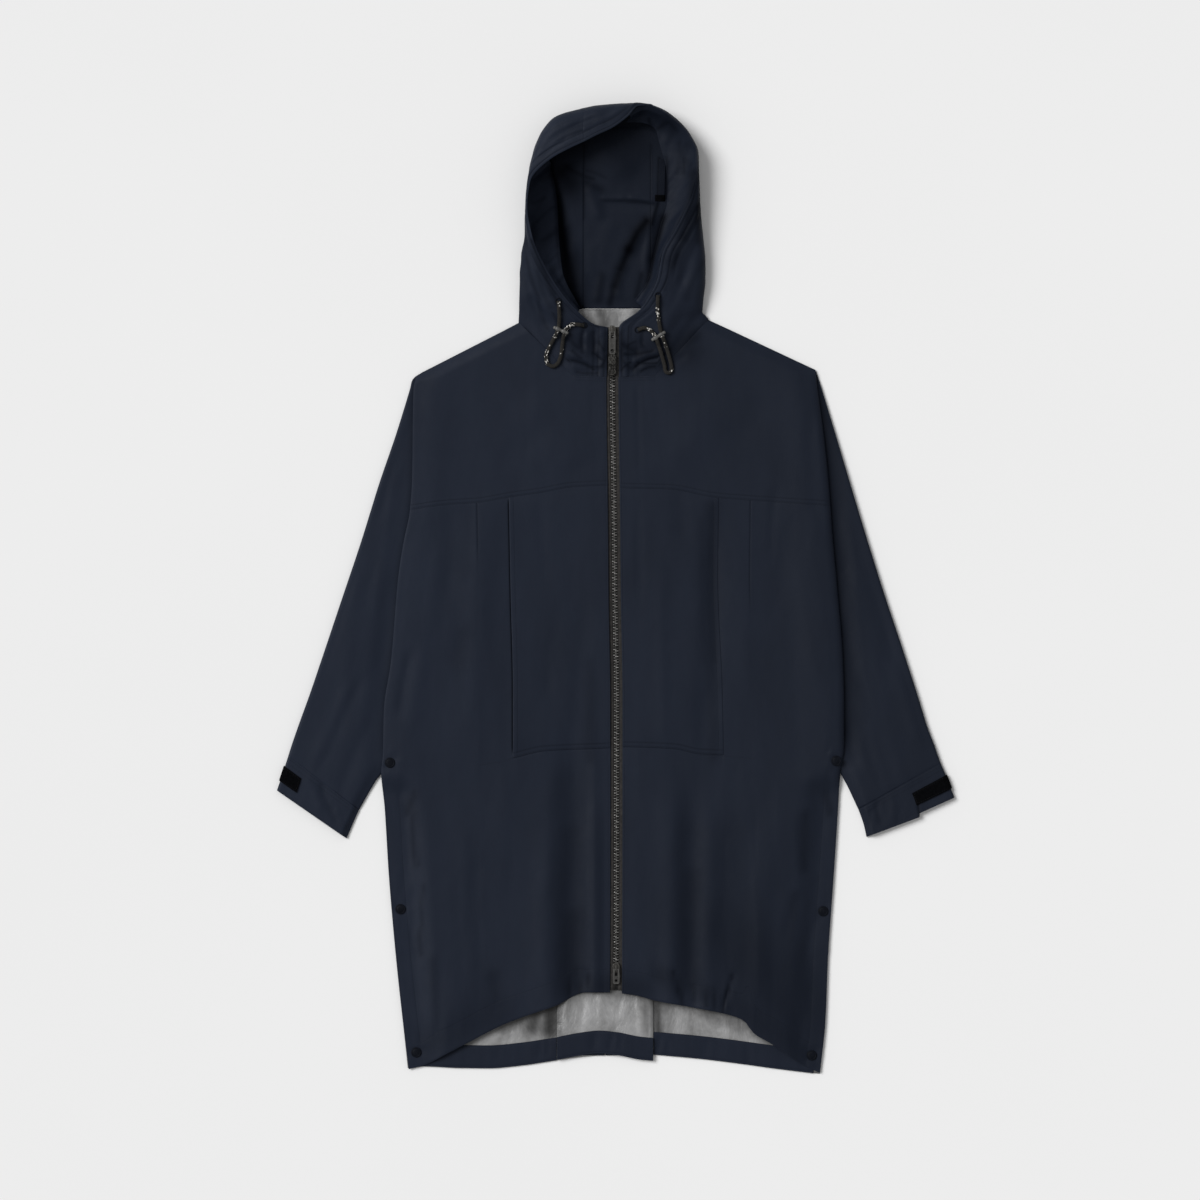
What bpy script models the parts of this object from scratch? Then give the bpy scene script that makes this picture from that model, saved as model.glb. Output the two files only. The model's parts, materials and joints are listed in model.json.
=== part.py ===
"""Hooded rain poncho, closed and laid flat on its back, front up.

Frame: X to the wearer's left as laid (picture right), Y towards the hood, Z up. Z = 0 is the surface that it lies on.
All tables are in millimetres from the middle of the laid garment; the meshes are in metres.
Every cloth piece is one wall of even thickness round a middle surface that is worked out from the tables below.
"""

import math

import bmesh
import bpy
import numpy as np
from mathutils import Matrix, Vector

for old in list(bpy.data.objects):
    bpy.data.objects.remove(old, do_unlink=True)

# ---------------------------------------------------------------- driving dimensions, mm
MM = 0.001
WALL = 1.2  # coated cloth with its seam allowances
BAND_WALL = 1.0  # hem facing and zip tape
GAP = 0.3  # between pieces at a seam
BACK_Z = WALL / 2  # middle surface of the back layer
LAYER = WALL + GAP  # one layer of cloth on another
LOFT_Z = 9.2  # middle surface of the front layer over the hollow body
SHOULDER_Z = BACK_Z + LAYER  # front layer where it meets the back along the shoulder
PLACKET_Z = 3.6  # front layer along the snapped side opening
OVER_SLEEVE_Z = 7.9  # front layer where its edge lies over the sleeve
PLACKET_WIDTH = 20.0
SIDE_RAMP = 32.0
SHOULDER_RAMP = 18.0
ZIP_OPENING = 8.0  # from the zip's centreline to the edge of each front
CHAIN_WIDTH, CHAIN_ABOVE, CHAIN_BELOW = 6.6, 1.0, 2.0
TAPE_INNER, TAPE_OUTER = 3.7, 14.0
SNAP_RADIUS, SNAP_HEIGHT = 7.5, 2.6
CORD_DIAMETER = 5.0
EYELET_OUTER, EYELET_INNER, EYELET_THICK = 5.0, 3.6, 0.9
LOCK_LENGTH, LOCK_WIDTH, LOCK_HEIGHT, LOCK_HOLES = 22.0, 6.4, 8.0, 9.0
SLIDER_WIDTH, SLIDER_LENGTH, PLATE = 9.4, 12.6, 1.4
TAB_WIDTH, TAB_THICK = 9.2, 1.4
TAB_TOP_LENGTH, TAB_BOTTOM_LENGTH = 30.0, 19.5
PULLER_WIDTH, PULLER_LENGTH, PULLER_THICK = 11.0, 28.0, 2.0


def table(names, rows):
    """The columns of a table, by name."""
    data = np.array(rows, float)
    return {name: data[:, n] for n, name in enumerate(names.split())}


# ---------------------------------------------------------------- outline, as lengths along one axis read at another
# y up the garment, x of the left and right edge of the body's front (a fold over the sleeve above -245, a side opening below)
SIDE_LEFT = table("y x", [(-648, -279), (-574, -288), (-489, -297), (-384, -306), (-295, -311.5), (-246, -316), (-226, -314), (-163, -312.5), (-98, -303), (21, -292.5), (63, -286), (106, -277.5), (148, -274.5), (270, -272.5), (283, -270)])
SIDE_RIGHT = table("y x", [(-653, 276), (-580, 283.5), (-504, 286.5), (-372, 295.5), (-295, 300.5), (-244, 303.5), (-214, 308.5), (-149, 308.5), (-98, 307), (6, 299), (71, 293), (148, 287.5), (218, 280), (284, 271), (296, 270)])
# x, y of the front hem, from the side to the zip
HEM_LEFT = table("x y", [(-281, -648), (-258, -642), (-228, -626.5), (-202, -613), (-149, -586), (-107, -570.5), (-77, -560), (-53, -547), (-41, -543.5), (-6, -543.5)])
HEM_RIGHT = table("x y", [(5, -544.5), (30, -548), (51, -554), (99, -563), (148, -572.5), (172, -581), (187, -599), (208, -611.5), (226, -623.5), (250, -640), (277, -653)])
# x, y of the yoke seam and of the pocket's lower seam
YOKE_SEAM = table("x y", [(-290, 105), (-228, 114), (-184, 117), (-144, 124), (-99, 130.5), (-57, 138), (-9, 140), (13, 136.5), (72, 135), (134, 124), (211, 118), (300, 112)])
POCKET_SEAM = table("x y", [(-330, -240), (-186, -234), (-139, -227.5), (-96, -218), (-11, -214), (6, -212.5), (78, -215), (113, -222), (145, -223.5), (186, -225), (330, -232)])
# y, x of the pocket openings and of the zip's centreline
POCKET_LEFT = table("y x", [(-650, -138), (-228, -138.5), (-136, -138.5), (-7, -141.5), (124, -144)])
POCKET_RIGHT = table("y x", [(-650, 147), (-222, 145.5), (-136, 144), (18, 138), (122, 139)])
ZIP_LINE = table("y x", [(-545, 0.7), (-284, 1.4), (-149, 1.4), (-14, -0.7), (121, -2), (256, -4), (352, -4.4)])
# x, y of the shoulder line and neck seam of the front, and of the shoulder line and nape of the back
NECK_LEFT, NECK_RIGHT = (-130.3, 359.8), (124.9, 363.8)  # where the shoulder lines end at the neck
CHEST_LEFT, CHEST_RIGHT = -57.0, 55.0  # where the neck seam turns level across the chest
TOP_FRONT = table("x y", [(-276, 281), (-262, 292.3), (-156, 346.3), NECK_LEFT, (CHEST_LEFT, 288.5), (-11.5, 286.5), (4.7, 286.5), (CHEST_RIGHT, 288.5), NECK_RIGHT, (155, 350), (270.2, 296), (274, 294)])
TOP_BACK = table("x y", [(-262, 292.3), (-156, 346.3), (-130.3, 359.6), (-122, 362.6), (-42.7, 378.9), (47.7, 378.9), (114, 366.8), (124.9, 363.6), (155, 350), (262, 299.8)])
# y, x of the back's side: the snapped side opening, then the edge that the sleeve's under layer meets, straight between the sleeve's rows
BACK_SIDE_LEFT = table("y x", [(-645, -280.5), (-574, -288), (-489, -297), (-384, -306), (-295, -311.5), (-252, -314.5), (-236, -302), (-210, -292), (-148, -286.8), (-85, -279), (-12, -270.2), (63, -262), (112, -256)])
BACK_SIDE_RIGHT = table("y x", [(-652, 275.5), (-574, 283.5), (-489, 287), (-384, 294.5), (-295, 300), (-252, 301.5), (-236, 292.8), (-212, 284), (-149, 284), (-80, 279.4), (-8, 274.4), (62, 269), (112, 266)])
YOKE_SIDE_LEFT = table("y x", [(112, -256), (150, -251.4), (213, -250.6), (300, -250)])
YOKE_SIDE_RIGHT = table("y x", [(112, 265.9), (152, 263.2), (210, 256.4), (279, 249.6), (300, 249.6)])
# x, y of the back hem outside the pleat and of the pleat's own hem, and how tall the facing inside it is
BACK_HEM = table("x y", [(-282, -646), (-258, -643.5), (-213, -645.5), (-171, -646), (-125, -642), (-77, -635), (-14, -629), (51, -628), (79, -630), (121, -634), (154, -638), (220, -647), (277, -654)])
PLEAT_HEM = table("x y", [(-79, -634.5), (-47, -628.5), (-22, -625.8), (2, -628), (33, -634), (51, -635.7)])
BAND_TALL = 31.0
PLEAT_LEFT, PLEAT_MIDDLE, PLEAT_RIGHT = -79.0, -14.0, 51.0  # the pleat's two edges and the line where its folds meet
BACK_YOKE_SEAM = 112.0

# ---------------------------------------------------------------- sleeves: one row for each section, from shoulder to cuff
# outer fold x y, inner edge x y, height of the top layer, height of its inner end, width of that end under the front, width of the rise from it
SLEEVE_COLUMNS = "ox oy ix iy top end under rise"
SLEEVE_LEFT = table(SLEEVE_COLUMNS, [
    (-276.6, 272, -250.6, 274, 4.0, 4.0, 4, 4), (-295.5, 210, -251.2, 213, 5.4, 5.0, 26, 10), (-317.9, 144.5, -252, 150, 6.6, 5.6, 27, 18),
    (-343, 64, -262.6, 63, 7.2, 6.1, 27, 20), (-368.5, -12, -270.8, -12, 7.2, 6.1, 27, 20), (-393, -85, -279.6, -85, 7.2, 6.1, 27, 20),
    (-412, -141, -287.4, -148, 7.2, 6.1, 27, 20), (-425, -177, -292.6, -210, 7.2, 6.1, 27, 20), (-433.5, -201, -302.6, -236, 7.2, 6.1, 18, 18),
    (-437.5, -213, -319, -252, 7.2, 2.6, 0, 14), (-441.2, -225, -346.5, -298, 7.2, 2.1, 0, 10)])
SLEEVE_RIGHT = table(SLEEVE_COLUMNS, [
    (277, 274, 250.2, 275, 4.0, 4.0, 4, 4), (297, 208, 257, 210, 5.4, 5.0, 24, 10), (314, 151, 263.8, 152, 6.6, 5.6, 27, 18),
    (341, 62, 269.6, 62, 7.2, 6.1, 27, 20), (363, -8, 275, -8, 7.2, 6.1, 27, 20), (387, -80, 280, -80, 7.2, 6.1, 27, 20),
    (408, -145, 284.6, -149, 7.2, 6.1, 27, 20), (421, -187, 284.6, -212, 7.2, 6.1, 27, 20), (431, -213, 293.4, -236, 7.2, 6.1, 18, 18),
    (435, -225, 306, -252, 7.2, 2.6, 0, 14), (438.5, -234.5, 328, -297, 7.2, 2.1, 0, 10)])
CUFF_LEFT = table(SLEEVE_COLUMNS, [
    (-441.5, -225.9, -347, -298.8, 7.3, 2.1, 0, 10), (-449, -249, -354.5, -316, 7.4, 2.1, 0, 10), (-456.4, -271.5, -362.9, -336, 7.4, 2.1, 0, 10)])
CUFF_RIGHT = table(SLEEVE_COLUMNS, [
    (438.9, -235.4, 330, -297.9, 7.3, 2.1, 0, 10), (448.5, -258, 335, -317, 7.4, 2.1, 0, 10), (457, -281, 338.9, -334, 7.4, 2.1, 0, 10)])

# ---------------------------------------------------------------- hood: one row for each rib, from the zip's top round the face opening
# face edge x y z, crest x y z, widest point x y z, foot x y on the floor, y of the rib's end on the seam to the middle panel
RIB_COLUMNS = "rx ry rz cx cy cz sx sy sz fx fy my"
HOOD_SEAM_LEFT, HOOD_SEAM_RIGHT = -42.7, 47.7
HOOD_LEFT = table(RIB_COLUMNS, [
    (-11.5, 286.8, 9.2, CHEST_LEFT, 288.8, 9.2, -130.3, 360.1, 2.1, -122, 363, 379.3),
    (-10.8, 320, 10.4, -60, 323, 11.2, -129.6, 371, 6, -118, 373, 388),
    (-10.1, 351.7, 11.4, -63, 353, 15, -129.2, 384, 9, -115, 386, 400),
    (-29, 357.5, 15, -72, 369, 19, -129.1, 398, 11, -113, 400, 412),
    (-62.8, 387, 22, -91, 398, 23.5, -129, 423, 12.5, -111, 426, 434),
    (-91, 428.6, 28, -106, 433, 28, -127.8, 447, 14, -109, 450, 456),
    (-112, 475, 33, -116.5, 476, 31, -122.8, 479, 16.5, -103, 481, 484),
    (-118.8, 515, 34.5, -120, 515, 32, -121.2, 516, 17.5, -100.5, 516, 516),
    (-114.5, 549, 38, -116.4, 552, 37, -117.6, 554, 20, -98, 550, 548),
    (-87, 578.5, 43, -97.5, 591, 42, -106.6, 601, 23, -88, 582, 576),
    (-64, 591.5, 45, -74, 618, 43, -82, 636, 24, -72, 604, 594),
    (-42.9, 601.5, 45, -42.9, 628, 42.5, -42.9, 648, 24, -42.9, 619, 606)])
HOOD_RIGHT = table(RIB_COLUMNS, [
    (47.9, 651.3, 36, 47.9, 652, 33, 47.9, 652.6, 20, 47.9, 622, 608),
    (66, 641, 36, 67, 642, 33, 67.8, 642.6, 20, 60, 615, 598),
    (97, 612, 36, 98.4, 613, 33, 99.6, 613.6, 20, 82, 593, 580),
    (108.4, 588, 36, 109.6, 588, 33, 110.7, 588, 20, 88, 576, 566),
    (108.6, 560, 36, 110.6, 560, 33, 112, 559, 19, 90, 555, 550),
    (103.3, 532.6, 35, 109, 531, 33, 113.6, 528, 18, 92, 530, 528),
    (81.7, 486.7, 33, 102, 478, 31, 117.6, 476, 15, 96, 480, 484),
    (62.8, 451.6, 30, 92, 446, 29, 120.3, 444, 14, 99, 448, 456),
    (56, 417.8, 26, 86, 417, 26, 120.8, 416, 13, 101, 420, 432),
    (33, 377.5, 18, 71, 381, 20, 117.5, 388, 10, 102, 394, 408),
    (4.7, 352.5, 11.4, 60, 349, 14.5, 116.5, 375, 7, 105, 379, 394),
    (4.7, 320, 10.4, 57.5, 322, 11.2, 121, 369, 4.5, 109, 372.5, 386),
    (4.7, 286.8, 9.2, CHEST_RIGHT, 288.8, 9.2, 124.9, 364.1, 2.1, 114, 367.2, 379.3)])
HOOD_MIDDLE = table(RIB_COLUMNS, [
    (-42.5, 601.5, 45, -42.5, 628, 42.5, -42.5, 648, 24, -42.5, 619, 606),
    (-24, 611, 44, -24, 634, 42, -24, 651.4, 24, -24, 622, 606),
    (-4, 620.5, 42, -4, 639, 40, -4, 653.2, 23, -4, 624, 606),
    (16, 635.5, 39, 16, 646, 37, 16, 654, 22, 16, 625, 607),
    (31, 650, 37, 31, 652.6, 35, 31, 654.4, 21, 31, 624, 607),
    (47.5, 651.3, 36, 47.5, 652, 33, 47.5, 652.6, 20, 47.5, 622, 608)])
# the cord casing turned inside the face edge: distance along, outer line x y z, inner line x y z
CASING_COLUMNS = "ox oy oz ix iy iz"
CASING_LEFT = table(CASING_COLUMNS, [
    (-31, 362, 12, -33, 375, 8), (-61, 391, 18, -43, 388, 12), (-88.5, 430, 24, -60, 428, 15), (-109, 476, 29, -71.5, 475, 16),
    (-115.5, 515, 31, -77, 520, 15), (-111.5, 546, 33, -82, 553, 14), (-87, 574, 38, -86, 568, 15)])
CASING_RIGHT = table(CASING_COLUMNS, [
    (60, 639, 31, 52, 622, 16), (93.5, 610, 32, 61, 594, 15), (105.4, 587, 32, 68, 568, 15), (105.6, 560, 32, 70, 545, 15),
    (100, 534, 31, 69, 520, 15), (78.5, 488, 29, 60, 490, 16), (60, 452, 26, 50, 446, 15), (53.5, 419, 22, 42, 414, 12), (33, 383, 14, 25, 390, 8)])

# ---------------------------------------------------------------- largest soft folds of the front layer
# from x y to x y, half width, height (below zero is a trough)
FOLD_COLUMNS = "x0 y0 x1 y1 width height"
FOLDS = table(FOLD_COLUMNS, [
    (-57, -190, -58, -560, 16, -3.4), (-88, -330, -92, -575, 20, 2.2), (-26, -300, -26, -545, 14, 2.0),
    (104, -265, 100, -570, 15, -3.0), (73, -260, 76, -560, 15, 2.0), (128, -300, 124, -575, 15, 2.0),
    (-286, -270, -276, -470, 8, -1.4), (128, 60, 126, -150, 16, -1.6), (-184, 90, -188, -180, 22, 1.4),
    (240, -540, 252, -630, 14, -1.6), (-205, -300, -214, -560, 24, 1.6), (205, -300, 196, -540, 24, 1.6),
    (-120, 260, -60, 180, 26, 1.4), (130, 250, 80, 170, 26, 1.4)])

# ---------------------------------------------------------------- small hard parts: x y
SNAPS = table("x y", [(-304.4, -233.6), (-290.2, -431.3), (-269, -624.5), (297.5, -231), (280.1, -434), (264.5, -628.5)])
EYELETS = table("x y", [(-76.7, 388.5), (-43.5, 352.5), (60.5, 396), (29, 346.5)])
# cord routes from the upper eyelet, through its lock, round the loop and back into the lower eyelet
CORD_LEFT = table("x y", [(-76.7, 388.5), (-76.6, 379), (-76.2, 367), (-76.8, 356), (-78.6, 347.2), (-82.5, 337), (-88, 325), (-91.5, 312), (-87, 301), (-77.5, 298.5), (-70, 306), (-68.2, 318), (-68.8, 331), (-69.4, 342.2), (-66.5, 351), (-57, 356.4), (-43.5, 352.5)])
CORD_RIGHT = table("x y", [(60.5, 396), (60.6, 386), (60.6, 374), (60.8, 361), (61.2, 350), (65.5, 338), (71.5, 324), (77.5, 309), (79.5, 297), (73.5, 288.5), (65.5, 291.5), (62.2, 303), (60, 317), (56.5, 330), (53.2, 340.8), (45.5, 349.5), (36, 352.4), (29, 346.5)])
# the bar lock on each cord: middle x y, direction of its length x y
LOCKS = table("x y dx dy", [(-73.6, 349.2, 1.0, -0.42), (57.4, 344.6, 1.0, 0.62)])
SLIDER_TOP_Y, SLIDER_BOTTOM_Y = 349.5, -510.0


# ---------------------------------------------------------------- reading the tables
def slopes(t, v):
    """Slopes for a smooth curve through the rows that doesn't overshoot them."""
    h = np.diff(t)
    d = np.diff(v) / h
    m = np.zeros(len(t))
    m[0], m[-1] = d[0], d[-1]
    for n in range(1, len(t) - 1):
        if d[n - 1] * d[n] > 0:
            w0, w1 = 2 * h[n] + h[n - 1], h[n] + 2 * h[n - 1]
            m[n] = (w0 + w1) / (w0 / d[n - 1] + w1 / d[n])
    return m


def smooth(t, v, at):
    """v at the places `at`, on a smooth curve through the rows (t, v)."""
    t, v, at = np.asarray(t, float), np.asarray(v, float), np.asarray(at, float)
    m = slopes(t, v)
    n = np.clip(np.searchsorted(t, at) - 1, 0, len(t) - 2)
    h = t[n + 1] - t[n]
    s = np.clip((at - t[n]) / h, -0.5, 1.5)
    a, b = 2 * s**3 - 3 * s**2 + 1, s**3 - 2 * s**2 + s
    c, d = -2 * s**3 + 3 * s**2, s**3 - s**2
    return a * v[n] + b * h * m[n] + c * v[n + 1] + d * h * m[n + 1]


def read(rows, at):
    """A two-column table read at `at`: its second column on a smooth curve over its first."""
    first, second = rows.values()
    return smooth(first, second, at)


def straight(rows, at):
    """A two-column table read at `at`, straight between its rows."""
    first, second = rows.values()
    return np.interp(at, first, second)


def step(v):
    """Smooth step from 0 to 1."""
    v = np.clip(v, 0, 1)
    return v * v * (3 - 2 * v)


def spread(start, end, count):
    return np.linspace(start, end, count)


# ---------------------------------------------------------------- height of the front layer
def shoulder_distance(x, y):
    """Distance inward from the nearer shoulder line."""
    best = np.full(np.shape(x), 1e9)
    for x0, y0, x1, y1 in ((-276, 285, -130.3, 359.8), (124.9, 363.8, 276, 293)):
        dx, dy = x1 - x0, y1 - y0
        t = np.clip(((x - x0) * dx + (y - y0) * dy) / (dx * dx + dy * dy), 0, 1)
        best = np.minimum(best, np.hypot(x - x0 - t * dx, y - y0 - t * dy))
    return best


def fold_height(x, y):
    total = np.zeros(np.shape(x))
    for x0, y0, x1, y1, width, height in zip(*FOLDS.values()):
        dx, dy = x1 - x0, y1 - y0
        t = ((x - x0) * dx + (y - y0) * dy) / (dx * dx + dy * dy)
        across = ((x - x0) * dy - (y - y0) * dx) / math.hypot(dx, dy)
        along = step((t + 0.1) / 0.35) * step((1.25 - t) / 0.3)
        total += height * np.exp(-((across / width) ** 2)) * along
    return total


def calm(x, y):
    """0 close to the zip and under a snap, where the cloth lies even, 1 elsewhere."""
    even = step((np.abs(x - read(ZIP_LINE, np.clip(y, -545, 352))) - 14) / 16)
    for sx, sy in zip(*SNAPS.values()):
        even = even * step((np.hypot(x - sx, y - sy) - 10) / 10)
    return even


def front_z(x, y):
    """Middle surface of the front layer."""
    x, y = np.asarray(x, float), np.asarray(y, float)
    left = x - read(SIDE_LEFT, y)
    right = read(SIDE_RIGHT, y) - x
    inward = np.maximum(np.minimum(left, right), 0)
    over = OVER_SLEEVE_Z - 1.2 * step((y - 190) / 90)
    edge = PLACKET_Z + (over - PLACKET_Z) * step((y + 276) / 26)
    flat = PLACKET_WIDTH * step((-y - 240) / 30)
    side = edge + (LOFT_Z - edge) * step((inward - flat) / SIDE_RAMP)
    rise = np.sin(np.pi / 2 * np.clip(shoulder_distance(x, y) / SHOULDER_RAMP, 0, 1))
    shoulder = SHOULDER_Z + (LOFT_Z - SHOULDER_Z) * rise
    base = np.minimum(side, shoulder)
    return base + fold_height(x, y) * calm(x, y) * step((inward - flat) / SIDE_RAMP) * step(shoulder_distance(x, y) / 60)


def zip_z(y):
    """Height of the fronts' edges along the zip, which rises a little into the collar."""
    return LOFT_Z + 1.2 * step((np.asarray(y, float) - 303) / 30)


# ---------------------------------------------------------------- meshes
def material(name, colour, roughness, metallic=0.0):
    made = bpy.data.materials.get(name)
    if made:
        return made
    made = bpy.data.materials.new(name)
    made.use_nodes = True
    shader = made.node_tree.nodes["Principled BSDF"]
    shader.inputs["Base Color"].default_value = (*colour, 1)
    shader.inputs["Roughness"].default_value = roughness
    shader.inputs["Metallic"].default_value = metallic
    return made


def add(name, points, faces, finish):
    """A closed mesh object from points in mm, with its faces turned outward."""
    mesh = bpy.data.meshes.new(name)
    mesh.from_pydata([tuple(p * MM for p in point) for point in points], [], faces)
    bm = bmesh.new()
    bm.from_mesh(mesh)
    bmesh.ops.recalc_face_normals(bm, faces=bm.faces)
    if bm.calc_volume(signed=True) < 0:
        bmesh.ops.reverse_faces(bm, faces=bm.faces)
    bm.to_mesh(mesh)
    bm.free()
    obj = bpy.data.objects.new(name, mesh)
    bpy.context.scene.collection.objects.link(obj)
    mesh.materials.append(material(*finish(name)) if callable(finish) else finish)
    mesh.shade_smooth()
    mesh.set_sharp_from_angle(angle=math.radians(40))
    return obj


def normals_of(grid):
    across = np.gradient(grid, axis=1)
    along = np.gradient(grid, axis=0)
    normal = np.cross(across, along)
    return normal / np.maximum(np.linalg.norm(normal, axis=2, keepdims=True), 1e-9)


def sheet(name, grid, finish, wall=WALL):
    """A wall of even thickness round a grid of middle points (rows, columns, 3)."""
    rows, columns = grid.shape[:2]
    normal = normals_of(grid)
    points = np.concatenate([(grid + normal * wall / 2).reshape(-1, 3), (grid - normal * wall / 2).reshape(-1, 3)])
    count = rows * columns
    faces = []
    for j in range(rows - 1):
        for i in range(columns - 1):
            a = j * columns + i
            quad = (a, a + 1, a + columns + 1, a + columns)
            faces += [quad, tuple(count + v for v in quad[::-1])]
    rim = [i for i in range(columns)] + [j * columns + columns - 1 for j in range(1, rows)]
    rim += [(rows - 1) * columns + i for i in range(columns - 2, -1, -1)] + [j * columns for j in range(rows - 2, 0, -1)]
    for a, b in zip(rim, rim[1:] + rim[:1]):
        faces.append((b, a, a + count, b + count))
    return add(name, points, faces, finish)


def two_way(columns_x, rows_y, us, vs):
    """Plan points on a grid whose columns follow the curves x(y) and whose rows follow the curves y(x)."""
    u, v = np.meshgrid(us, vs)
    y = np.zeros_like(u)
    x = np.zeros_like(u)
    for _ in range(8):
        lines = [line(y) for line in columns_x]
        n = np.clip(np.floor(u).astype(int), 0, len(lines) - 2)
        stack = np.array(lines)
        take = lambda k: np.take_along_axis(stack, k[None], 0)[0]
        x = take(n) + (take(n + 1) - take(n)) * (u - n)
        lines = [line(x) for line in rows_y]
        n = np.clip(np.floor(v).astype(int), 0, len(lines) - 2)
        stack = np.array(lines)
        y = take(n) + (take(n + 1) - take(n)) * (v - n)
    return x, y


def by(rows, offset=0.0):
    return lambda at: read(rows, at) + offset


def by_straight(rows, offset=0.0):
    return lambda at: straight(rows, at) + offset


def fixed(value):
    return lambda at: np.full_like(at, value)


def level(x, y, z):
    return np.stack([x, y, np.broadcast_to(z, x.shape)], axis=2)


# ---------------------------------------------------------------- the two fronts, each with its yoke and pocket
NAVY = lambda name: (name + "_cloth", (0.016, 0.02, 0.032), 0.55)
NAVY_DARK = lambda name: (name + "_cloth", (0.014, 0.017, 0.027), 0.55)
SILVER = lambda name: (name + "_cloth", (0.33, 0.33, 0.33), 0.4)
BLACK = lambda name: (name + "_black", (0.006, 0.006, 0.007), 0.6)
BRONZE = lambda name: (name + "_metal", (0.09, 0.085, 0.075), 0.38, 0.9)
TAPE = lambda name: (name + "_tape", (0.03, 0.026, 0.022), 0.8)
CORD = lambda name: (name + "_cord", (0.02, 0.019, 0.018), 0.75)
GREY = lambda name: (name + "_grey", (0.09, 0.09, 0.085), 0.45, 0.2)

POCKET_COLUMN = 8  # the column of each front's grid that the pocket's opening follows
POCKET_ROW = 8  # the row that the pocket's lower seam follows


def front_grid(side):
    """Plan points of one front from hem to yoke seam, with the pocket's edges on its grid lines."""
    zip_edge = lambda y: read(ZIP_LINE, np.clip(y, -545, 352)) + side * ZIP_OPENING
    if side < 0:
        lines = [by(SIDE_LEFT), by(POCKET_LEFT), zip_edge]
        us = np.concatenate([spread(0, 1, POCKET_COLUMN + 1), spread(1, 2, 8)[1:]])
        hem = by(HEM_LEFT)
    else:
        lines = [zip_edge, by(POCKET_RIGHT), by(SIDE_RIGHT)]
        us = np.concatenate([spread(0, 1, 8), spread(1, 2, POCKET_COLUMN + 1)[1:]])
        hem = by(HEM_RIGHT)
    vs = np.concatenate([spread(0, 1, POCKET_ROW + 1), spread(1, 2, 8)[1:]])
    return two_way(lines, [hem, by(POCKET_SEAM), by(YOKE_SEAM, -GAP - 0.2)], us, vs)


surfaces = {}
for side, label in ((-1, "left"), (1, "right")):
    x, y = front_grid(side)
    grid = level(x, y, front_z(x, y))
    sheet("front_" + label, grid, NAVY)
    surfaces["front_" + label] = grid
    block = grid[POCKET_ROW:, POCKET_COLUMN:] if side < 0 else grid[POCKET_ROW:, : 8]
    out = normals_of(grid)[POCKET_ROW:, POCKET_COLUMN:] if side < 0 else normals_of(grid)[POCKET_ROW:, : 8]
    pocket = block + out * (LAYER + 0.3)
    sheet("pocket_" + label, pocket, NAVY)
    surfaces["pocket_" + label] = pocket

    zip_edge = lambda y, side=side: read(ZIP_LINE, np.clip(y, -545, 352)) + side * ZIP_OPENING
    outer = by(SIDE_LEFT) if side < 0 else by(SIDE_RIGHT)
    neck, chest = ((NECK_LEFT[0], CHEST_LEFT) if side < 0 else (NECK_RIGHT[0], CHEST_RIGHT))
    lines = [outer, fixed(neck), fixed(chest), zip_edge]
    us = np.concatenate([spread(0, 1, 7), spread(1, 2, 4)[1:], spread(2, 3, 4)[1:]])
    if side > 0:
        lines, us = lines[::-1], 3 - us[::-1]
    vs = np.array([0, 0.25, 0.5, 0.7, 0.84, 0.92, 0.965, 1])
    x, y = two_way(lines, [by(YOKE_SEAM), by_straight(TOP_FRONT, -0.5)], us, vs)
    grid = level(x, y, front_z(x, y))
    sheet("yoke_" + label, grid, NAVY)
    surfaces["yoke_" + label] = grid

# ---------------------------------------------------------------- the back: yoke, two halves that fold to the pleat, pleat, facing
lines = [by_straight(YOKE_SIDE_LEFT, 0.7), fixed(NECK_LEFT[0]), fixed(HOOD_SEAM_LEFT), fixed(HOOD_SEAM_RIGHT), fixed(NECK_RIGHT[0]), by_straight(YOKE_SIDE_RIGHT, -0.7)]
x, y = two_way(lines, [fixed(BACK_YOKE_SEAM), by_straight(TOP_BACK, -0.4)], np.concatenate([spread(0, 2, 5), spread(2, 5, 7)[1:]]), np.array([0, 0.15, 0.4, 0.6, 0.8, 1]))
sheet("back_yoke", level(x, y, BACK_Z), SILVER)

FOLD_RADIUS = LAYER / 2
for side, label in ((-1, "left"), (1, "right")):
    edge = BACK_SIDE_LEFT if side < 0 else BACK_SIDE_RIGHT
    end = PLEAT_LEFT + 2 if side < 0 else PLEAT_RIGHT - 2
    fold = PLEAT_MIDDLE + side * (FOLD_RADIUS + 0.9)
    low, high = edge["y"][0], edge["y"][-1]
    x, y = two_way([by_straight(edge), fixed(fold)], [by(BACK_HEM), fixed(BACK_YOKE_SEAM - GAP)], spread(0, 1, 4), (edge["y"] - low) / (high - low))
    flat = level(x, y, BACK_Z)
    turn = []
    for angle in (-45, 0, 45, 90):
        a = math.radians(angle)
        turn.append(level(x[:, -1:] - side * FOLD_RADIUS * math.cos(a), y[:, -1:], BACK_Z + FOLD_RADIUS * (1 + math.sin(a))))
    under = [level(np.full_like(x[:, -1:], end), y[:, -1:], BACK_Z + LAYER)]
    sheet("back_" + label, np.concatenate([flat, *turn, *under], axis=1), SILVER)

x, y = two_way([fixed(PLEAT_LEFT), fixed(PLEAT_RIGHT)], [by(PLEAT_HEM), fixed(BACK_YOKE_SEAM - GAP)], spread(0, 1, 6), spread(0, 1, 7))
sheet("back_pleat", level(x, y, BACK_Z + 2 * LAYER), SILVER)

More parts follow.
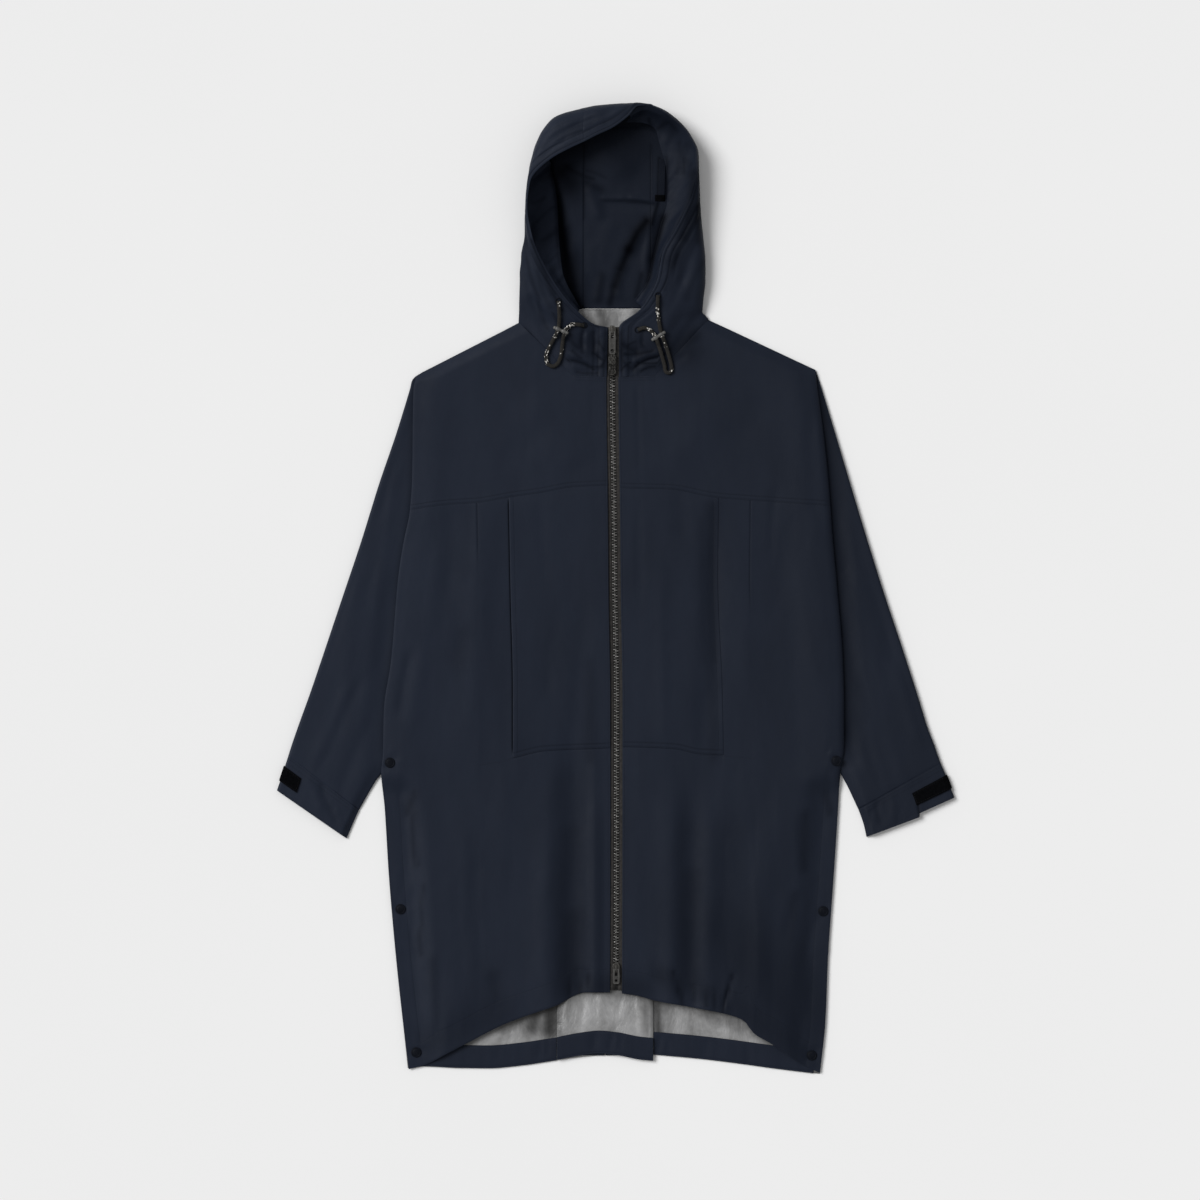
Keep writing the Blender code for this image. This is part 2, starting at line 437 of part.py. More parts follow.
BAND_LIFT = WALL / 2 + GAP + BAND_WALL / 2
for name, hem, low, high, start, end in (
    ("hem_facing_left", BACK_HEM, 1.0, BACK_Z, -270.0, PLEAT_LEFT - 0.4),
    ("hem_facing_pleat", PLEAT_HEM, 1.0, BACK_Z + 2 * LAYER, PLEAT_LEFT + 0.2, PLEAT_RIGHT - 0.2),
    ("hem_facing_right", BACK_HEM, 1.0, BACK_Z, PLEAT_RIGHT + 0.4, 266.0),
):
    x, y = np.meshgrid(spread(start, end, 8), spread(0, 1, 3))
    y = read(hem, x) + low + y * BAND_TALL
    sheet(name, level(x, y, high + BAND_LIFT), NAVY_DARK, BAND_WALL)


# ---------------------------------------------------------------- sleeves and cuffs: each section runs in along the floor, round the outer fold and back over the top
def tube_sections(rows, per_row=1, bottom=4, arc=3, top=7):
    """Middle surface of a flat tube, cut along its inner side: (rows, points round it, 3)."""
    count = len(rows["ox"])
    at = spread(0, count - 1, (count - 1) * per_row + 1)
    r = {name: np.interp(at, np.arange(count), column) for name, column in rows.items()}
    sections = []
    for n in range(len(at)):
        o, i = np.array([r["ox"][n], r["oy"][n]]), np.array([r["ix"][n], r["iy"][n]])
        width = np.linalg.norm(i - o)
        inward = (i - o) / width
        fold = min(6.6, r["top"][n])
        radius = (fold - BACK_Z) / 2
        q = list(spread(width, radius, bottom)) + [radius - radius * math.cos(a) for a in spread(-math.pi / 2, math.pi / 2, arc + 2)[1:-1]]
        z = [BACK_Z] * bottom + [BACK_Z + radius * (1 + math.sin(a)) for a in spread(-math.pi / 2, math.pi / 2, arc + 2)[1:-1]]
        under, rise = r["under"][n], r["rise"][n]
        reach = min(under + rise, width - 2 * radius - 3)
        above = np.concatenate([spread(radius, width - reach, top - 4), spread(width - reach, width, 5)[1:]])
        crown = r["top"][n] - (r["top"][n] - fold) * (1 - step((above - radius) / (0.4 * width)))
        crown = r["end"][n] + (crown - r["end"][n]) * step((width - above - under) / rise)
        q += list(above)
        z += list(crown)
        sections.append([(*(o + inward * a), b) for a, b in zip(q, z)])
    return np.array(sections)


TUBE_BOTTOM, TUBE_ARC = 4, 3
for label, sleeve_rows, cuff_rows in (("left", SLEEVE_LEFT, CUFF_LEFT), ("right", SLEEVE_RIGHT, CUFF_RIGHT)):
    sheet("sleeve_" + label, tube_sections(sleeve_rows), NAVY)
    cuff = tube_sections(cuff_rows, per_row=2, top=9)
    sheet("cuff_" + label, cuff, NAVY)
    surfaces["cuff_" + label] = cuff[:, TUBE_BOTTOM + 1 :]

# the hook-and-loop tab lies on each cuff and turns round its outer fold: length on top, start and end along the cuff
TAB_WALL = 1.4
for label, cuff_rows, length, start, end in (("left", CUFF_LEFT, 27.0, 0.28, 0.72), ("right", CUFF_RIGHT, 51.0, 0.2, 0.56)):
    lift = WALL / 2 + GAP + TAB_WALL / 2
    across = []
    for t in spread(start, end, 3):
        r = {name: np.interp(t * 2, np.arange(3), column) for name, column in cuff_rows.items()}
        o, i = np.array([r["ox"], r["oy"]]), np.array([r["ix"], r["iy"]])
        width = np.linalg.norm(i - o)
        inward = (i - o) / width
        radius = (6.6 - BACK_Z) / 2
        line = []
        for a in spread(-0.55, math.pi / 2, 5):
            reach = radius + lift
            line.append((*(o + inward * (radius - reach * math.cos(a))), BACK_Z + radius + reach * math.sin(a)))
        for q in spread(radius, length, 5)[1:]:
            line.append((*(o + inward * q), 7.4 + lift + 0.1))
        across.append(line)
    sheet("cuff_tab_" + label, np.array(across), BLACK, TAB_WALL)


# ---------------------------------------------------------------- hood
def rib(r):
    """One rib's points: face edge, over the crest, down round the widest point, onto the floor and in to the seam."""
    rim, crest, widest = (np.array(r[n : n + 3]) for n in (0, 3, 6))
    foot = np.array([r[9], r[10], BACK_Z])
    end = np.array([r[12], r[11], BACK_Z])
    points = [rim + (crest - rim) * t for t in (0, 1 / 3, 2 / 3)]
    for a in spread(0, math.pi / 2, 5):
        flat = widest + (crest - widest) * (1 - math.sin(a))
        points.append(np.array([flat[0], flat[1], widest[2] + (crest[2] - widest[2]) * math.cos(a)]))
    for a in spread(0, math.pi / 2, 5)[1:]:
        flat = foot + (widest - foot) * (1 - math.sin(a))
        points.append(np.array([*(widest + (foot - widest) * (1 - math.cos(a)))[:2], foot[2] + (widest[2] - foot[2]) * (1 - math.sin(a))]))
    points += [foot + (end - foot) * t for t in (1 / 3, 2 / 3, 1)]
    return points


def ribs(rows, seam, count):
    at = np.arange(len(rows["rx"]))
    fine = spread(0, at[-1], count)
    columns = [smooth(at, rows[name], fine) for name in RIB_COLUMNS.split()]
    ends = columns[0] if seam is None else np.full(count, seam)
    return np.array([rib([*(c[n] for c in columns), ends[n]]) for n in range(count)])


surfaces["hood_left"] = ribs(HOOD_LEFT, HOOD_SEAM_LEFT - 0.2, 18)
surfaces["hood_right"] = ribs(HOOD_RIGHT, HOOD_SEAM_RIGHT + 0.2, 19)
sheet("hood_left", surfaces["hood_left"], NAVY)
sheet("hood_right", surfaces["hood_right"], NAVY)
middle = ribs(HOOD_MIDDLE, None, 7)
nape = middle[:, -1:].copy()
floor = [nape * (1 - t) + np.concatenate([nape[:, :, :1], np.full_like(nape[:, :, :1], 379.3), nape[:, :, 2:]], axis=2) * t for t in spread(0, 1, 7)[1:]]
sheet("hood_middle", np.concatenate([middle, *floor], axis=1), NAVY)

for label, rows in (("left", CASING_LEFT), ("right", CASING_RIGHT)):
    at = np.arange(len(rows["ox"]))
    fine = spread(0, at[-1], 14)
    c = [smooth(at, column, fine) for column in rows.values()]
    outer, inner = np.stack(c[:3], axis=1), np.stack(c[3:], axis=1)
    lines = []
    for t in spread(0, 1, 4):
        line = outer + (inner - outer) * t
        line[:, 2] -= 3.0 * math.sin(math.pi * t)
        lines.append(line)
    sheet("hood_casing_" + label, np.stack(lines, axis=1), NAVY_DARK)


# ---------------------------------------------------------------- height of the cloth under a small part
def height_at(x, y, names):
    """Highest middle surface of the named pieces at a place, and its normal."""
    best, found = -1.0, Vector((0, 0, 1))
    for name in names:
        grid = surfaces[name]
        a, b, c, d = grid[:-1, :-1], grid[:-1, 1:], grid[1:, 1:], grid[1:, :-1]
        for p, q, r in ((a, b, c), (a, c, d)):
            v0, v1 = q - p, r - p
            det = v0[..., 0] * v1[..., 1] - v0[..., 1] * v1[..., 0]
            wx, wy = x - p[..., 0], y - p[..., 1]
            safe = np.where(np.abs(det) < 1e-9, 1, det)
            s = (wx * v1[..., 1] - wy * v1[..., 0]) / safe
            t = (v0[..., 0] * wy - v0[..., 1] * wx) / safe
            z = p[..., 2] + s * v0[..., 2] + t * v1[..., 2]
            inside = (s >= -1e-6) & (t >= -1e-6) & (s + t <= 1 + 1e-6) & (np.abs(det) > 1e-9)
            z = np.where(inside, z, -1)
            n = np.unravel_index(np.argmax(z), z.shape)
            if z[n] > best:
                best = float(z[n])
                found = Vector(np.cross(v0[n], v1[n])).normalized()
                if found.z < 0:
                    found.negate()
    return best, found


def highest(x, y, radius, names):
    ring = [(x, y)] + [(x + radius * f * math.cos(a), y + radius * f * math.sin(a)) for f in (0.55, 1) for a in spread(0, 2 * math.pi, 9)[:-1]]
    return max(height_at(px, py, names)[0] for px, py in ring)


CLOTH = ["front_left", "front_right", "yoke_left", "yoke_right", "hood_left", "hood_right"]


def turned(name, profile, finish, at, normal, around=20):
    """A round part from its profile (radius, height), on its axis, standing on the cloth."""
    turn = Vector((0, 0, 1)).rotation_difference(normal).to_matrix().to_4x4()
    place = Matrix.Translation(Vector(at) * MM) @ turn
    points, faces, rings = [], [], []
    for radius, height in profile:
        if radius < 1e-6:
            rings.append([len(points)])
            points.append((0, 0, height))
            continue
        rings.append(list(range(len(points), len(points) + around)))
        points += [(radius * math.cos(a), radius * math.sin(a), height) for a in spread(0, 2 * math.pi, around + 1)[:-1]]
    pairs = list(zip(rings, rings[1:]))
    if profile[0][0] > 1e-6:
        pairs.append((rings[-1], rings[0]))
    for low, high in pairs:
        for n in range(around):
            m = (n + 1) % around
            if len(low) == 1:
                faces.append((low[0], high[m], high[n]))
            elif len(high) == 1:
                faces.append((low[n], low[m], high[0]))
            else:
                faces.append((low[n], low[m], high[m], high[n]))
    obj = add(name, points, faces, finish)
    obj.matrix_world = place
    return obj


def gap_lift(x, y, z, normal, radius, names):
    """How far a flat disc must move along the normal to clear the cloth under it."""
    lift = 0.0
    for f in (0.5, 1.0):
        for a in spread(0, 2 * math.pi, 13)[:-1]:
            px, py = x + radius * f * math.cos(a), y + radius * f * math.sin(a)
            plane = z - (normal.x * (px - x) + normal.y * (py - y)) / normal.z
            lift = max(lift, height_at(px, py, names)[0] - plane)
    return lift


SNAP_PROFILE = ((0, 0), (SNAP_RADIUS * 0.94, 0), (SNAP_RADIUS, 0.5), (SNAP_RADIUS, 1.2), (SNAP_RADIUS * 0.9, 1.9), (SNAP_RADIUS * 0.6, 2.35), (SNAP_RADIUS * 0.3, SNAP_HEIGHT), (0, SNAP_HEIGHT + 0.05))
for n, (x, y) in enumerate(zip(*SNAPS.values())):
    z, normal = height_at(x, y, CLOTH)
    normal = Vector((0, 0, 1))
    z += gap_lift(x, y, z, normal, SNAP_RADIUS, CLOTH) + WALL / 2 + GAP
    turned(f"snap_{('left', 'right')[n // 3]}_{n % 3 + 1}", SNAP_PROFILE, BLACK, (x, y, z), normal)

eyelet_top = {}
for n, (x, y) in enumerate(zip(*EYELETS.values())):
    z, normal = height_at(x, y, CLOTH)
    z += gap_lift(x, y, z, normal, EYELET_OUTER, CLOTH) + (WALL / 2 + GAP) / normal.z
    ring = ((EYELET_INNER, 0), (EYELET_OUTER, 0), (EYELET_OUTER, EYELET_THICK * 0.5), (EYELET_OUTER - 0.4, EYELET_THICK), (EYELET_INNER + 0.3, EYELET_THICK), (EYELET_INNER, EYELET_THICK * 0.6))
    turned(f"eyelet_{('left', 'right')[n // 2]}_{('upper', 'lower')[n % 2]}", ring, BLACK, (x, y, z), normal, 16)
    eyelet_top[n] = (Vector((x, y, z)), normal)


# ---------------------------------------------------------------- drawcords and their locks
def route(rows, lock, eyelets):
    """The cord's centreline, on one smooth curve, lying on the cloth and passing through its lock."""
    radius = CORD_DIAMETER / 2
    plan = np.stack(list(rows.values()), axis=1)
    chord = np.concatenate([[0], np.cumsum(np.linalg.norm(np.diff(plan, axis=0), axis=1))])
    fine = spread(0, chord[-1], 61)
    xs, ys = smooth(chord, plan[:, 0], fine), smooth(chord, plan[:, 1], fine)
    ground = np.array([highest(x, y, radius, CLOTH) for x, y in zip(xs, ys)]) + WALL / 2 + 0.5 + radius
    eased = ground.copy()
    for _ in range(14):
        eased = np.maximum(ground, np.convolve(np.pad(eased, 1, mode="edge"), [0.25, 0.5, 0.25], mode="valid"))
    near = np.hypot(xs - lock[0], ys - lock[1])
    low = eased[np.argmin(near)]
    hold = np.where(near < 14, 1 - step((near - 8) / 6), 0)
    eased = np.maximum(eased, eased * (1 - hold) + (low + 1.6) * hold)
    for base, normal in eyelets:
        near = np.hypot(xs - base.x, ys - base.y)
        over = base.z + EYELET_THICK + EYELET_OUTER * math.hypot(normal.x, normal.y) + radius + 0.6
        eased = np.maximum(eased, over - 6 * step((near - 7) / 8))
    return np.stack([xs, ys, eased], axis=1), low + 1.6


def tube_object(name, points, diameter, finish):
    curve = bpy.data.curves.new(name, "CURVE")
    curve.dimensions = "3D"
    curve.bevel_depth = diameter / 2 * MM
    curve.bevel_resolution = 2
    curve.use_fill_caps = True
    curve.twist_mode = "MINIMUM"
    spline = curve.splines.new("POLY")
    spline.points.add(len(points) - 1)
    for point, place in zip(spline.points, points):
        point.co = (*(c * MM for c in place), 1)
    obj = bpy.data.objects.new(name, curve)
    bpy.context.scene.collection.objects.link(obj)
    curve.materials.append(material(*finish(name)))
    return obj


def box_mesh(name, low, high):
    points = [(x, y, z) for x in (low[0], high[0]) for y in (low[1], high[1]) for z in (low[2], high[2])]
    faces = [(0, 1, 3, 2), (4, 6, 7, 5), (0, 4, 5, 1), (2, 3, 7, 6), (0, 2, 6, 4), (1, 5, 7, 3)]
    return points, faces


def helper(name, points, faces):
    """A cutter: kept out of the render and out of the part."""
    mesh = bpy.data.meshes.new(name)
    mesh.from_pydata([tuple(c * MM for c in p) for p in points], [], faces)
    bm = bmesh.new()
    bm.from_mesh(mesh)
    bmesh.ops.recalc_face_normals(bm, faces=bm.faces)
    if bm.calc_volume(signed=True) < 0:
        bmesh.ops.reverse_faces(bm, faces=bm.faces)
    bm.to_mesh(mesh)
    bm.free()
    obj = bpy.data.objects.new(name, mesh)
    bpy.context.scene.collection.objects.link(obj)
    obj.hide_render = True
    obj.display_type = "WIRE"
    return obj


def boolean(target, other, operation):
    modifier = target.modifiers.new(operation.lower(), "BOOLEAN")
    modifier.operation = operation
    modifier.solver = "EXACT"
    modifier.object = other


def bevel(target, width, segments=2):
    modifier = target.modifiers.new("edge", "BEVEL")
    modifier.width = width * MM
    modifier.segments = segments
    modifier.limit_method = "ANGLE"
    modifier.angle_limit = math.radians(40)


def rod(radius, length, axis="Y", around=16, centre=(0, 0, 0)):
    points, faces = [], []
    for side in (-0.5, 0.5):
        for a in spread(0, 2 * math.pi, around + 1)[:-1]:
            u, v = radius * math.cos(a), radius * math.sin(a)
            place = {"X": (side * length, u, v), "Y": (u, side * length, v), "Z": (u, v, side * length)}[axis]
            points.append(tuple(p + c for p, c in zip(place, centre)))
    for n in range(around):
        m = (n + 1) % around
        faces.append((n, m, around + m, around + n))
    faces += [tuple(range(around)), tuple(range(2 * around - 1, around - 1, -1))]
    return points, faces


for n, (label, rows) in enumerate((("left", CORD_LEFT), ("right", CORD_RIGHT))):
    lock = [LOCKS[c][n] for c in ("x", "y", "dx", "dy")]
    path, lock_z = route(rows, lock, (eyelet_top[2 * n], eyelet_top[2 * n + 1]))
    tube_object("cord_" + label, path[::2], CORD_DIAMETER, CORD)
    turn = math.atan2(lock[3], lock[2])
    frame = Matrix.Translation(Vector((lock[0], lock[1], lock_z)) * MM) @ Matrix.Rotation(turn, 4, "Z")
    body = add("cord_lock_" + label, *box_mesh("lock", (-LOCK_LENGTH / 2, -LOCK_WIDTH / 2, -LOCK_HEIGHT / 2), (LOCK_LENGTH / 2, LOCK_WIDTH / 2, LOCK_HEIGHT / 2)), GREY)
    body.matrix_world = frame
    bevel(body, 1.6)
    for side in (-1, 1):
        hole = helper(f"lock_hole_{label}_{side + 1}", *rod(CORD_DIAMETER / 2 + 0.9, LOCK_WIDTH + 8))
        near = [p for p in path if abs((p[0] - lock[0]) * math.cos(turn) + (p[1] - lock[1]) * math.sin(turn) - side * LOCK_HOLES / 2) < 4 and math.hypot(p[0] - lock[0], p[1] - lock[1]) < 9]
        a, b = Vector(near[0]), Vector(near[-1])
        along = (b - a).normalized()
        hole.matrix_world = Matrix.Translation((a + b) / 2 * MM) @ Vector((0, 1, 0)).rotation_difference(along).to_matrix().to_4x4()
        boolean(body, hole, "DIFFERENCE")


# ---------------------------------------------------------------- zip: tapes, chain, sliders and pull tabs
def strip(x0, x1, y0, y1, z0, z1, rows=15):
    """Middle points of a strip that follows the zip: its edges lie at x0 and x1 from the centreline, at heights over the fronts' edges."""
    ys = spread(y0, y1, rows)
    line = read(ZIP_LINE, ys)
    return np.array([[(c + x0, y, zip_z(y) + z0), (c + x1, y, zip_z(y) + z1)] for c, y in zip(line, ys)])


ZIP_TOP, ZIP_BOTTOM = 350.5, -540.5
TAPE_DROP = WALL / 2 + GAP + 0.2 + BAND_WALL / 2
for side, label in ((-1, "left"), (1, "right")):
    sheet("zip_tape_" + label, strip(side * TAPE_INNER, side * TAPE_OUTER, ZIP_BOTTOM, ZIP_TOP, -TAPE_DROP, -TAPE_DROP), TAPE, BAND_WALL)

ys = spread(SLIDER_BOTTOM_Y + 1.5, SLIDER_TOP_Y - 1.5, 15)
line = read(ZIP_LINE, ys)
points, faces = [], []
for n, (c, y) in enumerate(zip(line, ys)):
    z, w = zip_z(y), CHAIN_WIDTH / 2
    points += [(c - w, y, z - CHAIN_BELOW), (c + w, y, z - CHAIN_BELOW), (c + w, y, z + CHAIN_ABOVE), (c - w, y, z + CHAIN_ABOVE)]
    if n:
        a = 4 * (n - 1)
        faces += [(a + i, a + (i + 1) % 4, a + 4 + (i + 1) % 4, a + 4 + i) for i in range(4)]
faces += [(0, 1, 2, 3), (len(points) - 1, len(points) - 2, len(points) - 3, len(points) - 4)]
add("zip_chain", points, faces, BRONZE)

SLOT_LOW, SLOT_HIGH = -2.5, 1.4  # the slider's slot, from the fronts' edge height
ARCH_INSIDE, ARCH_BAR, ARCH_HALF = 2.5, 1.2, 0.9
AXIS_Z = SLOT_HIGH + PLATE + 0.4 + 0.8  # pull tab's axis over the fronts' edge height
AXIS_Y = -2.4  # and towards the pull tab from the slider's middle


def slider(name, y, mouth):
    """Two plates, the wedge that joins them at the end away from the mouth, and the arch that holds the pull tab."""
    centre = Vector((float(read(ZIP_LINE, y)), y, float(zip_z(y))))
    half, reach = SLIDER_WIDTH / 2, SLIDER_LENGTH / 2
    outline = [(-half * 0.62, -reach), (half * 0.62, -reach), (half, -reach * 0.45), (half, reach * 0.5), (half * 0.55, reach), (-half * 0.55, reach), (-half, reach * 0.5), (-half, -reach * 0.45)]
    if mouth > 0:
        outline = [(x, -v) for x, v in outline]
    made = []
    for low, high in ((SLOT_HIGH, SLOT_HIGH + PLATE), (SLOT_LOW - PLATE, SLOT_LOW)):
        points = [(x, v, z) for z in (low, high) for x, v in outline]
        n = len(outline)
        faces = [(i, (i + 1) % n, n + (i + 1) % n, n + i) for i in range(n)] + [tuple(range(n)), tuple(range(2 * n - 1, n - 1, -1))]
        made.append((points, faces))
    body = add(name, *made[0], BRONZE)
    body.location = centre * MM
    under = helper(name + "_under", *made[1])
    far = -mouth
    wedge_y = sorted((far * (reach - 0.4), far * (reach - 3.4)))
    wedge = helper(name + "_wedge", *box_mesh("w", (-1.4, wedge_y[0], SLOT_LOW - 0.5), (1.4, wedge_y[1], SLOT_HIGH + 0.5)))
    base = SLOT_HIGH + PLATE
    arch = [(-4.9, base - 0.4), (-4.9, base + ARCH_INSIDE), (-3.6, base + ARCH_INSIDE + ARCH_BAR), (3.6, base + ARCH_INSIDE + ARCH_BAR), (4.9, base + ARCH_INSIDE), (4.9, base - 0.4), (3.7, base - 0.4), (3.7, base + ARCH_INSIDE - 0.3), (3.1, base + ARCH_INSIDE), (-3.1, base + ARCH_INSIDE), (-3.7, base + ARCH_INSIDE - 0.3), (-3.7, base - 0.4)]
    points = [(x, v, z) for x in (-ARCH_HALF, ARCH_HALF) for v, z in arch]
    n = len(arch)
    faces = [(i, (i + 1) % n, n + (i + 1) % n, n + i) for i in range(n)] + [tuple(range(n)), tuple(range(2 * n - 1, n - 1, -1))]
    bail = helper(name + "_arch", points, faces)
    for other in (under, wedge, bail):
        other.location = centre * MM
        boolean(body, other, "UNION")
    return centre


def pull_tab(name, centre, length, drop, hole):
    """A plate with a slot for the arch and a hole near its end, on its own axis, which is its origin."""
    half, thick = TAB_WIDTH / 2, TAB_THICK / 2
    outline = [(-half * 0.86, 0.9), (half * 0.86, 0.9), (half, -9.5), (half * 0.96, -length + 2.2), (half * 0.66, -length), (-half * 0.66, -length), (-half * 0.96, -length + 2.2), (-half, -9.5)]
    points = [(x, v, z) for z in (-thick, thick) for x, v in outline]
    n = len(outline)
    faces = [(i, (i + 1) % n, n + (i + 1) % n, n + i) for i in range(n)] + [tuple(range(n)), tuple(range(2 * n - 1, n - 1, -1))]
    body = add(name, points, faces, BRONZE)
    body.location = (centre + Vector((0, AXIS_Y, AXIS_Z))) * MM
    body.rotation_euler = (drop, 0, 0)
    slot = helper(name + "_slot", *box_mesh("s", (-1.9, -8.6, -5), (1.9, -0.8, 5)))
    eye = helper(name + "_eye", *rod(hole, 10, "Z", 16, (0, -length + 4.6, 0)))
    for other in (slot, eye):
        other.parent = body
        boolean(body, other, "DIFFERENCE")
    return body


top = slider("zip_slider_top", SLIDER_TOP_Y, -1)
bottom = slider("zip_slider_bottom", SLIDER_BOTTOM_Y, 1)
TOP_DROP = math.radians(4.4)
pull_tab("zip_pull_top", top, TAB_TOP_LENGTH, TOP_DROP, 2.4)
pull_tab("zip_pull_bottom", bottom, TAB_BOTTOM_LENGTH, math.radians(5.5), 1.9)

# the soft grip looped through the upper pull tab, which turns with it
axis = top + Vector((0, AXIS_Y, AXIS_Z))
start = -TAB_TOP_LENGTH - 0.4
outline = [(-0.36, 0), (0.36, 0), (0.46, -2), (0.5, -PULLER_LENGTH + 4), (0.42, -PULLER_LENGTH + 1.2), (0.22, -PULLER_LENGTH), (-0.22, -PULLER_LENGTH), (-0.42, -PULLER_LENGTH + 1.2), (-0.5, -PULLER_LENGTH + 4), (-0.46, -2)]
points = [(x * PULLER_WIDTH, start + v, z * PULLER_THICK) for z in (-0.5, 0.5) for x, v in outline]
n = len(outline)
faces = [(i, (i + 1) % n, n + (i + 1) % n, n + i) for i in range(n)] + [tuple(range(n)), tuple(range(2 * n - 1, n - 1, -1))]
grip = add("zip_grip_top", points, faces, BLACK)
grip.location = axis * MM
grip.rotation_euler = (math.radians(3.0), 0, 0)
bevel(grip, 0.5, 1)
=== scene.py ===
"""Hooded rain poncho, closed and laid flat on its back: its visible cloth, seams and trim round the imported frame.

Tables are in millimetres from the middle of the laid garment, as in the part; the meshes are in metres.
Every cloth piece is one thin closed wall on the same form as its solid, with its seams and creases added.
"""

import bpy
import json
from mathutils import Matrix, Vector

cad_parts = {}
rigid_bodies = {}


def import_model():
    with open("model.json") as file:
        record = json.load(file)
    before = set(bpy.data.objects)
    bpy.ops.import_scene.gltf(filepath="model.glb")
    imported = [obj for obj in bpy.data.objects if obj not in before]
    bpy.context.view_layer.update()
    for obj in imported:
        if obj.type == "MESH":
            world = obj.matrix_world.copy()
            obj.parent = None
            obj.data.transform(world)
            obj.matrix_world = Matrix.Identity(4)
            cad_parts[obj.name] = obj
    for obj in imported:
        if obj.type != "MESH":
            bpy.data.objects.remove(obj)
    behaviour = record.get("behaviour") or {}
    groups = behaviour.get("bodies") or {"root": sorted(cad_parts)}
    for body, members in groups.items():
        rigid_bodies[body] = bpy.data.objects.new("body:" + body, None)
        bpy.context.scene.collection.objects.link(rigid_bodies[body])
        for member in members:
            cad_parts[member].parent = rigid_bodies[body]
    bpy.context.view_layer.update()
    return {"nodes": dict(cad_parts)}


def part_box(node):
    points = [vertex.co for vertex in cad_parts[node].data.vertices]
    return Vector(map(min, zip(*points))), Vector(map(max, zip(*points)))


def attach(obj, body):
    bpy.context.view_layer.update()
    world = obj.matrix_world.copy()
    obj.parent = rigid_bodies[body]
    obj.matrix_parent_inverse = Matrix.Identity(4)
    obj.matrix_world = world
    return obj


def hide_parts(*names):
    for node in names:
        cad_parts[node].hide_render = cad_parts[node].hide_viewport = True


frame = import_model()

import json
import math

import bmesh
import bpy
import numpy as np
from mathutils import Matrix, Vector
from mathutils.bvhtree import BVHTree

# ---------------------------------------------------------------- driving dimensions, mm
MM = 0.001
WALL = 1.2  # coated cloth with its seam allowances
BAND_WALL = 1.0  # hem facing and zip tape
GAP = 0.3  # between pieces at a seam
BACK_Z = WALL / 2  # middle surface of the back layer
LAYER = WALL + GAP  # one layer of cloth on another
LOFT_Z = 9.2  # middle surface of the front layer over the hollow body
SHOULDER_Z = BACK_Z + LAYER  # front layer where it meets the back along the shoulder
PLACKET_Z = 3.6  # front layer along the snapped side opening
OVER_SLEEVE_Z = 7.9  # front layer where its edge lies over the sleeve
PLACKET_WIDTH = 20.0
SIDE_RAMP = 32.0
SHOULDER_RAMP = 18.0
ZIP_OPENING = 8.0  # from the zip's centreline to the edge of each front
CHAIN_WIDTH, CHAIN_ABOVE, CHAIN_BELOW = 6.6, 1.0, 2.0
TAPE_INNER, TAPE_OUTER = 3.7, 14.0
SNAP_RADIUS, SNAP_HEIGHT = 7.5, 2.6
CORD_DIAMETER = 5.0
EYELET_OUTER, EYELET_INNER, EYELET_THICK = 5.0, 3.6, 0.9
LOCK_LENGTH, LOCK_WIDTH, LOCK_HEIGHT, LOCK_HOLES = 22.0, 6.4, 8.0, 9.0
SLIDER_WIDTH, SLIDER_LENGTH, PLATE = 9.4, 12.6, 1.4
TAB_WIDTH, TAB_THICK = 9.2, 1.4
TAB_TOP_LENGTH, TAB_BOTTOM_LENGTH = 30.0, 19.5
PULLER_WIDTH, PULLER_LENGTH, PULLER_THICK = 11.0, 28.0, 2.0



def table(names, rows):
    """The columns of a table, by name."""
    data = np.array(rows, float)
    return {name: data[:, n] for n, name in enumerate(names.split())}


# ---------------------------------------------------------------- outline, as lengths along one axis read at another
# y up the garment, x of the left and right edge of the body's front (a fold over the sleeve above -245, a side opening below)
SIDE_LEFT = table("y x", [(-648, -279), (-574, -288), (-489, -297), (-384, -306), (-295, -311.5), (-246, -316), (-226, -314), (-163, -312.5), (-98, -303), (21, -292.5), (63, -286), (106, -277.5), (148, -274.5), (270, -272.5), (283, -270)])
SIDE_RIGHT = table("y x", [(-653, 276), (-580, 283.5), (-504, 286.5), (-372, 295.5), (-295, 300.5), (-244, 303.5), (-214, 308.5), (-149, 308.5), (-98, 307), (6, 299), (71, 293), (148, 287.5), (218, 280), (284, 271), (296, 270)])
# x, y of the front hem, from the side to the zip
HEM_LEFT = table("x y", [(-281, -648), (-258, -642), (-228, -626.5), (-202, -613), (-149, -586), (-107, -570.5), (-77, -560), (-53, -547), (-41, -543.5), (-6, -543.5)])
HEM_RIGHT = table("x y", [(5, -544.5), (30, -548), (51, -554), (99, -563), (148, -572.5), (172, -581), (187, -599), (208, -611.5), (226, -623.5), (250, -640), (277, -653)])
# x, y of the yoke seam and of the pocket's lower seam
YOKE_SEAM = table("x y", [(-290, 105), (-228, 114), (-184, 117), (-144, 124), (-99, 130.5), (-57, 138), (-9, 140), (13, 136.5), (72, 135), (134, 124), (211, 118), (300, 112)])
POCKET_SEAM = table("x y", [(-330, -240), (-186, -234), (-139, -227.5), (-96, -218), (-11, -214), (6, -212.5), (78, -215), (113, -222), (145, -223.5), (186, -225), (330, -232)])
# y, x of the pocket openings and of the zip's centreline
POCKET_LEFT = table("y x", [(-650, -138), (-228, -138.5), (-136, -138.5), (-7, -141.5), (124, -144)])
POCKET_RIGHT = table("y x", [(-650, 147), (-222, 145.5), (-136, 144), (18, 138), (122, 139)])
ZIP_LINE = table("y x", [(-545, 0.7), (-284, 1.4), (-149, 1.4), (-14, -0.7), (121, -2), (256, -4), (352, -4.4)])
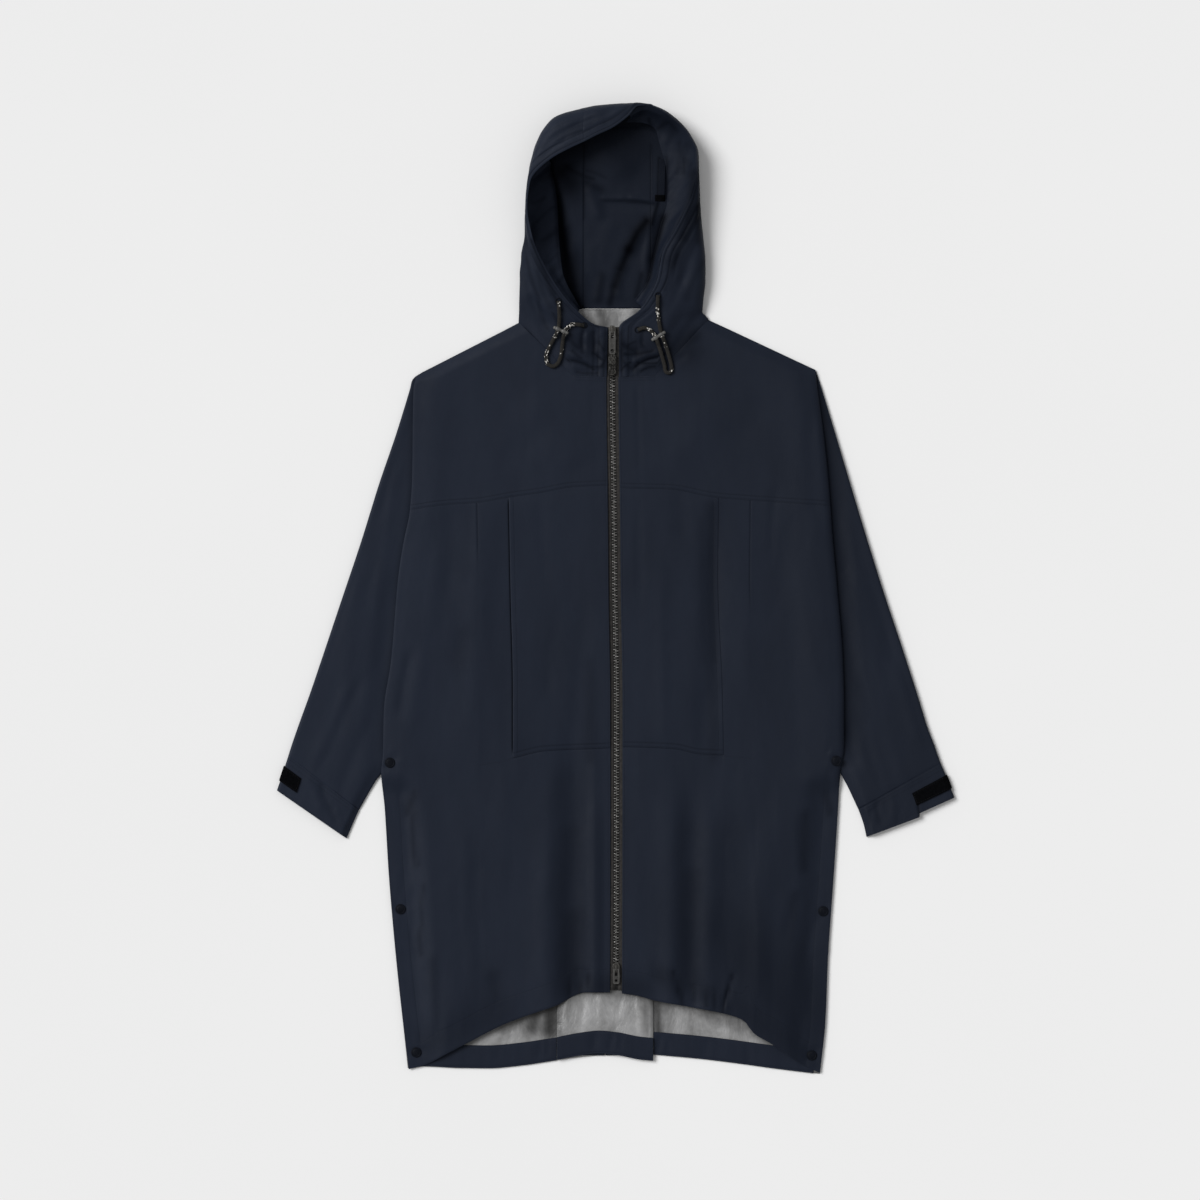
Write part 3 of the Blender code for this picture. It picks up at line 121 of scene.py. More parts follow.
# x, y of the shoulder line and neck seam of the front, and of the shoulder line and nape of the back
NECK_LEFT, NECK_RIGHT = (-130.3, 359.8), (124.9, 363.8)  # where the shoulder lines end at the neck
CHEST_LEFT, CHEST_RIGHT = -57.0, 55.0  # where the neck seam turns level across the chest
TOP_FRONT = table("x y", [(-276, 281), (-262, 292.3), (-156, 346.3), NECK_LEFT, (CHEST_LEFT, 288.5), (-11.5, 286.5), (4.7, 286.5), (CHEST_RIGHT, 288.5), NECK_RIGHT, (155, 350), (270.2, 296), (274, 294)])
TOP_BACK = table("x y", [(-262, 292.3), (-156, 346.3), (-130.3, 359.6), (-122, 362.6), (-42.7, 378.9), (47.7, 378.9), (114, 366.8), (124.9, 363.6), (155, 350), (262, 299.8)])
# y, x of the back's side: the snapped side opening, then the edge that the sleeve's under layer meets, straight between the sleeve's rows
BACK_SIDE_LEFT = table("y x", [(-645, -280.5), (-574, -288), (-489, -297), (-384, -306), (-295, -311.5), (-252, -314.5), (-236, -302), (-210, -292), (-148, -286.8), (-85, -279), (-12, -270.2), (63, -262), (112, -256)])
BACK_SIDE_RIGHT = table("y x", [(-652, 275.5), (-574, 283.5), (-489, 287), (-384, 294.5), (-295, 300), (-252, 301.5), (-236, 292.8), (-212, 284), (-149, 284), (-80, 279.4), (-8, 274.4), (62, 269), (112, 266)])
YOKE_SIDE_LEFT = table("y x", [(112, -256), (150, -251.4), (213, -250.6), (300, -250)])
YOKE_SIDE_RIGHT = table("y x", [(112, 265.9), (152, 263.2), (210, 256.4), (279, 249.6), (300, 249.6)])
# x, y of the back hem outside the pleat and of the pleat's own hem, and how tall the facing inside it is
BACK_HEM = table("x y", [(-282, -646), (-258, -643.5), (-213, -645.5), (-171, -646), (-125, -642), (-77, -635), (-14, -629), (51, -628), (79, -630), (121, -634), (154, -638), (220, -647), (277, -654)])
PLEAT_HEM = table("x y", [(-79, -634.5), (-47, -628.5), (-22, -625.8), (2, -628), (33, -634), (51, -635.7)])
BAND_TALL = 31.0
PLEAT_LEFT, PLEAT_MIDDLE, PLEAT_RIGHT = -79.0, -14.0, 51.0  # the pleat's two edges and the line where its folds meet
BACK_YOKE_SEAM = 112.0

# ---------------------------------------------------------------- sleeves: one row for each section, from shoulder to cuff
# outer fold x y, inner edge x y, height of the top layer, height of its inner end, width of that end under the front, width of the rise from it
SLEEVE_COLUMNS = "ox oy ix iy top end under rise"
SLEEVE_LEFT = table(SLEEVE_COLUMNS, [
    (-276.6, 272, -250.6, 274, 4.0, 4.0, 4, 4), (-295.5, 210, -251.2, 213, 5.4, 5.0, 26, 10), (-317.9, 144.5, -252, 150, 6.6, 5.6, 27, 18),
    (-343, 64, -262.6, 63, 7.2, 6.1, 27, 20), (-368.5, -12, -270.8, -12, 7.2, 6.1, 27, 20), (-393, -85, -279.6, -85, 7.2, 6.1, 27, 20),
    (-412, -141, -287.4, -148, 7.2, 6.1, 27, 20), (-425, -177, -292.6, -210, 7.2, 6.1, 27, 20), (-433.5, -201, -302.6, -236, 7.2, 6.1, 18, 18),
    (-437.5, -213, -319, -252, 7.2, 2.6, 0, 14), (-441.2, -225, -346.5, -298, 7.2, 2.1, 0, 10)])
SLEEVE_RIGHT = table(SLEEVE_COLUMNS, [
    (277, 274, 250.2, 275, 4.0, 4.0, 4, 4), (297, 208, 257, 210, 5.4, 5.0, 24, 10), (314, 151, 263.8, 152, 6.6, 5.6, 27, 18),
    (341, 62, 269.6, 62, 7.2, 6.1, 27, 20), (363, -8, 275, -8, 7.2, 6.1, 27, 20), (387, -80, 280, -80, 7.2, 6.1, 27, 20),
    (408, -145, 284.6, -149, 7.2, 6.1, 27, 20), (421, -187, 284.6, -212, 7.2, 6.1, 27, 20), (431, -213, 293.4, -236, 7.2, 6.1, 18, 18),
    (435, -225, 306, -252, 7.2, 2.6, 0, 14), (438.5, -234.5, 328, -297, 7.2, 2.1, 0, 10)])
CUFF_LEFT = table(SLEEVE_COLUMNS, [
    (-441.5, -225.9, -347, -298.8, 7.3, 2.1, 0, 10), (-449, -249, -354.5, -316, 7.4, 2.1, 0, 10), (-456.4, -271.5, -362.9, -336, 7.4, 2.1, 0, 10)])
CUFF_RIGHT = table(SLEEVE_COLUMNS, [
    (438.9, -235.4, 330, -297.9, 7.3, 2.1, 0, 10), (448.5, -258, 335, -317, 7.4, 2.1, 0, 10), (457, -281, 338.9, -334, 7.4, 2.1, 0, 10)])

# ---------------------------------------------------------------- hood: one row for each rib, from the zip's top round the face opening
# face edge x y z, crest x y z, widest point x y z, foot x y on the floor, y of the rib's end on the seam to the middle panel
RIB_COLUMNS = "rx ry rz cx cy cz sx sy sz fx fy my"
HOOD_SEAM_LEFT, HOOD_SEAM_RIGHT = -42.7, 47.7
HOOD_LEFT = table(RIB_COLUMNS, [
    (-11.5, 286.8, 9.2, CHEST_LEFT, 288.8, 9.2, -130.3, 360.1, 2.1, -122, 363, 379.3),
    (-10.8, 320, 10.4, -60, 323, 11.2, -129.6, 371, 6, -118, 373, 388),
    (-10.1, 351.7, 11.4, -63, 353, 15, -129.2, 384, 9, -115, 386, 400),
    (-29, 357.5, 15, -72, 369, 19, -129.1, 398, 11, -113, 400, 412),
    (-62.8, 387, 22, -91, 398, 23.5, -129, 423, 12.5, -111, 426, 434),
    (-91, 428.6, 28, -106, 433, 28, -127.8, 447, 14, -109, 450, 456),
    (-112, 475, 33, -116.5, 476, 31, -122.8, 479, 16.5, -103, 481, 484),
    (-118.8, 515, 34.5, -120, 515, 32, -121.2, 516, 17.5, -100.5, 516, 516),
    (-114.5, 549, 38, -116.4, 552, 37, -117.6, 554, 20, -98, 550, 548),
    (-87, 578.5, 43, -97.5, 591, 42, -106.6, 601, 23, -88, 582, 576),
    (-64, 591.5, 45, -74, 618, 43, -82, 636, 24, -72, 604, 594),
    (-42.9, 601.5, 45, -42.9, 628, 42.5, -42.9, 648, 24, -42.9, 619, 606)])
HOOD_RIGHT = table(RIB_COLUMNS, [
    (47.9, 651.3, 36, 47.9, 652, 33, 47.9, 652.6, 20, 47.9, 622, 608),
    (66, 641, 36, 67, 642, 33, 67.8, 642.6, 20, 60, 615, 598),
    (97, 612, 36, 98.4, 613, 33, 99.6, 613.6, 20, 82, 593, 580),
    (108.4, 588, 36, 109.6, 588, 33, 110.7, 588, 20, 88, 576, 566),
    (108.6, 560, 36, 110.6, 560, 33, 112, 559, 19, 90, 555, 550),
    (103.3, 532.6, 35, 109, 531, 33, 113.6, 528, 18, 92, 530, 528),
    (81.7, 486.7, 33, 102, 478, 31, 117.6, 476, 15, 96, 480, 484),
    (62.8, 451.6, 30, 92, 446, 29, 120.3, 444, 14, 99, 448, 456),
    (56, 417.8, 26, 86, 417, 26, 120.8, 416, 13, 101, 420, 432),
    (33, 377.5, 18, 71, 381, 20, 117.5, 388, 10, 102, 394, 408),
    (4.7, 352.5, 11.4, 60, 349, 14.5, 116.5, 375, 7, 105, 379, 394),
    (4.7, 320, 10.4, 57.5, 322, 11.2, 121, 369, 4.5, 109, 372.5, 386),
    (4.7, 286.8, 9.2, CHEST_RIGHT, 288.8, 9.2, 124.9, 364.1, 2.1, 114, 367.2, 379.3)])
HOOD_MIDDLE = table(RIB_COLUMNS, [
    (-42.5, 601.5, 45, -42.5, 628, 42.5, -42.5, 648, 24, -42.5, 619, 606),
    (-24, 611, 44, -24, 634, 42, -24, 651.4, 24, -24, 622, 606),
    (-4, 620.5, 42, -4, 639, 40, -4, 653.2, 23, -4, 624, 606),
    (16, 635.5, 39, 16, 646, 37, 16, 654, 22, 16, 625, 607),
    (31, 650, 37, 31, 652.6, 35, 31, 654.4, 21, 31, 624, 607),
    (47.5, 651.3, 36, 47.5, 652, 33, 47.5, 652.6, 20, 47.5, 622, 608)])
# the cord casing turned inside the face edge: distance along, outer line x y z, inner line x y z
CASING_COLUMNS = "ox oy oz ix iy iz"
CASING_LEFT = table(CASING_COLUMNS, [
    (-31, 362, 12, -33, 375, 8), (-61, 391, 18, -43, 388, 12), (-88.5, 430, 24, -60, 428, 15), (-109, 476, 29, -71.5, 475, 16),
    (-115.5, 515, 31, -77, 520, 15), (-111.5, 546, 33, -82, 553, 14), (-87, 574, 38, -86, 568, 15)])
CASING_RIGHT = table(CASING_COLUMNS, [
    (60, 639, 31, 52, 622, 16), (93.5, 610, 32, 61, 594, 15), (105.4, 587, 32, 68, 568, 15), (105.6, 560, 32, 70, 545, 15),
    (100, 534, 31, 69, 520, 15), (78.5, 488, 29, 60, 490, 16), (60, 452, 26, 50, 446, 15), (53.5, 419, 22, 42, 414, 12), (33, 383, 14, 25, 390, 8)])

# ---------------------------------------------------------------- largest soft folds of the front layer
# from x y to x y, half width, height (below zero is a trough)
FOLD_COLUMNS = "x0 y0 x1 y1 width height"
FOLDS = table(FOLD_COLUMNS, [
    (-57, -190, -58, -560, 16, -3.4), (-88, -330, -92, -575, 20, 2.2), (-26, -300, -26, -545, 14, 2.0),
    (104, -265, 100, -570, 15, -3.0), (73, -260, 76, -560, 15, 2.0), (128, -300, 124, -575, 15, 2.0),
    (-286, -270, -276, -470, 8, -1.4), (128, 60, 126, -150, 16, -1.6), (-184, 90, -188, -180, 22, 1.4),
    (240, -540, 252, -630, 14, -1.6), (-205, -300, -214, -560, 24, 1.6), (205, -300, 196, -540, 24, 1.6),
    (-120, 260, -60, 180, 26, 1.4), (130, 250, 80, 170, 26, 1.4)])

# ---------------------------------------------------------------- small hard parts: x y
SNAPS = table("x y", [(-304.4, -233.6), (-290.2, -431.3), (-269, -624.5), (297.5, -231), (280.1, -434), (264.5, -628.5)])
EYELETS = table("x y", [(-76.7, 388.5), (-43.5, 352.5), (60.5, 396), (29, 346.5)])
# cord routes from the upper eyelet, through its lock, round the loop and back into the lower eyelet
CORD_LEFT = table("x y", [(-76.7, 388.5), (-76.6, 379), (-76.2, 367), (-76.8, 356), (-78.6, 347.2), (-82.5, 337), (-88, 325), (-91.5, 312), (-87, 301), (-77.5, 298.5), (-70, 306), (-68.2, 318), (-68.8, 331), (-69.4, 342.2), (-66.5, 351), (-57, 356.4), (-43.5, 352.5)])
CORD_RIGHT = table("x y", [(60.5, 396), (60.6, 386), (60.6, 374), (60.8, 361), (61.2, 350), (65.5, 338), (71.5, 324), (77.5, 309), (79.5, 297), (73.5, 288.5), (65.5, 291.5), (62.2, 303), (60, 317), (56.5, 330), (53.2, 340.8), (45.5, 349.5), (36, 352.4), (29, 346.5)])
# the bar lock on each cord: middle x y, direction of its length x y
LOCKS = table("x y dx dy", [(-73.6, 349.2, 1.0, -0.42), (57.4, 344.6, 1.0, 0.62)])
SLIDER_TOP_Y, SLIDER_BOTTOM_Y = 349.5, -510.0


# ---------------------------------------------------------------- reading the tables
def slopes(t, v):
    """Slopes for a smooth curve through the rows that doesn't overshoot them."""
    h = np.diff(t)
    d = np.diff(v) / h
    m = np.zeros(len(t))
    m[0], m[-1] = d[0], d[-1]
    for n in range(1, len(t) - 1):
        if d[n - 1] * d[n] > 0:
            w0, w1 = 2 * h[n] + h[n - 1], h[n] + 2 * h[n - 1]
            m[n] = (w0 + w1) / (w0 / d[n - 1] + w1 / d[n])
    return m


def smooth(t, v, at):
    """v at the places `at`, on a smooth curve through the rows (t, v)."""
    t, v, at = np.asarray(t, float), np.asarray(v, float), np.asarray(at, float)
    m = slopes(t, v)
    n = np.clip(np.searchsorted(t, at) - 1, 0, len(t) - 2)
    h = t[n + 1] - t[n]
    s = np.clip((at - t[n]) / h, -0.5, 1.5)
    a, b = 2 * s**3 - 3 * s**2 + 1, s**3 - 2 * s**2 + s
    c, d = -2 * s**3 + 3 * s**2, s**3 - s**2
    return a * v[n] + b * h * m[n] + c * v[n + 1] + d * h * m[n + 1]


def read(rows, at):
    """A two-column table read at `at`: its second column on a smooth curve over its first."""
    first, second = rows.values()
    return smooth(first, second, at)


def straight(rows, at):
    """A two-column table read at `at`, straight between its rows."""
    first, second = rows.values()
    return np.interp(at, first, second)


def step(v):
    """Smooth step from 0 to 1."""
    v = np.clip(v, 0, 1)
    return v * v * (3 - 2 * v)


def spread(start, end, count):
    return np.linspace(start, end, count)


# ---------------------------------------------------------------- height of the front layer
def shoulder_distance(x, y):
    """Distance inward from the nearer shoulder line."""
    best = np.full(np.shape(x), 1e9)
    for x0, y0, x1, y1 in ((-276, 285, -130.3, 359.8), (124.9, 363.8, 276, 293)):
        dx, dy = x1 - x0, y1 - y0
        t = np.clip(((x - x0) * dx + (y - y0) * dy) / (dx * dx + dy * dy), 0, 1)
        best = np.minimum(best, np.hypot(x - x0 - t * dx, y - y0 - t * dy))
    return best


def fold_height(x, y):
    total = np.zeros(np.shape(x))
    for x0, y0, x1, y1, width, height in zip(*FOLDS.values()):
        dx, dy = x1 - x0, y1 - y0
        t = ((x - x0) * dx + (y - y0) * dy) / (dx * dx + dy * dy)
        across = ((x - x0) * dy - (y - y0) * dx) / math.hypot(dx, dy)
        along = step((t + 0.1) / 0.35) * step((1.25 - t) / 0.3)
        total += height * np.exp(-((across / width) ** 2)) * along
    return total


def calm(x, y):
    """0 close to the zip and under a snap, where the cloth lies even, 1 elsewhere."""
    even = step((np.abs(x - read(ZIP_LINE, np.clip(y, -545, 352))) - 14) / 16)
    for sx, sy in zip(*SNAPS.values()):
        even = even * step((np.hypot(x - sx, y - sy) - 10) / 10)
    return even


def front_z(x, y):
    """Middle surface of the front layer."""
    x, y = np.asarray(x, float), np.asarray(y, float)
    left = x - read(SIDE_LEFT, y)
    right = read(SIDE_RIGHT, y) - x
    inward = np.maximum(np.minimum(left, right), 0)
    over = OVER_SLEEVE_Z - 1.2 * step((y - 190) / 90)
    edge = PLACKET_Z + (over - PLACKET_Z) * step((y + 276) / 26)
    flat = PLACKET_WIDTH * step((-y - 240) / 30)
    side = edge + (LOFT_Z - edge) * step((inward - flat) / SIDE_RAMP)
    rise = np.sin(np.pi / 2 * np.clip(shoulder_distance(x, y) / SHOULDER_RAMP, 0, 1))
    shoulder = SHOULDER_Z + (LOFT_Z - SHOULDER_Z) * rise
    base = np.minimum(side, shoulder)
    return base + fold_height(x, y) * calm(x, y) * step((inward - flat) / SIDE_RAMP) * step(shoulder_distance(x, y) / 60)


def zip_z(y):
    """Height of the fronts' edges along the zip, which rises a little into the collar."""
    return LOFT_Z + 1.2 * step((np.asarray(y, float) - 303) / 30)

def normals_of(grid):
    across = np.gradient(grid, axis=1)
    along = np.gradient(grid, axis=0)
    normal = np.cross(across, along)
    return normal / np.maximum(np.linalg.norm(normal, axis=2, keepdims=True), 1e-9)

def two_way(columns_x, rows_y, us, vs):
    """Plan points on a grid whose columns follow the curves x(y) and whose rows follow the curves y(x)."""
    u, v = np.meshgrid(us, vs)
    y = np.zeros_like(u)
    x = np.zeros_like(u)
    for _ in range(8):
        lines = [line(y) for line in columns_x]
        n = np.clip(np.floor(u).astype(int), 0, len(lines) - 2)
        stack = np.array(lines)
        take = lambda k: np.take_along_axis(stack, k[None], 0)[0]
        x = take(n) + (take(n + 1) - take(n)) * (u - n)
        lines = [line(x) for line in rows_y]
        n = np.clip(np.floor(v).astype(int), 0, len(lines) - 2)
        stack = np.array(lines)
        y = take(n) + (take(n + 1) - take(n)) * (v - n)
    return x, y


def by(rows, offset=0.0):
    return lambda at: read(rows, at) + offset


def by_straight(rows, offset=0.0):
    return lambda at: straight(rows, at) + offset


def fixed(value):
    return lambda at: np.full_like(at, value)


def level(x, y, z):
    return np.stack([x, y, np.broadcast_to(z, x.shape)], axis=2)


# ---------------------------------------------------------------- camera, floor and light
FIELD = 1.62  # metres across the frame, at the floor
LENS, SENSOR = 200.0, 36.0
camera_data = bpy.data.cameras.new("camera")
camera_data.lens, camera_data.sensor_width = LENS, SENSOR
camera = bpy.data.objects.new("camera", camera_data)
camera.location = (-0.0209, -0.0142, FIELD * LENS / SENSOR)
camera_data.clip_start, camera_data.clip_end = 0.05, 60.0
bpy.context.scene.collection.objects.link(camera)
bpy.context.scene.camera = camera
bpy.context.scene.view_settings.view_transform = "Standard"
bpy.context.scene.view_settings.look = "None"


class Finish:
    """A node material that is built up by name."""

    def __init__(self, name):
        self.material = bpy.data.materials.new(name)
        self.material.use_nodes = True
        self.tree = self.material.node_tree
        self.shader = self.tree.nodes["Principled BSDF"]

    def node(self, kind, inputs=(), **settings):
        made = self.tree.nodes.new("ShaderNode" + kind)
        for name, value in settings.items():
            setattr(made, name, value)
        for key, value in dict(inputs).items():
            self.put(made.inputs[key], value)
        return made

    def put(self, socket, value):
        if isinstance(value, bpy.types.NodeSocket):
            self.tree.links.new(value, socket)
        elif isinstance(value, (tuple, list)) and len(value) == 3 and socket.type == "RGBA":
            socket.default_value = (*value, 1)
        else:
            socket.default_value = value

    def maths(self, operation, a, b=0.0, clamp=False):
        return self.node("Math", {0: a, 1: b}, operation=operation, use_clamp=clamp).outputs[0]

    def mix(self, factor, a, b):
        made = self.node("Mix", data_type="RGBA")
        self.put(made.inputs["Factor"], factor)
        self.put(made.inputs["A"], a)
        self.put(made.inputs["B"], b)
        return made.outputs["Result"]

    def place(self, scale=(1, 1, 1), turn=0.0, cloth=False):
        """Coordinates in metres: the cloth's own where it has them, or the garment's."""
        source = self.node("UVMap", uv_map="cloth").outputs[0] if cloth else self.node("TexCoord").outputs["Object"]
        return self.node("Mapping", {"Vector": source, "Scale": scale, "Rotation": (0, 0, turn)}).outputs[0]

    def noise(self, vector, scale, detail=3.0, roughness=0.55, distortion=0.0):
        return self.node("TexNoise", {"Vector": vector, "Scale": scale, "Detail": detail, "Roughness": roughness, "Distortion": distortion}).outputs["Fac"]

    def range(self, value, low, high, to_low, to_high):
        return self.node("MapRange", {"Value": value, "From Min": low, "From Max": high, "To Min": to_low, "To Max": to_high}).outputs[0]

    def bump(self, height, distance, strength=1.0, over=None):
        inputs = {"Height": height, "Distance": distance, "Strength": strength}
        if over is not None:
            inputs["Normal"] = over
        return self.node("Bump", inputs).outputs[0]

    def mark(self, name):
        return self.node("Attribute", attribute_name=name).outputs["Fac"]

    def set(self, **values):
        for name, value in values.items():
            self.put(self.shader.inputs[name.replace("_", " ")], value)
        return self.material


def weave_height(f, pitch):
    """A plain weave: threads of that pitch in metres over and under each other along the cloth."""
    threads = f.place(cloth=True)
    parts = f.node("SeparateXYZ", {0: threads}).outputs
    turn = 2 * math.pi / pitch
    warp = f.maths("SINE", f.maths("MULTIPLY", parts[0], turn))
    weft = f.maths("SINE", f.maths("MULTIPLY", parts[1], turn))
    return f.maths("MULTIPLY", warp, weft)


def navy_cloth(name, dark, light, tone, slub=1.0):
    """Fine coated plain weave: slightly mottled, drier and paler where it wears, with painted shade: darker towards the
    garment's right side, and darker where the shade mark is painted.
    """
    f = Finish(name)
    wide = f.noise(f.place((1, 0.45, 1)), 9.0, 3.0)
    patches = f.noise(f.place((1, 0.35, 1), 0.2), 34.0, 4.0, 0.6)
    threads = f.noise(f.place((1, 0.04, 1), cloth=True), 900.0 * slub, 2.0)
    amount = f.maths("ADD", f.maths("MULTIPLY", wide, 0.5), f.maths("ADD", f.maths("MULTIPLY", patches, 0.32), f.maths("MULTIPLY", threads, 0.18)))
    colour = f.mix(f.range(amount, 0.33, 0.67, 0.0, 1.0), dark, light)
    across = f.node("SeparateXYZ", {0: f.node("TexCoord").outputs["Object"]}).outputs[0]
    # painted shade: the cloth darkens towards the garment's right side (+x) by the amount tone, as if lit from the left
    colour = f.mix(f.range(across, -0.30, 0.30, 0.0, 1.0), colour, f.mix(tone, colour, (0.0, 0.0, 0.0)))
    grain = f.noise(f.place(), 210.0, 3.0)
    worn = f.maths("MULTIPLY", f.mark("wear"), f.range(grain, 0.35, 0.7, 0.25, 1.0), True)
    colour = f.mix(f.maths("MULTIPLY", worn, 0.3), colour, tuple(c * 1.7 + 0.002 for c in light))
    shade = f.maths("MULTIPLY", f.mark("shade"), 0.96, True)
    colour = f.mix(shade, colour, (0.0002, 0.0002, 0.0004))
    crinkle = f.noise(f.place((1, 0.5, 1), 0.1), 75.0, 4.0, 0.6, 0.4)
    normal = f.bump(crinkle, 0.0006, 0.35)
    normal = f.bump(f.noise(f.place((1, 0.7, 1)), 260.0, 3.0), 0.0002, 0.3, normal)
    normal = f.bump(weave_height(f, 0.0006), 0.00006, 0.35, normal)
    rough = f.range(f.noise(f.place(), 60.0, 3.0), 0.3, 0.7, 0.5, 0.6)
    return f.set(Base_Color=colour, Roughness=rough, Normal=normal, Specular_IOR_Level=f.range(shade, 0.0, 1.0, 0.1, 0.0), Sheen_Weight=f.range(shade, 0.0, 1.0, 0.02, 0.0), Sheen_Roughness=0.4, Sheen_Tint=(0.35, 0.42, 0.6))


def silver_cloth(name):
    """The coated inside: grey, satiny, finely crushed."""
    f = Finish(name)
    wide = f.noise(f.place((1, 0.6, 1), 0.3), 26.0, 4.0, 0.6, 0.6)
    fine = f.noise(f.place((1, 1, 1)), 150.0, 3.0)
    colour = f.mix(f.range(wide, 0.32, 0.68, 0.0, 1.0), (0.165, 0.165, 0.165), (0.33, 0.33, 0.334))
    colour = f.mix(f.range(fine, 0.35, 0.7, 0.0, 0.25), colour, (0.38, 0.38, 0.38))
    colour = f.mix(f.maths("MULTIPLY", f.mark("shade"), 0.95, True), colour, (0.004, 0.004, 0.004))
    normal = f.bump(wide, 0.004, 0.6)
    normal = f.bump(fine, 0.0004, 0.4, normal)
    normal = f.bump(weave_height(f, 0.0006), 0.00005, 0.3, normal)
    rough = f.range(fine, 0.3, 0.7, 0.34, 0.46)
    return f.set(Base_Color=colour, Roughness=rough, Normal=normal, Metallic=0.25, Specular_IOR_Level=0.5)


def tape_cloth(name):
    """Zip tape: a firm rib across, brown-grey, darkened where shade is painted on."""
    f = Finish(name)
    rib_wave = f.node("SeparateXYZ", {0: f.place(cloth=True)}).outputs
    rows = f.maths("SINE", f.maths("MULTIPLY", rib_wave[1], 2 * math.pi / 0.0011))
    columns = f.maths("SINE", f.maths("MULTIPLY", rib_wave[0], 2 * math.pi / 0.0009))
    woven = f.maths("ADD", rows, f.maths("MULTIPLY", columns, 0.5))
    tone = f.noise(f.place(), 320.0, 3.0)
    colour = f.mix(f.range(f.maths("ADD", f.maths("MULTIPLY", woven, 0.12), tone), 0.25, 0.8, 0.0, 1.0), (0.012, 0.0115, 0.0118), (0.04, 0.037, 0.035))
    # painted shade: near black where the shade mark is set
    colour = f.mix(f.maths("MULTIPLY", f.mark("shade"), 0.96, True), colour, (0.0005, 0.0005, 0.0005))
    return f.set(Base_Color=colour, Roughness=0.8, Normal=f.bump(woven, 0.00012, 0.6), Specular_IOR_Level=0.25)


def hook_loop(name):
    """The looped face of a hook-and-loop tab: black, dull, crowded with tiny loops."""
    f = Finish(name)
    cells = f.node("TexVoronoi", {"Vector": f.place(), "Scale": 1500.0, "Randomness": 1.0}).outputs["Distance"]
    tufts = f.noise(f.place(), 420.0, 4.0, 0.7)
    colour = f.mix(f.range(tufts, 0.35, 0.75, 0.0, 1.0), (0.0010, 0.0011, 0.0014), (0.0034, 0.0036, 0.0044))
    colour = f.mix(f.maths("MULTIPLY", f.mark("wear"), 0.4), colour, (0.006, 0.006, 0.007))
    normal = f.bump(tufts, 0.0006, 0.8)
    normal = f.bump(cells, 0.0003, 0.6, normal)
    return f.set(Base_Color=colour, Roughness=0.92, Normal=normal, Specular_IOR_Level=0.02)


def cast_metal(name, dark, light, rough_low, rough_high, scale=900.0):
    """Die-cast antique metal: darker in its pores, brighter where it rubs, and darkened where shade is painted on."""
    f = Finish(name)
    pores = f.noise(f.place(), scale, 4.0, 0.65)
    wide = f.noise(f.place(), scale * 0.16, 3.0)
    rub = f.range(f.node("NewGeometry").outputs["Pointiness"], 0.49, 0.56, 0.0, 1.0)
    colour = f.mix(f.range(f.maths("ADD", f.maths("MULTIPLY", pores, 0.6), f.maths("MULTIPLY", wide, 0.4)), 0.34, 0.66, 0.0, 1.0), dark, light)
    colour = f.mix(f.maths("MULTIPLY", rub, 0.55, True), colour, tuple(min(1, c * 2.1) for c in light))
    colour = f.mix(f.maths("MULTIPLY", f.mark("shade"), 0.97, True), colour, (0.003, 0.003, 0.0028))
    return f.set(Base_Color=colour, Roughness=f.range(pores, 0.3, 0.7, rough_low, rough_high), Metallic=0.85, Normal=f.bump(pores, 0.00008, 0.5))


def moulded(name, dark, light, rough=0.5, specular=0.4):
    """Moulded plastic or rubber with a fine grain."""
    f = Finish(name)
    grain = f.noise(f.place(), 1400.0, 3.0)
    wide = f.noise(f.place(), 160.0, 3.0)
    rub = f.range(f.node("NewGeometry").outputs["Pointiness"], 0.5, 0.58, 0.0, 1.0)
    colour = f.mix(f.range(wide, 0.3, 0.7, 0.0, 1.0), dark, light)
    colour = f.mix(f.maths("MULTIPLY", rub, 0.5, True), colour, tuple(c * 1.8 + 0.003 for c in light))
    return f.set(Base_Color=colour, Roughness=f.range(grain, 0.3, 0.7, rough - 0.06, rough + 0.08), Normal=f.bump(grain, 0.00006, 0.5), Specular_IOR_Level=specular)


def knit(name, dark, light):
    """The webbing grip on the zip's tab: coarse uneven loops, brown-grey and black."""
    f = Finish(name)
    cells = f.node("TexVoronoi", {"Vector": f.place((1, 0.6, 1)), "Scale": 620.0, "Randomness": 0.7}).outputs["Distance"]
    tufts = f.noise(f.place((1, 0.8, 1)), 330.0, 3.0, 0.65)
    amount = f.maths("ADD", f.maths("MULTIPLY", cells, -0.6), tufts)
    colour = f.mix(f.range(amount, 0.05, 0.45, 0.0, 1.0), dark, light)
    normal = f.bump(amount, 0.0007, 0.8)
    return f.set(Base_Color=colour, Roughness=0.8, Normal=normal, Specular_IOR_Level=0.1)


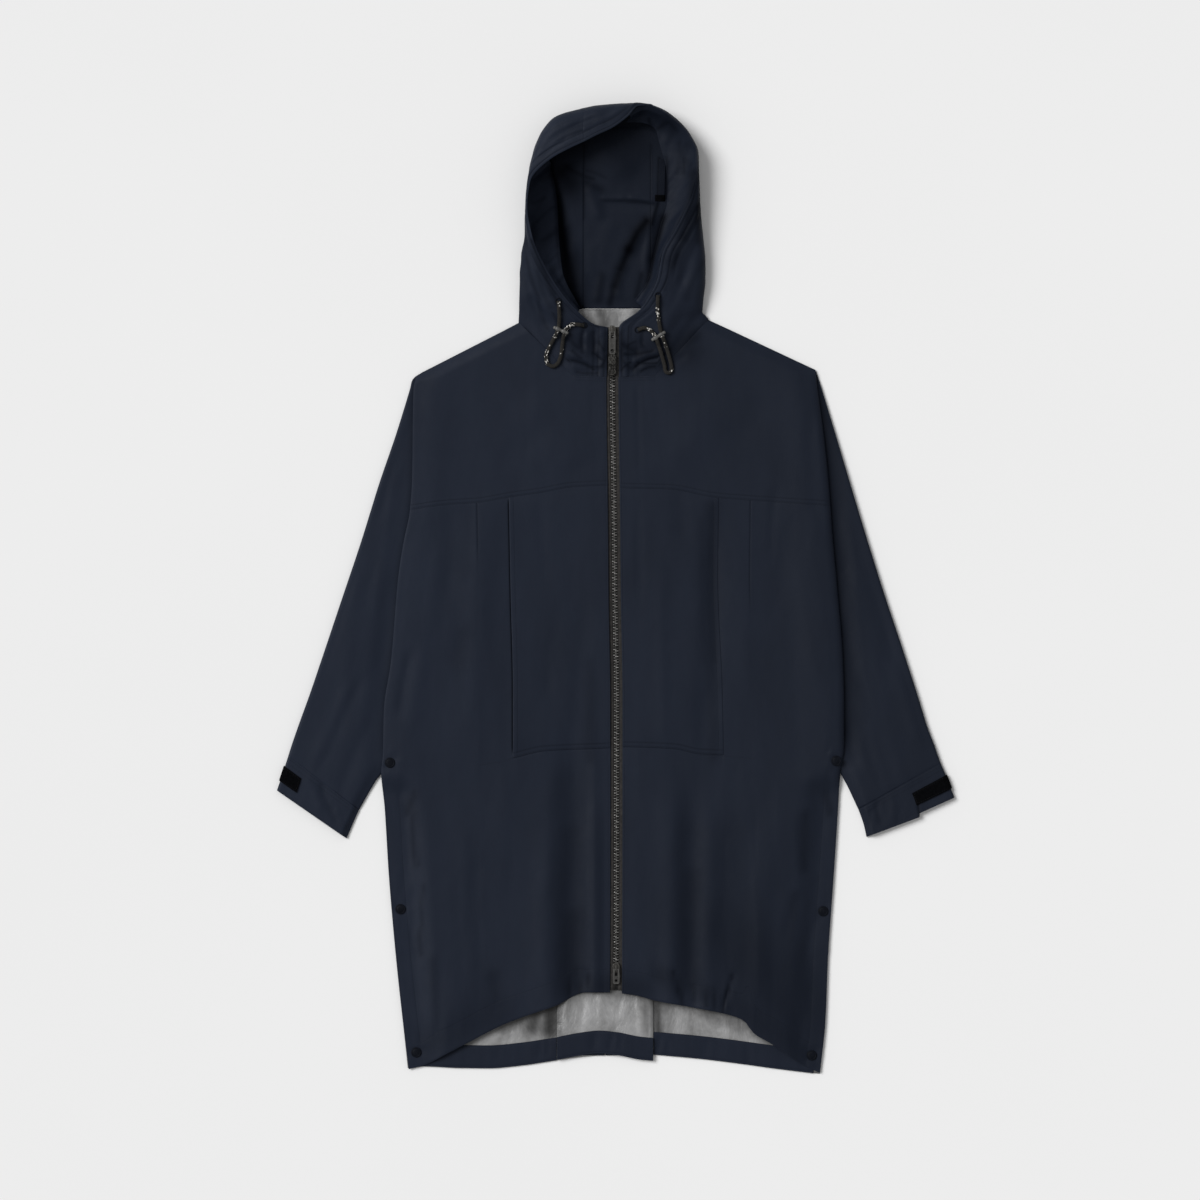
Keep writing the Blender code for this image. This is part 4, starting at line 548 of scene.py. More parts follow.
def braid(name):
    """Braided cord: strands crossing round it, black-brown, with pale flecks woven in here and there."""
    f = Finish(name)
    parts = f.node("SeparateXYZ", {0: f.place(cloth=True)}).outputs
    around = f.maths("MULTIPLY", parts[0], 2 * math.pi / 0.00105)
    along = f.maths("MULTIPLY", parts[1], 2 * math.pi / 0.0019)
    one = f.maths("SINE", f.maths("ADD", around, along))
    two = f.maths("SINE", f.maths("SUBTRACT", around, along))
    strands = f.maths("MAXIMUM", one, two)
    tone = f.noise(f.place(), 700.0, 2.0)
    colour = f.mix(f.range(f.maths("ADD", f.maths("MULTIPLY", strands, 0.25), tone), 0.2, 0.95, 0.0, 1.0), (0.004, 0.0037, 0.0034), (0.021, 0.019, 0.0165))
    cells = f.node("TexVoronoi", {"Vector": f.place((1, 0.62, 1), cloth=True), "Scale": 520.0, "Randomness": 0.75}, feature="F1")
    fleck = f.maths("MULTIPLY", f.maths("LESS_THAN", cells.outputs["Distance"], 0.4), f.maths("GREATER_THAN", f.node("SeparateColor", {0: cells.outputs["Color"]}).outputs[0], 0.42))
    colour = f.mix(f.maths("MULTIPLY", fleck, f.mark("fleck")), colour, (0.72, 0.70, 0.66))
    return f.set(Base_Color=colour, Roughness=0.75, Normal=f.bump(strands, 0.00035, 0.7), Specular_IOR_Level=0.3)


def thread(name, dark, light):
    """Sewing thread: two plies twisted, with a low gloss."""
    f = Finish(name)
    plies = f.node("TexWave", {"Vector": f.place(turn=0.6), "Scale": 260.0, "Distortion": 1.0, "Detail": 1.0}).outputs["Fac"]
    colour = f.mix(f.range(plies, 0.2, 0.8, 0.0, 1.0), dark, light)
    return f.set(Base_Color=colour, Roughness=0.6, Normal=f.bump(plies, 0.00005, 0.5), Specular_IOR_Level=0.08)


NAVY_DARK, NAVY_LIGHT = (0.0086, 0.0121, 0.0218), (0.0117, 0.0162, 0.0284)
# the last argument is how much painted shade darkens each cloth towards the garment's right
NAVY = navy_cloth("navy_cloth", NAVY_DARK, NAVY_LIGHT, 0.2)
BAND = navy_cloth("navy_band", (0.0076, 0.0107, 0.0196), (0.0106, 0.0147, 0.0262), 0.1)
SILVER = silver_cloth("silver_cloth")
TAPE = tape_cloth("zip_tape")
HOOK = hook_loop("hook_loop")
METAL = cast_metal("zip_metal", (0.024, 0.0235, 0.0228), (0.092, 0.09, 0.0865), 0.3, 0.45)
TEETH = cast_metal("zip_teeth_metal", (0.21, 0.206, 0.198), (0.62, 0.61, 0.59), 0.26, 0.4, 700.0)
DARK_METAL = cast_metal("zip_slider_metal", (0.02, 0.019, 0.018), (0.07, 0.067, 0.062), 0.28, 0.42)
SNAP = moulded("snap_black", (0.003, 0.0038, 0.006), (0.0056, 0.0068, 0.0104), 0.5, 0.04)
LOCK = moulded("lock_grey", (0.05, 0.05, 0.048), (0.105, 0.1035, 0.099), 0.45, 0.4)
GRIP = knit("grip_black", (0.004, 0.004, 0.0038), (0.062, 0.06, 0.056))
CORD = braid("cord_textile")
THREAD = thread("thread_navy", (0.0042, 0.0056, 0.0092), (0.0085, 0.011, 0.0175))
THREAD_DARK = thread("thread_black", (0.003, 0.003, 0.004), (0.009, 0.009, 0.011))

floor_finish = Finish("floor")
mottle = floor_finish.noise(floor_finish.place(), 1.5, 2.0)
floor_finish.set(Base_Color=floor_finish.mix(floor_finish.range(mottle, 0.3, 0.7, 0.0, 1.0), (0.80, 0.80, 0.80), (0.81, 0.81, 0.81)), Roughness=0.9, Specular_IOR_Level=0.0)
floor_mesh = bpy.data.meshes.new("floor")
floor_mesh.from_pydata([(-12, -12, -0.0004), (12, -12, -0.0004), (12, 12, -0.0004), (-12, 12, -0.0004)], [], [(0, 1, 2, 3)])
floor_mesh.materials.append(floor_finish.material)
floor = bpy.data.objects.new("floor", floor_mesh)
bpy.context.scene.collection.objects.link(floor)

WORLD_LIGHT, KEY_LIGHT = 0.42, 2.75
world = bpy.data.worlds.new("studio")
world.use_nodes = True
world.node_tree.nodes["Background"].inputs["Color"].default_value = (1, 1, 1, 1)
world.node_tree.nodes["Background"].inputs["Strength"].default_value = WORLD_LIGHT
bpy.context.scene.world = world
key_data = bpy.data.lights.new("key", "SUN")
key_data.energy = KEY_LIGHT
key_data.angle = math.radians(32)
key = bpy.data.objects.new("key", key_data)
key.rotation_mode = "QUATERNION"
key.rotation_quaternion = Vector((0.80, -0.45, -0.95)).to_track_quat("-Z", "Y")
bpy.context.scene.collection.objects.link(key)

# ---------------------------------------------------------------- creases, given one by one: from x to y, bowed to one side, half width, height (below zero is a trough)
CREASE_COLUMNS = "x0 y0 x1 y1 bend width height"
BODY_CREASES = table(CREASE_COLUMNS, [
    (-67, -196, -63, -543, 1.4, 14.2, -0.7), (-41, -230, -37, -534, -1.4, 4.7, -0.5), (-29, -203, -25, -541, 0, 6.8, 0.9),
    (-94, -257, -95, -534, 0, 12.2, 0.7), (-41, -14, -67, -230, -5.4, 12.2, -0.8), (-71, -392, -67, -534, 0, 17.6, -0.7),
    (-217, -325, -207, -554, 0, 9.5, -0.8), (-250, -284, -242, -568, 0, 12.2, 0.9), (-241, -507, -237, -622, 0, 8.1, -1.0),
    (-167, -520, -156, -570, 0, 12.2, -1.0), (-188, -365, -194, -473, 0, 10.8, -0.6), (-221, 110, -225, -14, 0, 12.2, -0.7),
    (-102, 125, -95, 13, 0, 6.8, -0.6), (-75, -14, -91, -149, 2.7, 9.5, -0.6), (-205, -55, -221, -106, 0, 13.5, -0.7),
    (-275, -82, -290, -173, 2.7, 8.1, -1.3), (-259, -68, -275, -190, 0, 9.5, 0.7), (-281, -260, -273, -392, 4.1, 4.1, -0.8),
    (-269, -398, -267, -460, 4.1, 3.5, -0.9), (-273, -453, -263, -497, 4.1, 4.1, -0.7), (-286, -244, -292, -284, -2.7, 4.1, -0.7),
    (130, 94, 133, -102, 0, 9.5, -1.1), (118, -136, 119, -219, 0, 10.8, -1.2), (29, 125, 33, -14, 0, 3.5, -0.7),
    (61, 40, 64, -230, 0, 8.1, 0.8), (86, 134, 92, 67, 0, 10.8, -0.8), (217, 140, 211, 40, 2.7, 4.1, -0.8),
    (236, 94, 217, -41, 2.7, 10.8, -0.7), (101, -250, 101, -534, 1.4, 13.5, -0.4), (110, -365, 114, -500, 0, 6.8, -0.2),
    (82, -257, 76, -534, 0, 8.1, 0.5), (125, -284, 126, -500, 0, 8.1, 0.35), (144, -365, 144, -500, 0, 16.2, -0.5),
    (252, -304, 257, -376, 2.7, 6.8, -1.1), (244, -412, 233, -473, 2.7, 6.8, -1.0), (264, -453, 257, -507, 1.4, 5.4, -0.8),
    (250, -568, 244, -615, 0, 10.8, -1.3), (218, -392, 211, -568, 2.7, 10.8, -0.7), (190, -325, 192, -554, 0, 10.8, 0.9),
    (288, -210, 292, -277, 2.7, 4.1, -0.7), (78, -511, 87, -551, 0, 2.6, -1.5), (92, -520, 87, -558, 0, 2.5, -1.3),
    (118, -523, 122, -561, 0, 2.6, -1.5), (136, -534, 132, -568, 0, 2.5, -1.2), (161, -516, 144, -568, 1.4, 3.2, -1.7),
    (152, -541, 156, -573, 0, 2.4, -1.1), (101, -533, 105, -562, 0, 2.4, -1.2), (-51, -511, -47, -543, 0, 2.6, -1.3),
    (-40, -508, -34, -541, 0, 2.6, -1.4), (-60, -520, -63, -554, 0, 2.6, -1.0), (-75, 229, -156, 161, 5.4, 16.2, -0.6),
    (33, 256, 101, 161, -5.4, 18.9, -0.6), (29, 283, 32, 161, 0, 4.1, -0.4), (-178, 122, -186, -60, 0, 20, 0.9),
    (-150, -240, -150, -420, 3, 16, 0.8), (170, 100, 176, -120, 0, 18, 0.8), (-235, 60, -252, -60, 3, 12, 0.7),
    (262, 240, 272, 90, 3, 9, -1.0), (250, 40, 268, -120, 2, 11, 0.9), (206, 260, 160, 190, 6, 18, -0.6)])
COLLAR_CREASES = table(CREASE_COLUMNS, [
    (-43, 350, -44, 323, 1.4, 3.2, -1.5), (-32, 348, -29, 321, -1.4, 2.8, -1.5), (-66, 310, -30, 297, -2.7, 3.4, -2.4), (-64, 316, -30, 304, -2.7, 3.4, 1.2),
    (-32, 319, -16, 308, 1.4, 2.7, -1.8), (-55, 295, -21, 294, 0, 3.0, -1.2), (62, 313, 24, 300, 2.7, 3.4, -2.4), (64, 320, 26, 307, 2.7, 3.4, 1.3),
    (9, 315, 25, 310, -1.4, 2.7, -1.7), (9, 307, 26, 294, 1.4, 2.6, -1.5), (3, 334, 33, 321, 1.4, 4.4, -1.6), (37, 352, 36, 330, 1, 3, -1.0), (-38, 346, -37, 318, 1, 2.6, 1.0),
    (33, 337, 53, 321, 1.4, 4.1, -0.8), (-116, 396, -86, 352, 1.4, 6.8, -2.2), (-103, 366, -74, 318, 2.7, 6.8, -1.4),
    (116, 372, 76, 318, 4.1, 8.1, -2.0), (97, 372, 64, 326, 2.7, 6.8, -1.2), (-92, 392, -70, 344, 2, 8, 1.2),
    (84, 392, 58, 340, -2, 8, 1.0), (-50, 332, -18, 330, 1, 5, -0.7), (60, 300, 96, 318, 2, 6, -0.9), (-98, 318, -60, 300, -2, 6, -0.8)])
SLEEVE_CREASES = table(CREASE_COLUMNS, [
    (-341, -118, -399, -248, 3, 8, -1.0), (-300, 18, -316, -120, 4, 12, -0.9), (-352, 40, -372, -120, 0, 14, 0.9),
    (-284, -60, -300, -170, -2, 6, -0.9), (-296, 200, -318, 96, 2, 9, -0.7), (-402, -70, -424, -180, 0, 7, -0.8),
    (-330, -176, -372, -284, 4, 9, -0.9), (-356, -120, -402, -232, -3, 10, 0.9), (-310, 90, -340, -30, 0, 8, -0.5),
    (300, 120, 318, 10, 4, 9, -0.8), (318, 20, 352, -120, 2, 14, 0.9), (312, -40, 340, -160, 3, 8, -0.9),
    (352, 10, 380, -110, 0, 9, -0.7), (372, -96, 410, -214, -2, 11, 0.8), (330, -170, 362, -272, 3, 8, -1.0),
    (392, -80, 424, -200, 0, 7, -0.7), (314, -180, 330, -250, 2, 7, -0.9), (352, -190, 392, -290, 3, 9, -0.7)])
HOOD_CREASES = table(CREASE_COLUMNS, [
    (-120, 480, -112, 400, 3, 4, -1.4), (-128, 450, -104, 372, 2, 5, -1.6), (-118, 500, -124, 420, 0, 4, -1.0),
    (112, 470, 88, 404, 3, 7, -2.0), (116, 440, 104, 376, 0, 8, 1.2), (98, 430, 74, 372, 3, 6, -1.0),
    (-96, 600, -40, 634, 2, 4, -0.9), (-104, 570, -60, 612, -2, 3.4, -0.9), (-60, 622, 0, 646, 1, 3.4, -0.8),
    (66, 628, 52, 586, 2, 4, -1.4), (92, 606, 70, 570, -3, 5, -1.2), (104, 560, 96, 520, 2, 5, -1.0), (-114, 524, -100, 560, 2, 4, -1.0)])
NAPE_CREASES = table(CREASE_COLUMNS, [
    (-20, 528, 16, 529, 1, 3.0, 1.7), (16, 529, 56, 524, -1, 3.2, 2.2), (-20, 521, 50, 517, 0, 6, -1.5),
    (50, 500, 16, 444, 3, 7, 1.8), (16, 444, 0, 392, 2, 6, 1.5), (24, 460, -4, 396, 4, 6, -0.8),
    (-18, 424, -24, 384, 1, 5, 0.8), (-8, 416, -9, 384, 0, 4, 0.5), (4, 420, 8, 386, 0, 5, 0.5), (-34, 548, -20, 500, 3, 8, 2.2), (-30, 470, -34, 420, 2, 9, 1.0), (-4, 500, -18, 440, 2, 10, 1.0),
    (54, 512, 40, 430, 3, 5, 1.6), (66, 470, 50, 410, 2, 5, 1.4), (-40, 620, 20, 560, 6, 16, 3.0), (-60, 470, -40, 400, 2, 10, 2.0)])

# soft shade that folds and layers give each other: from x to y, bowed to one side, half width, strength
SHADE_COLUMNS = "x0 y0 x1 y1 bend width strength"
BODY_SHADES = table(SHADE_COLUMNS, [
    (13, 323, 100, 321, 0, 22, 0.36), (103, 341, 78, 322, 0, 12, 0.42), (-50, 330, -20, 323, 0, 20, 0.29), (20, 302, 66, 302, 0, 13, 0.32),
    (-55, 302, -14, 302, 0, 11, 0.1), (60, 314, 26, 300, 3, 2.0, 0.75), (64, 307, 30, 306, -2, 1.8, 0.55), (53, 300, 34, 294, 2, 1.8, 0.6), (-64, 309, -30, 297, -3, 2.2, 0.65),
    (50, 322, 12, 318, -2, 2.2, 0.5), (20, 306, 8, 296, 1, 1.8, 0.55), (72, 322, 60, 310, 1, 2.0, 0.5), (-48, 306, -18, 300, 2, 1.8, 0.5), (-20, 300, -12, 316, 1, 1.8, 0.5), (-58, 322, -46, 312, 1, 2, 0.4), (26, 334, 14, 326, 1, 1.8, 0.4), (-22, 334, -14, 322, 1, 1.8, 0.45),
    (-30, 320, -14, 308, 1, 2.4, 0.5), (-44, 350, -45, 320, 1, 2.6, 0.4), (-30, 347, -29, 322, -1, 2.4, 0.42), (8, 332, 33, 318, 1, 4, 0.42), (-52, 293, -24, 292, 1, 2.2, 0.4),
    (-62, 341, -50, 326, 2, 3, 0.35), (10, 309, 24, 296, 1, 2.2, 0.4), (38, 352, 36, 328, 1, 3, 0.35), (-12, 345, -14, 300, 0, 4, 0.25), (6, 346, 6, 296, 0, 4, 0.35),
    (-62, -262, -61, -320, 0, 26, 0.14), (-61, -330, -60, -460, 1, 21, 0.25), (-58, -440, -60, -535, 0, 20, 0.4), (-30, -330, -28, -500, 0, 12, 0.1), (106, -330, 104, -400, 0, 26, 0.16), (104, -385, 103, -480, 1, 20, 0.28), (101, -450, 101, -530, 0, 19, 0.34), (150, -330, 152, -480, 0, 26, 0.14),
    (78, -515, 86, -552, 0, 1.7, 0.35), (92, -520, 88, -560, 0, 1.7, 0.35), (108, -522, 104, -562, 0, 1.6, 0.3), (119, -524, 122, -562, 0, 1.7, 0.35), (136, -528, 132, -568, 0, 1.6, 0.3), (158, -518, 145, -570, 1.4, 1.9, 0.4), (-51, -511, -47, -545, 0, 1.6, 0.3), (-40, -508, -34, -541, 0, 1.6, 0.32), (-61, -520, -64, -554, 0, 1.6, 0.28),
    (-36, -100, -34, -230, 0, 8, 0.15), (130, 112, 132, -95, 0, 9, 0.28), (130, -95, 132, -226, 0, 8, 0.2), (118, 94, 121, -95, 0, 8, 0.12), (141, -460, 255, -570, 0, 60, 0.26),
    (-34, -534, 33, -538, 0, 18, 0.3), (-250, -615, -156, -568, 0, 26, 0.2), (249, -620, 160, -560, 0, 30, 0.26), (60, -520, 130, -545, 0, 16, 0.25),
    (-205, -60, -212, -100, 0, 12, 0.1), (-200, 100, -204, 28, 0, 14, 0.08), (-271, -275, -280, -300, 0, 6, 0.3), (283, -275, 289, -300, 0, 6, 0.3),
    (256, -304, 254, -376, 0, 7, 0.25), (242, -412, 236, -473, 0, 7, 0.2), (-272, -300, -268, -372, 3, 4, 0.3), (-263, -460, -261, -492, 2, 4, 0.25),
    (-258, -400, -259, -455, 3, 3, 0.2), (-246, -500, -240, -608, 0, 7, 0.18), (-166, -520, -160, -560, 0, 10, 0.2), (252, -575, 246, -612, 0, 7, 0.3)])
HOOD_SHADES = table(SHADE_COLUMNS, [
    (108, 512, 92, 474, 0, 13, 0.62), (94, 478, 76, 442, 0, 12, 0.4), (104.6, 560, 104.6, 506, 0, 7, 0.45), (33, 646, 76, 622, 0, 14, 0.36),
    (43.7, 606, 57, 585, 0, 4, 0.55), (57, 621, 69, 629, 0, 3, 0.45), (92, 581, 92, 561, 0, 3, 0.35), (-107, 454, -84, 398, 0, 5, 0.42),
    (-107, 494, -86, 515, 0, 3, 0.35), (103, 341, 78, 322, 0, 14, 0.5),
    (45.2, 633, 52, 616, 1, 3, 0.55), (52, 616, 46.6, 602, 1, 2.6, 0.55), (46.6, 602, 56, 581, 1, 3, 0.6), (70, 640, 82, 618, 2, 3, 0.25), (96, 600, 84, 560, 3, 4, 0.2), (110, 546, 96, 500, 3, 5, 0.25),
    (-113, 470, -92, 420, 1, 2.4, 0.5), (-119, 446, -103, 392, 2, 3, 0.32), (-90, 412, -72, 376, 1, 2.4, 0.4), (-124, 500, -117, 440, 2, 3, 0.25), (-104, 392, -92, 352, 2, 3, 0.3), (-84, 372, -66, 338, 1, 2.6, 0.35),
    (118, 440, 96, 392, 3, 5, 0.22), (84, 450, 66, 404, 2, 3, 0.25), (-104, 430, -88, 380, 3, 4, 0.2), (86, 600, 100, 572, 4, 4, 0.25), (112, 560, 111, 470, 0, 5, 0.3), (-122, 470, -126, 380, 0, 5, 0.12)])
FLOOR_SHADES = table(SHADE_COLUMNS, [
    (-89, 578, -79, 532, 0, 7, 0.9), (-79, 532, -73, 485, 0, 8, 0.95), (-73, 485, -65, 446, 0, 11, 0.95), (-65, 446, -57, 408, 0, 13, 0.92), (-57, 408, -50, 380, 0, 12, 0.88),
    (-87, 578, -44, 601, 0, 19, 0.5), (-44, 601, 17, 636, 0, 19, 0.45), (17, 636, 52, 640, 0, 15, 0.3), (-70, 562, -62, 548, 0, 24, 0.72), (18, 578, 30, 592, 0, 30, 0.32),
    (42, 497, 30, 482, 0, 7.4, 0.9), (30, 482, 18, 459, 0, 7.2, 0.92), (18, 459, 7, 432, 0, 6.6, 0.86), (7, 432, -1, 409, 0, 6, 0.72), (-1, 409, -8, 386, 0, 5, 0.55),
    (66, 500, 58, 471, 0, 7.5, 0.97), (58, 471, 52, 446, 0, 7, 0.97), (52, 446, 47, 417, 0, 6, 0.95), (46, 417, 43, 388, 0, 5.5, 0.9), (57, 521, 49, 493, 0, 3, 0.7),
    (-42.7, 600, -42.7, 500, 0, 1.6, 0.4), (-42.7, 500, -42.7, 384, 0, 1.4, 0.12), (47.7, 600, 47.7, 490, 0, 1.8, 0.3), (47.7, 490, 47.7, 384, 0, 1.5, 0.5), (-19, 525.5, 16, 525, 0, 1.8, 0.3), (16, 524, 52, 520, -1, 2.4, 0.42), (-66, 571, -30, 554, 2, 3, 0.4), (-40, 566, -14, 556, -1, 2.4, 0.25),
    (59, 582, 57.5, 530, 0, 2.6, 0.5), (70, 582, 68, 528, 0, 3.2, 0.7), (-18, 424, -23, 390, 1, 6, 0.35), (4, 430, -2, 404, 0, 7, 0.2), (35, 425, 28, 396, 0, 4, 0.4), (-38, 548, -20, 540, 0, 6, 0.35)])


def shading(rows, x, y):
    """How much the soft shades take away at places in plan, from 0 to 1."""
    narrow, broad = np.zeros(np.shape(x)), np.zeros(np.shape(x))
    for x0, y0, x1, y1, bend, width, strength in zip(*rows.values()):
        dx, dy = x1 - x0, y1 - y0
        length = math.hypot(dx, dy)
        t = ((x - x0) * dx + (y - y0) * dy) / length**2
        across = ((x - x0) * dy - (y - y0) * dx) / length - bend * 4 * np.clip(t, 0, 1) * (1 - np.clip(t, 0, 1))
        beyond = np.maximum(np.maximum(-t, t - 1), 0) * length
        here = strength * np.exp(-((across / width) ** 2) - (beyond / (max(width, 0.2 * length) if width >= 10 else width)) ** 2)
        kind = narrow if width < 7 else broad
        np.maximum(kind, here, out=kind)
    return 1 - (1 - narrow) * (1 - broad)


def both(first, second):
    return {name: np.concatenate([first[name], second[name]]) for name in first}


def crease(rows, x, y, ends=0.3):
    """Height of the listed creases at places in plan."""
    total = np.zeros(np.shape(x))
    for x0, y0, x1, y1, bend, width, height in zip(*rows.values()):
        dx, dy = x1 - x0, y1 - y0
        length = math.hypot(dx, dy)
        t = ((x - x0) * dx + (y - y0) * dy) / length**2
        across = ((x - x0) * dy - (y - y0) * dx) / length - bend * 4 * t * (1 - t)
        along = step((t + 0.1) / ends) * step((1.1 - t) / ends)
        total += height * np.exp(-((across / width) ** 2)) * along
    return total


def noise(x, y, across, along, seed):
    """Smooth uneven heights from -1 to 1, in cells of that size, the same on each run."""
    lattice = np.random.default_rng(seed).uniform(-1, 1, (64, 64))
    total, weight = np.zeros(np.shape(x)), 0
    for turn in (0.35, -0.3):
        u = (x * math.cos(turn) + y * math.sin(turn) * across / along) / across + 900 + 7.3 * turn
        v = (y * math.cos(turn) - x * math.sin(turn) * along / across) / along + 900 - 3.1 * turn
        i, j = np.floor(u).astype(int), np.floor(v).astype(int)
        s, t = step(u - i), step(v - j)
        pick = lambda a, b: lattice[(j + b) % 64, (i + a) % 64]
        total += (pick(0, 0) * (1 - s) + pick(1, 0) * s) * (1 - t) + (pick(0, 1) * (1 - s) + pick(1, 1) * s) * t
        weight += 1
    return total / weight


def groove(distance, half=0.8, depth=0.3):
    return -depth * np.exp(-((distance / half) ** 2))


def slope_of(line, at):
    return line(at + 0.5) - line(at - 0.5)


def from_line(line, along, over):
    """Distance to the upper side of a line that is read along one axis."""
    return (over - line(along)) / np.sqrt(1 + slope_of(line, along) ** 2)


def seam_sewn(distance, along, seed):
    """The side of a seam that carries its allowance and two rows of stitches, a little drawn up by them."""
    d = np.maximum(distance, 0)
    raised = 0.14 * step((10.2 - d) / 4) - 0.12 * np.exp(-((d / 0.8) ** 2))
    drawn = 0.16 * noise(along, d, 7.5, 30, seed) * np.exp(-(((d - 4) / 7) ** 2))
    return raised + groove(d - 1.7, 0.7, 0.14) + groove(d - 6.6, 0.75, 0.14) + drawn


def seam_flat(distance, along, seed):
    """The other side of such a seam."""
    d = np.maximum(distance, 0)
    return -0.15 * np.exp(-((d / 1.1) ** 2)) + 0.16 * noise(along, d, 7.5, 30, seed) * np.exp(-((d / 8) ** 2))


def hem_line(rows, tall):
    """The row of stitches at the top of a turned hem."""
    edge = by(rows)
    return lambda x: edge(x) + tall * np.sqrt(1 + slope_of(edge, x) ** 2)


HEM_TALL, SIDE_HEM = 31.0, 20.0
SHUT = 0.03  # how far an edge is rounded where a seam closes it
FINE, FLOOR_MID, PLAIN_WALL = 0.9, 0.5, 0.9


def snap_pucker(x, y):
    """Short puckers that run out from under each snap."""
    total = np.zeros(np.shape(x))
    for n, (sx, sy) in enumerate(zip(*SNAPS.values())):
        r = np.hypot(x - sx, y - sy)
        around = np.arctan2(y - sy, x - sx)
        total += 0.3 * np.exp(-(((r - 12.5) / 5.5) ** 2)) * np.cos(4 * around + 1.3 * n)
        total -= 0.5 * np.exp(-((r / 9.5) ** 4))
    return total


def body_z(x, y):
    """Middle surface of the front as it shows: the solid's form with its creases, and the soft roll along its side folds."""
    base = front_z(x, y)
    left = np.maximum(x - read(SIDE_LEFT, y), 0)
    right = np.maximum(read(SIDE_RIGHT, y) - x, 0)
    inward = np.minimum(left, right)
    over = step((y + 276) / 26)  # 1 where the side is a fold over the sleeve
    shoulder = shoulder_distance(x, y)
    quiet = step(inward / 14) * step(shoulder / 26)
    skirt = 0.4 + 0.6 * step((160 - y) / 420)
    drape = 0.6 * noise(x, y, 34, 190, 3) + 0.34 * noise(x, y, 15, 90, 4) + 0.2 * noise(x, y, 8, 44, 5) + 0.1 * noise(x, y, 5.5, 60, 6)
    fine = crease(BODY_CREASES, x, y) + drape * skirt
    z = base + fine * calm(x, y) * quiet + crease(COLLAR_CREASES, x, y) * step(shoulder / 12) * step((np.abs(x + 3.5) - 9) / 8)
    z = z + 0.12 * noise(x, y, 12, 16, 8) * calm(x, y) * quiet
    puff = 2.6 * np.exp(-(((right - 20) / 34) ** 2)) * over * step(shoulder / 50) + 0.7 * np.exp(-(((left - 16) / 24) ** 2)) * over * step(shoulder / 50)
    z = z + puff
    roll = np.clip(right / 9, 0, 1)
    low = np.minimum(z, 4.3)
    rolled = low + (z - low) * np.sqrt(1 - (1 - roll) ** 2)
    z = z + (rolled - z) * over
    roll = np.clip(left / 4, 0, 1)
    z = z - 0.8 * (1 - np.sqrt(1 - (1 - roll) ** 2)) * over
    turned_in = (groove(inward - SIDE_HEM, 0.9, 0.1) + 0.02 * step((SIDE_HEM - inward) / 1.5) + 0.3 * noise(y, inward, 9, 34, 9) * step((28 - inward) / 8) + 0.7 * noise(y, inward, 26, 26, 10) * np.exp(-(((inward - 22) / 9) ** 2))) * (1 - over) * step((-270 - y) / 8)
    z = z + turned_in + snap_pucker(x, y)
    over_pleat = step((72 - np.abs(x - PLEAT_MIDDLE)) / 6) * step((120 - y) / 10)
    low = 5.4 * over_pleat + 2.2 * (1 - over_pleat)  # the back and its pleat lie under it
    return np.where(z < low + 0.8, low + 0.8 * np.exp((np.minimum(z, low + 0.8) - low - 0.8) / 0.8), z)


# ---------------------------------------------------------------- pieces
def stations(length, pitch, start=(), end=()):
    """Places from 0 to 1 along a stretch of that length: even, and at the given distances from its ends."""
    places = sorted({0.0, float(length), *(float(s) for s in start), *(float(length - e) for e in end)})
    found = []
    for a, b in zip(places, places[1:]):
        count = max(1, math.ceil((b - a) / pitch - 0.25))
        found += [a + (b - a) * n / count for n in range(count)]
    return np.array(found + [float(length)]) / length


def in_bands(*parts):
    """Stretches of stations, one after the other, for a grid with that many bands."""
    return np.concatenate([n + (part if n == 0 else part[1:]) for n, part in enumerate(parts)])


def arc_lengths(grid):
    across = np.concatenate([np.zeros((grid.shape[0], 1)), np.cumsum(np.linalg.norm(np.diff(grid, axis=1), axis=2), axis=1)], axis=1)
    along = np.concatenate([np.zeros((1, grid.shape[1])), np.cumsum(np.linalg.norm(np.diff(grid, axis=0), axis=2), axis=0)], axis=0)
    middle = across[:, across.shape[1] // 2][:, None]
    return across - middle, along


def flat_size(grid):
    """Longest way across and along a grid, and its area, in metres."""
    across, along = arc_lengths(grid)
    a, b, c = grid[:-1, :-1], grid[:-1, 1:], grid[1:, :-1]
    d = grid[1:, 1:]
    area = (np.linalg.norm(np.cross(b - a, c - a), axis=2) + np.linalg.norm(np.cross(b - d, c - d), axis=2)).sum() / 2
    return float((across.max(1) - across.min(1)).max()) * MM, float(along.max()) * MM, float(area) * MM**2


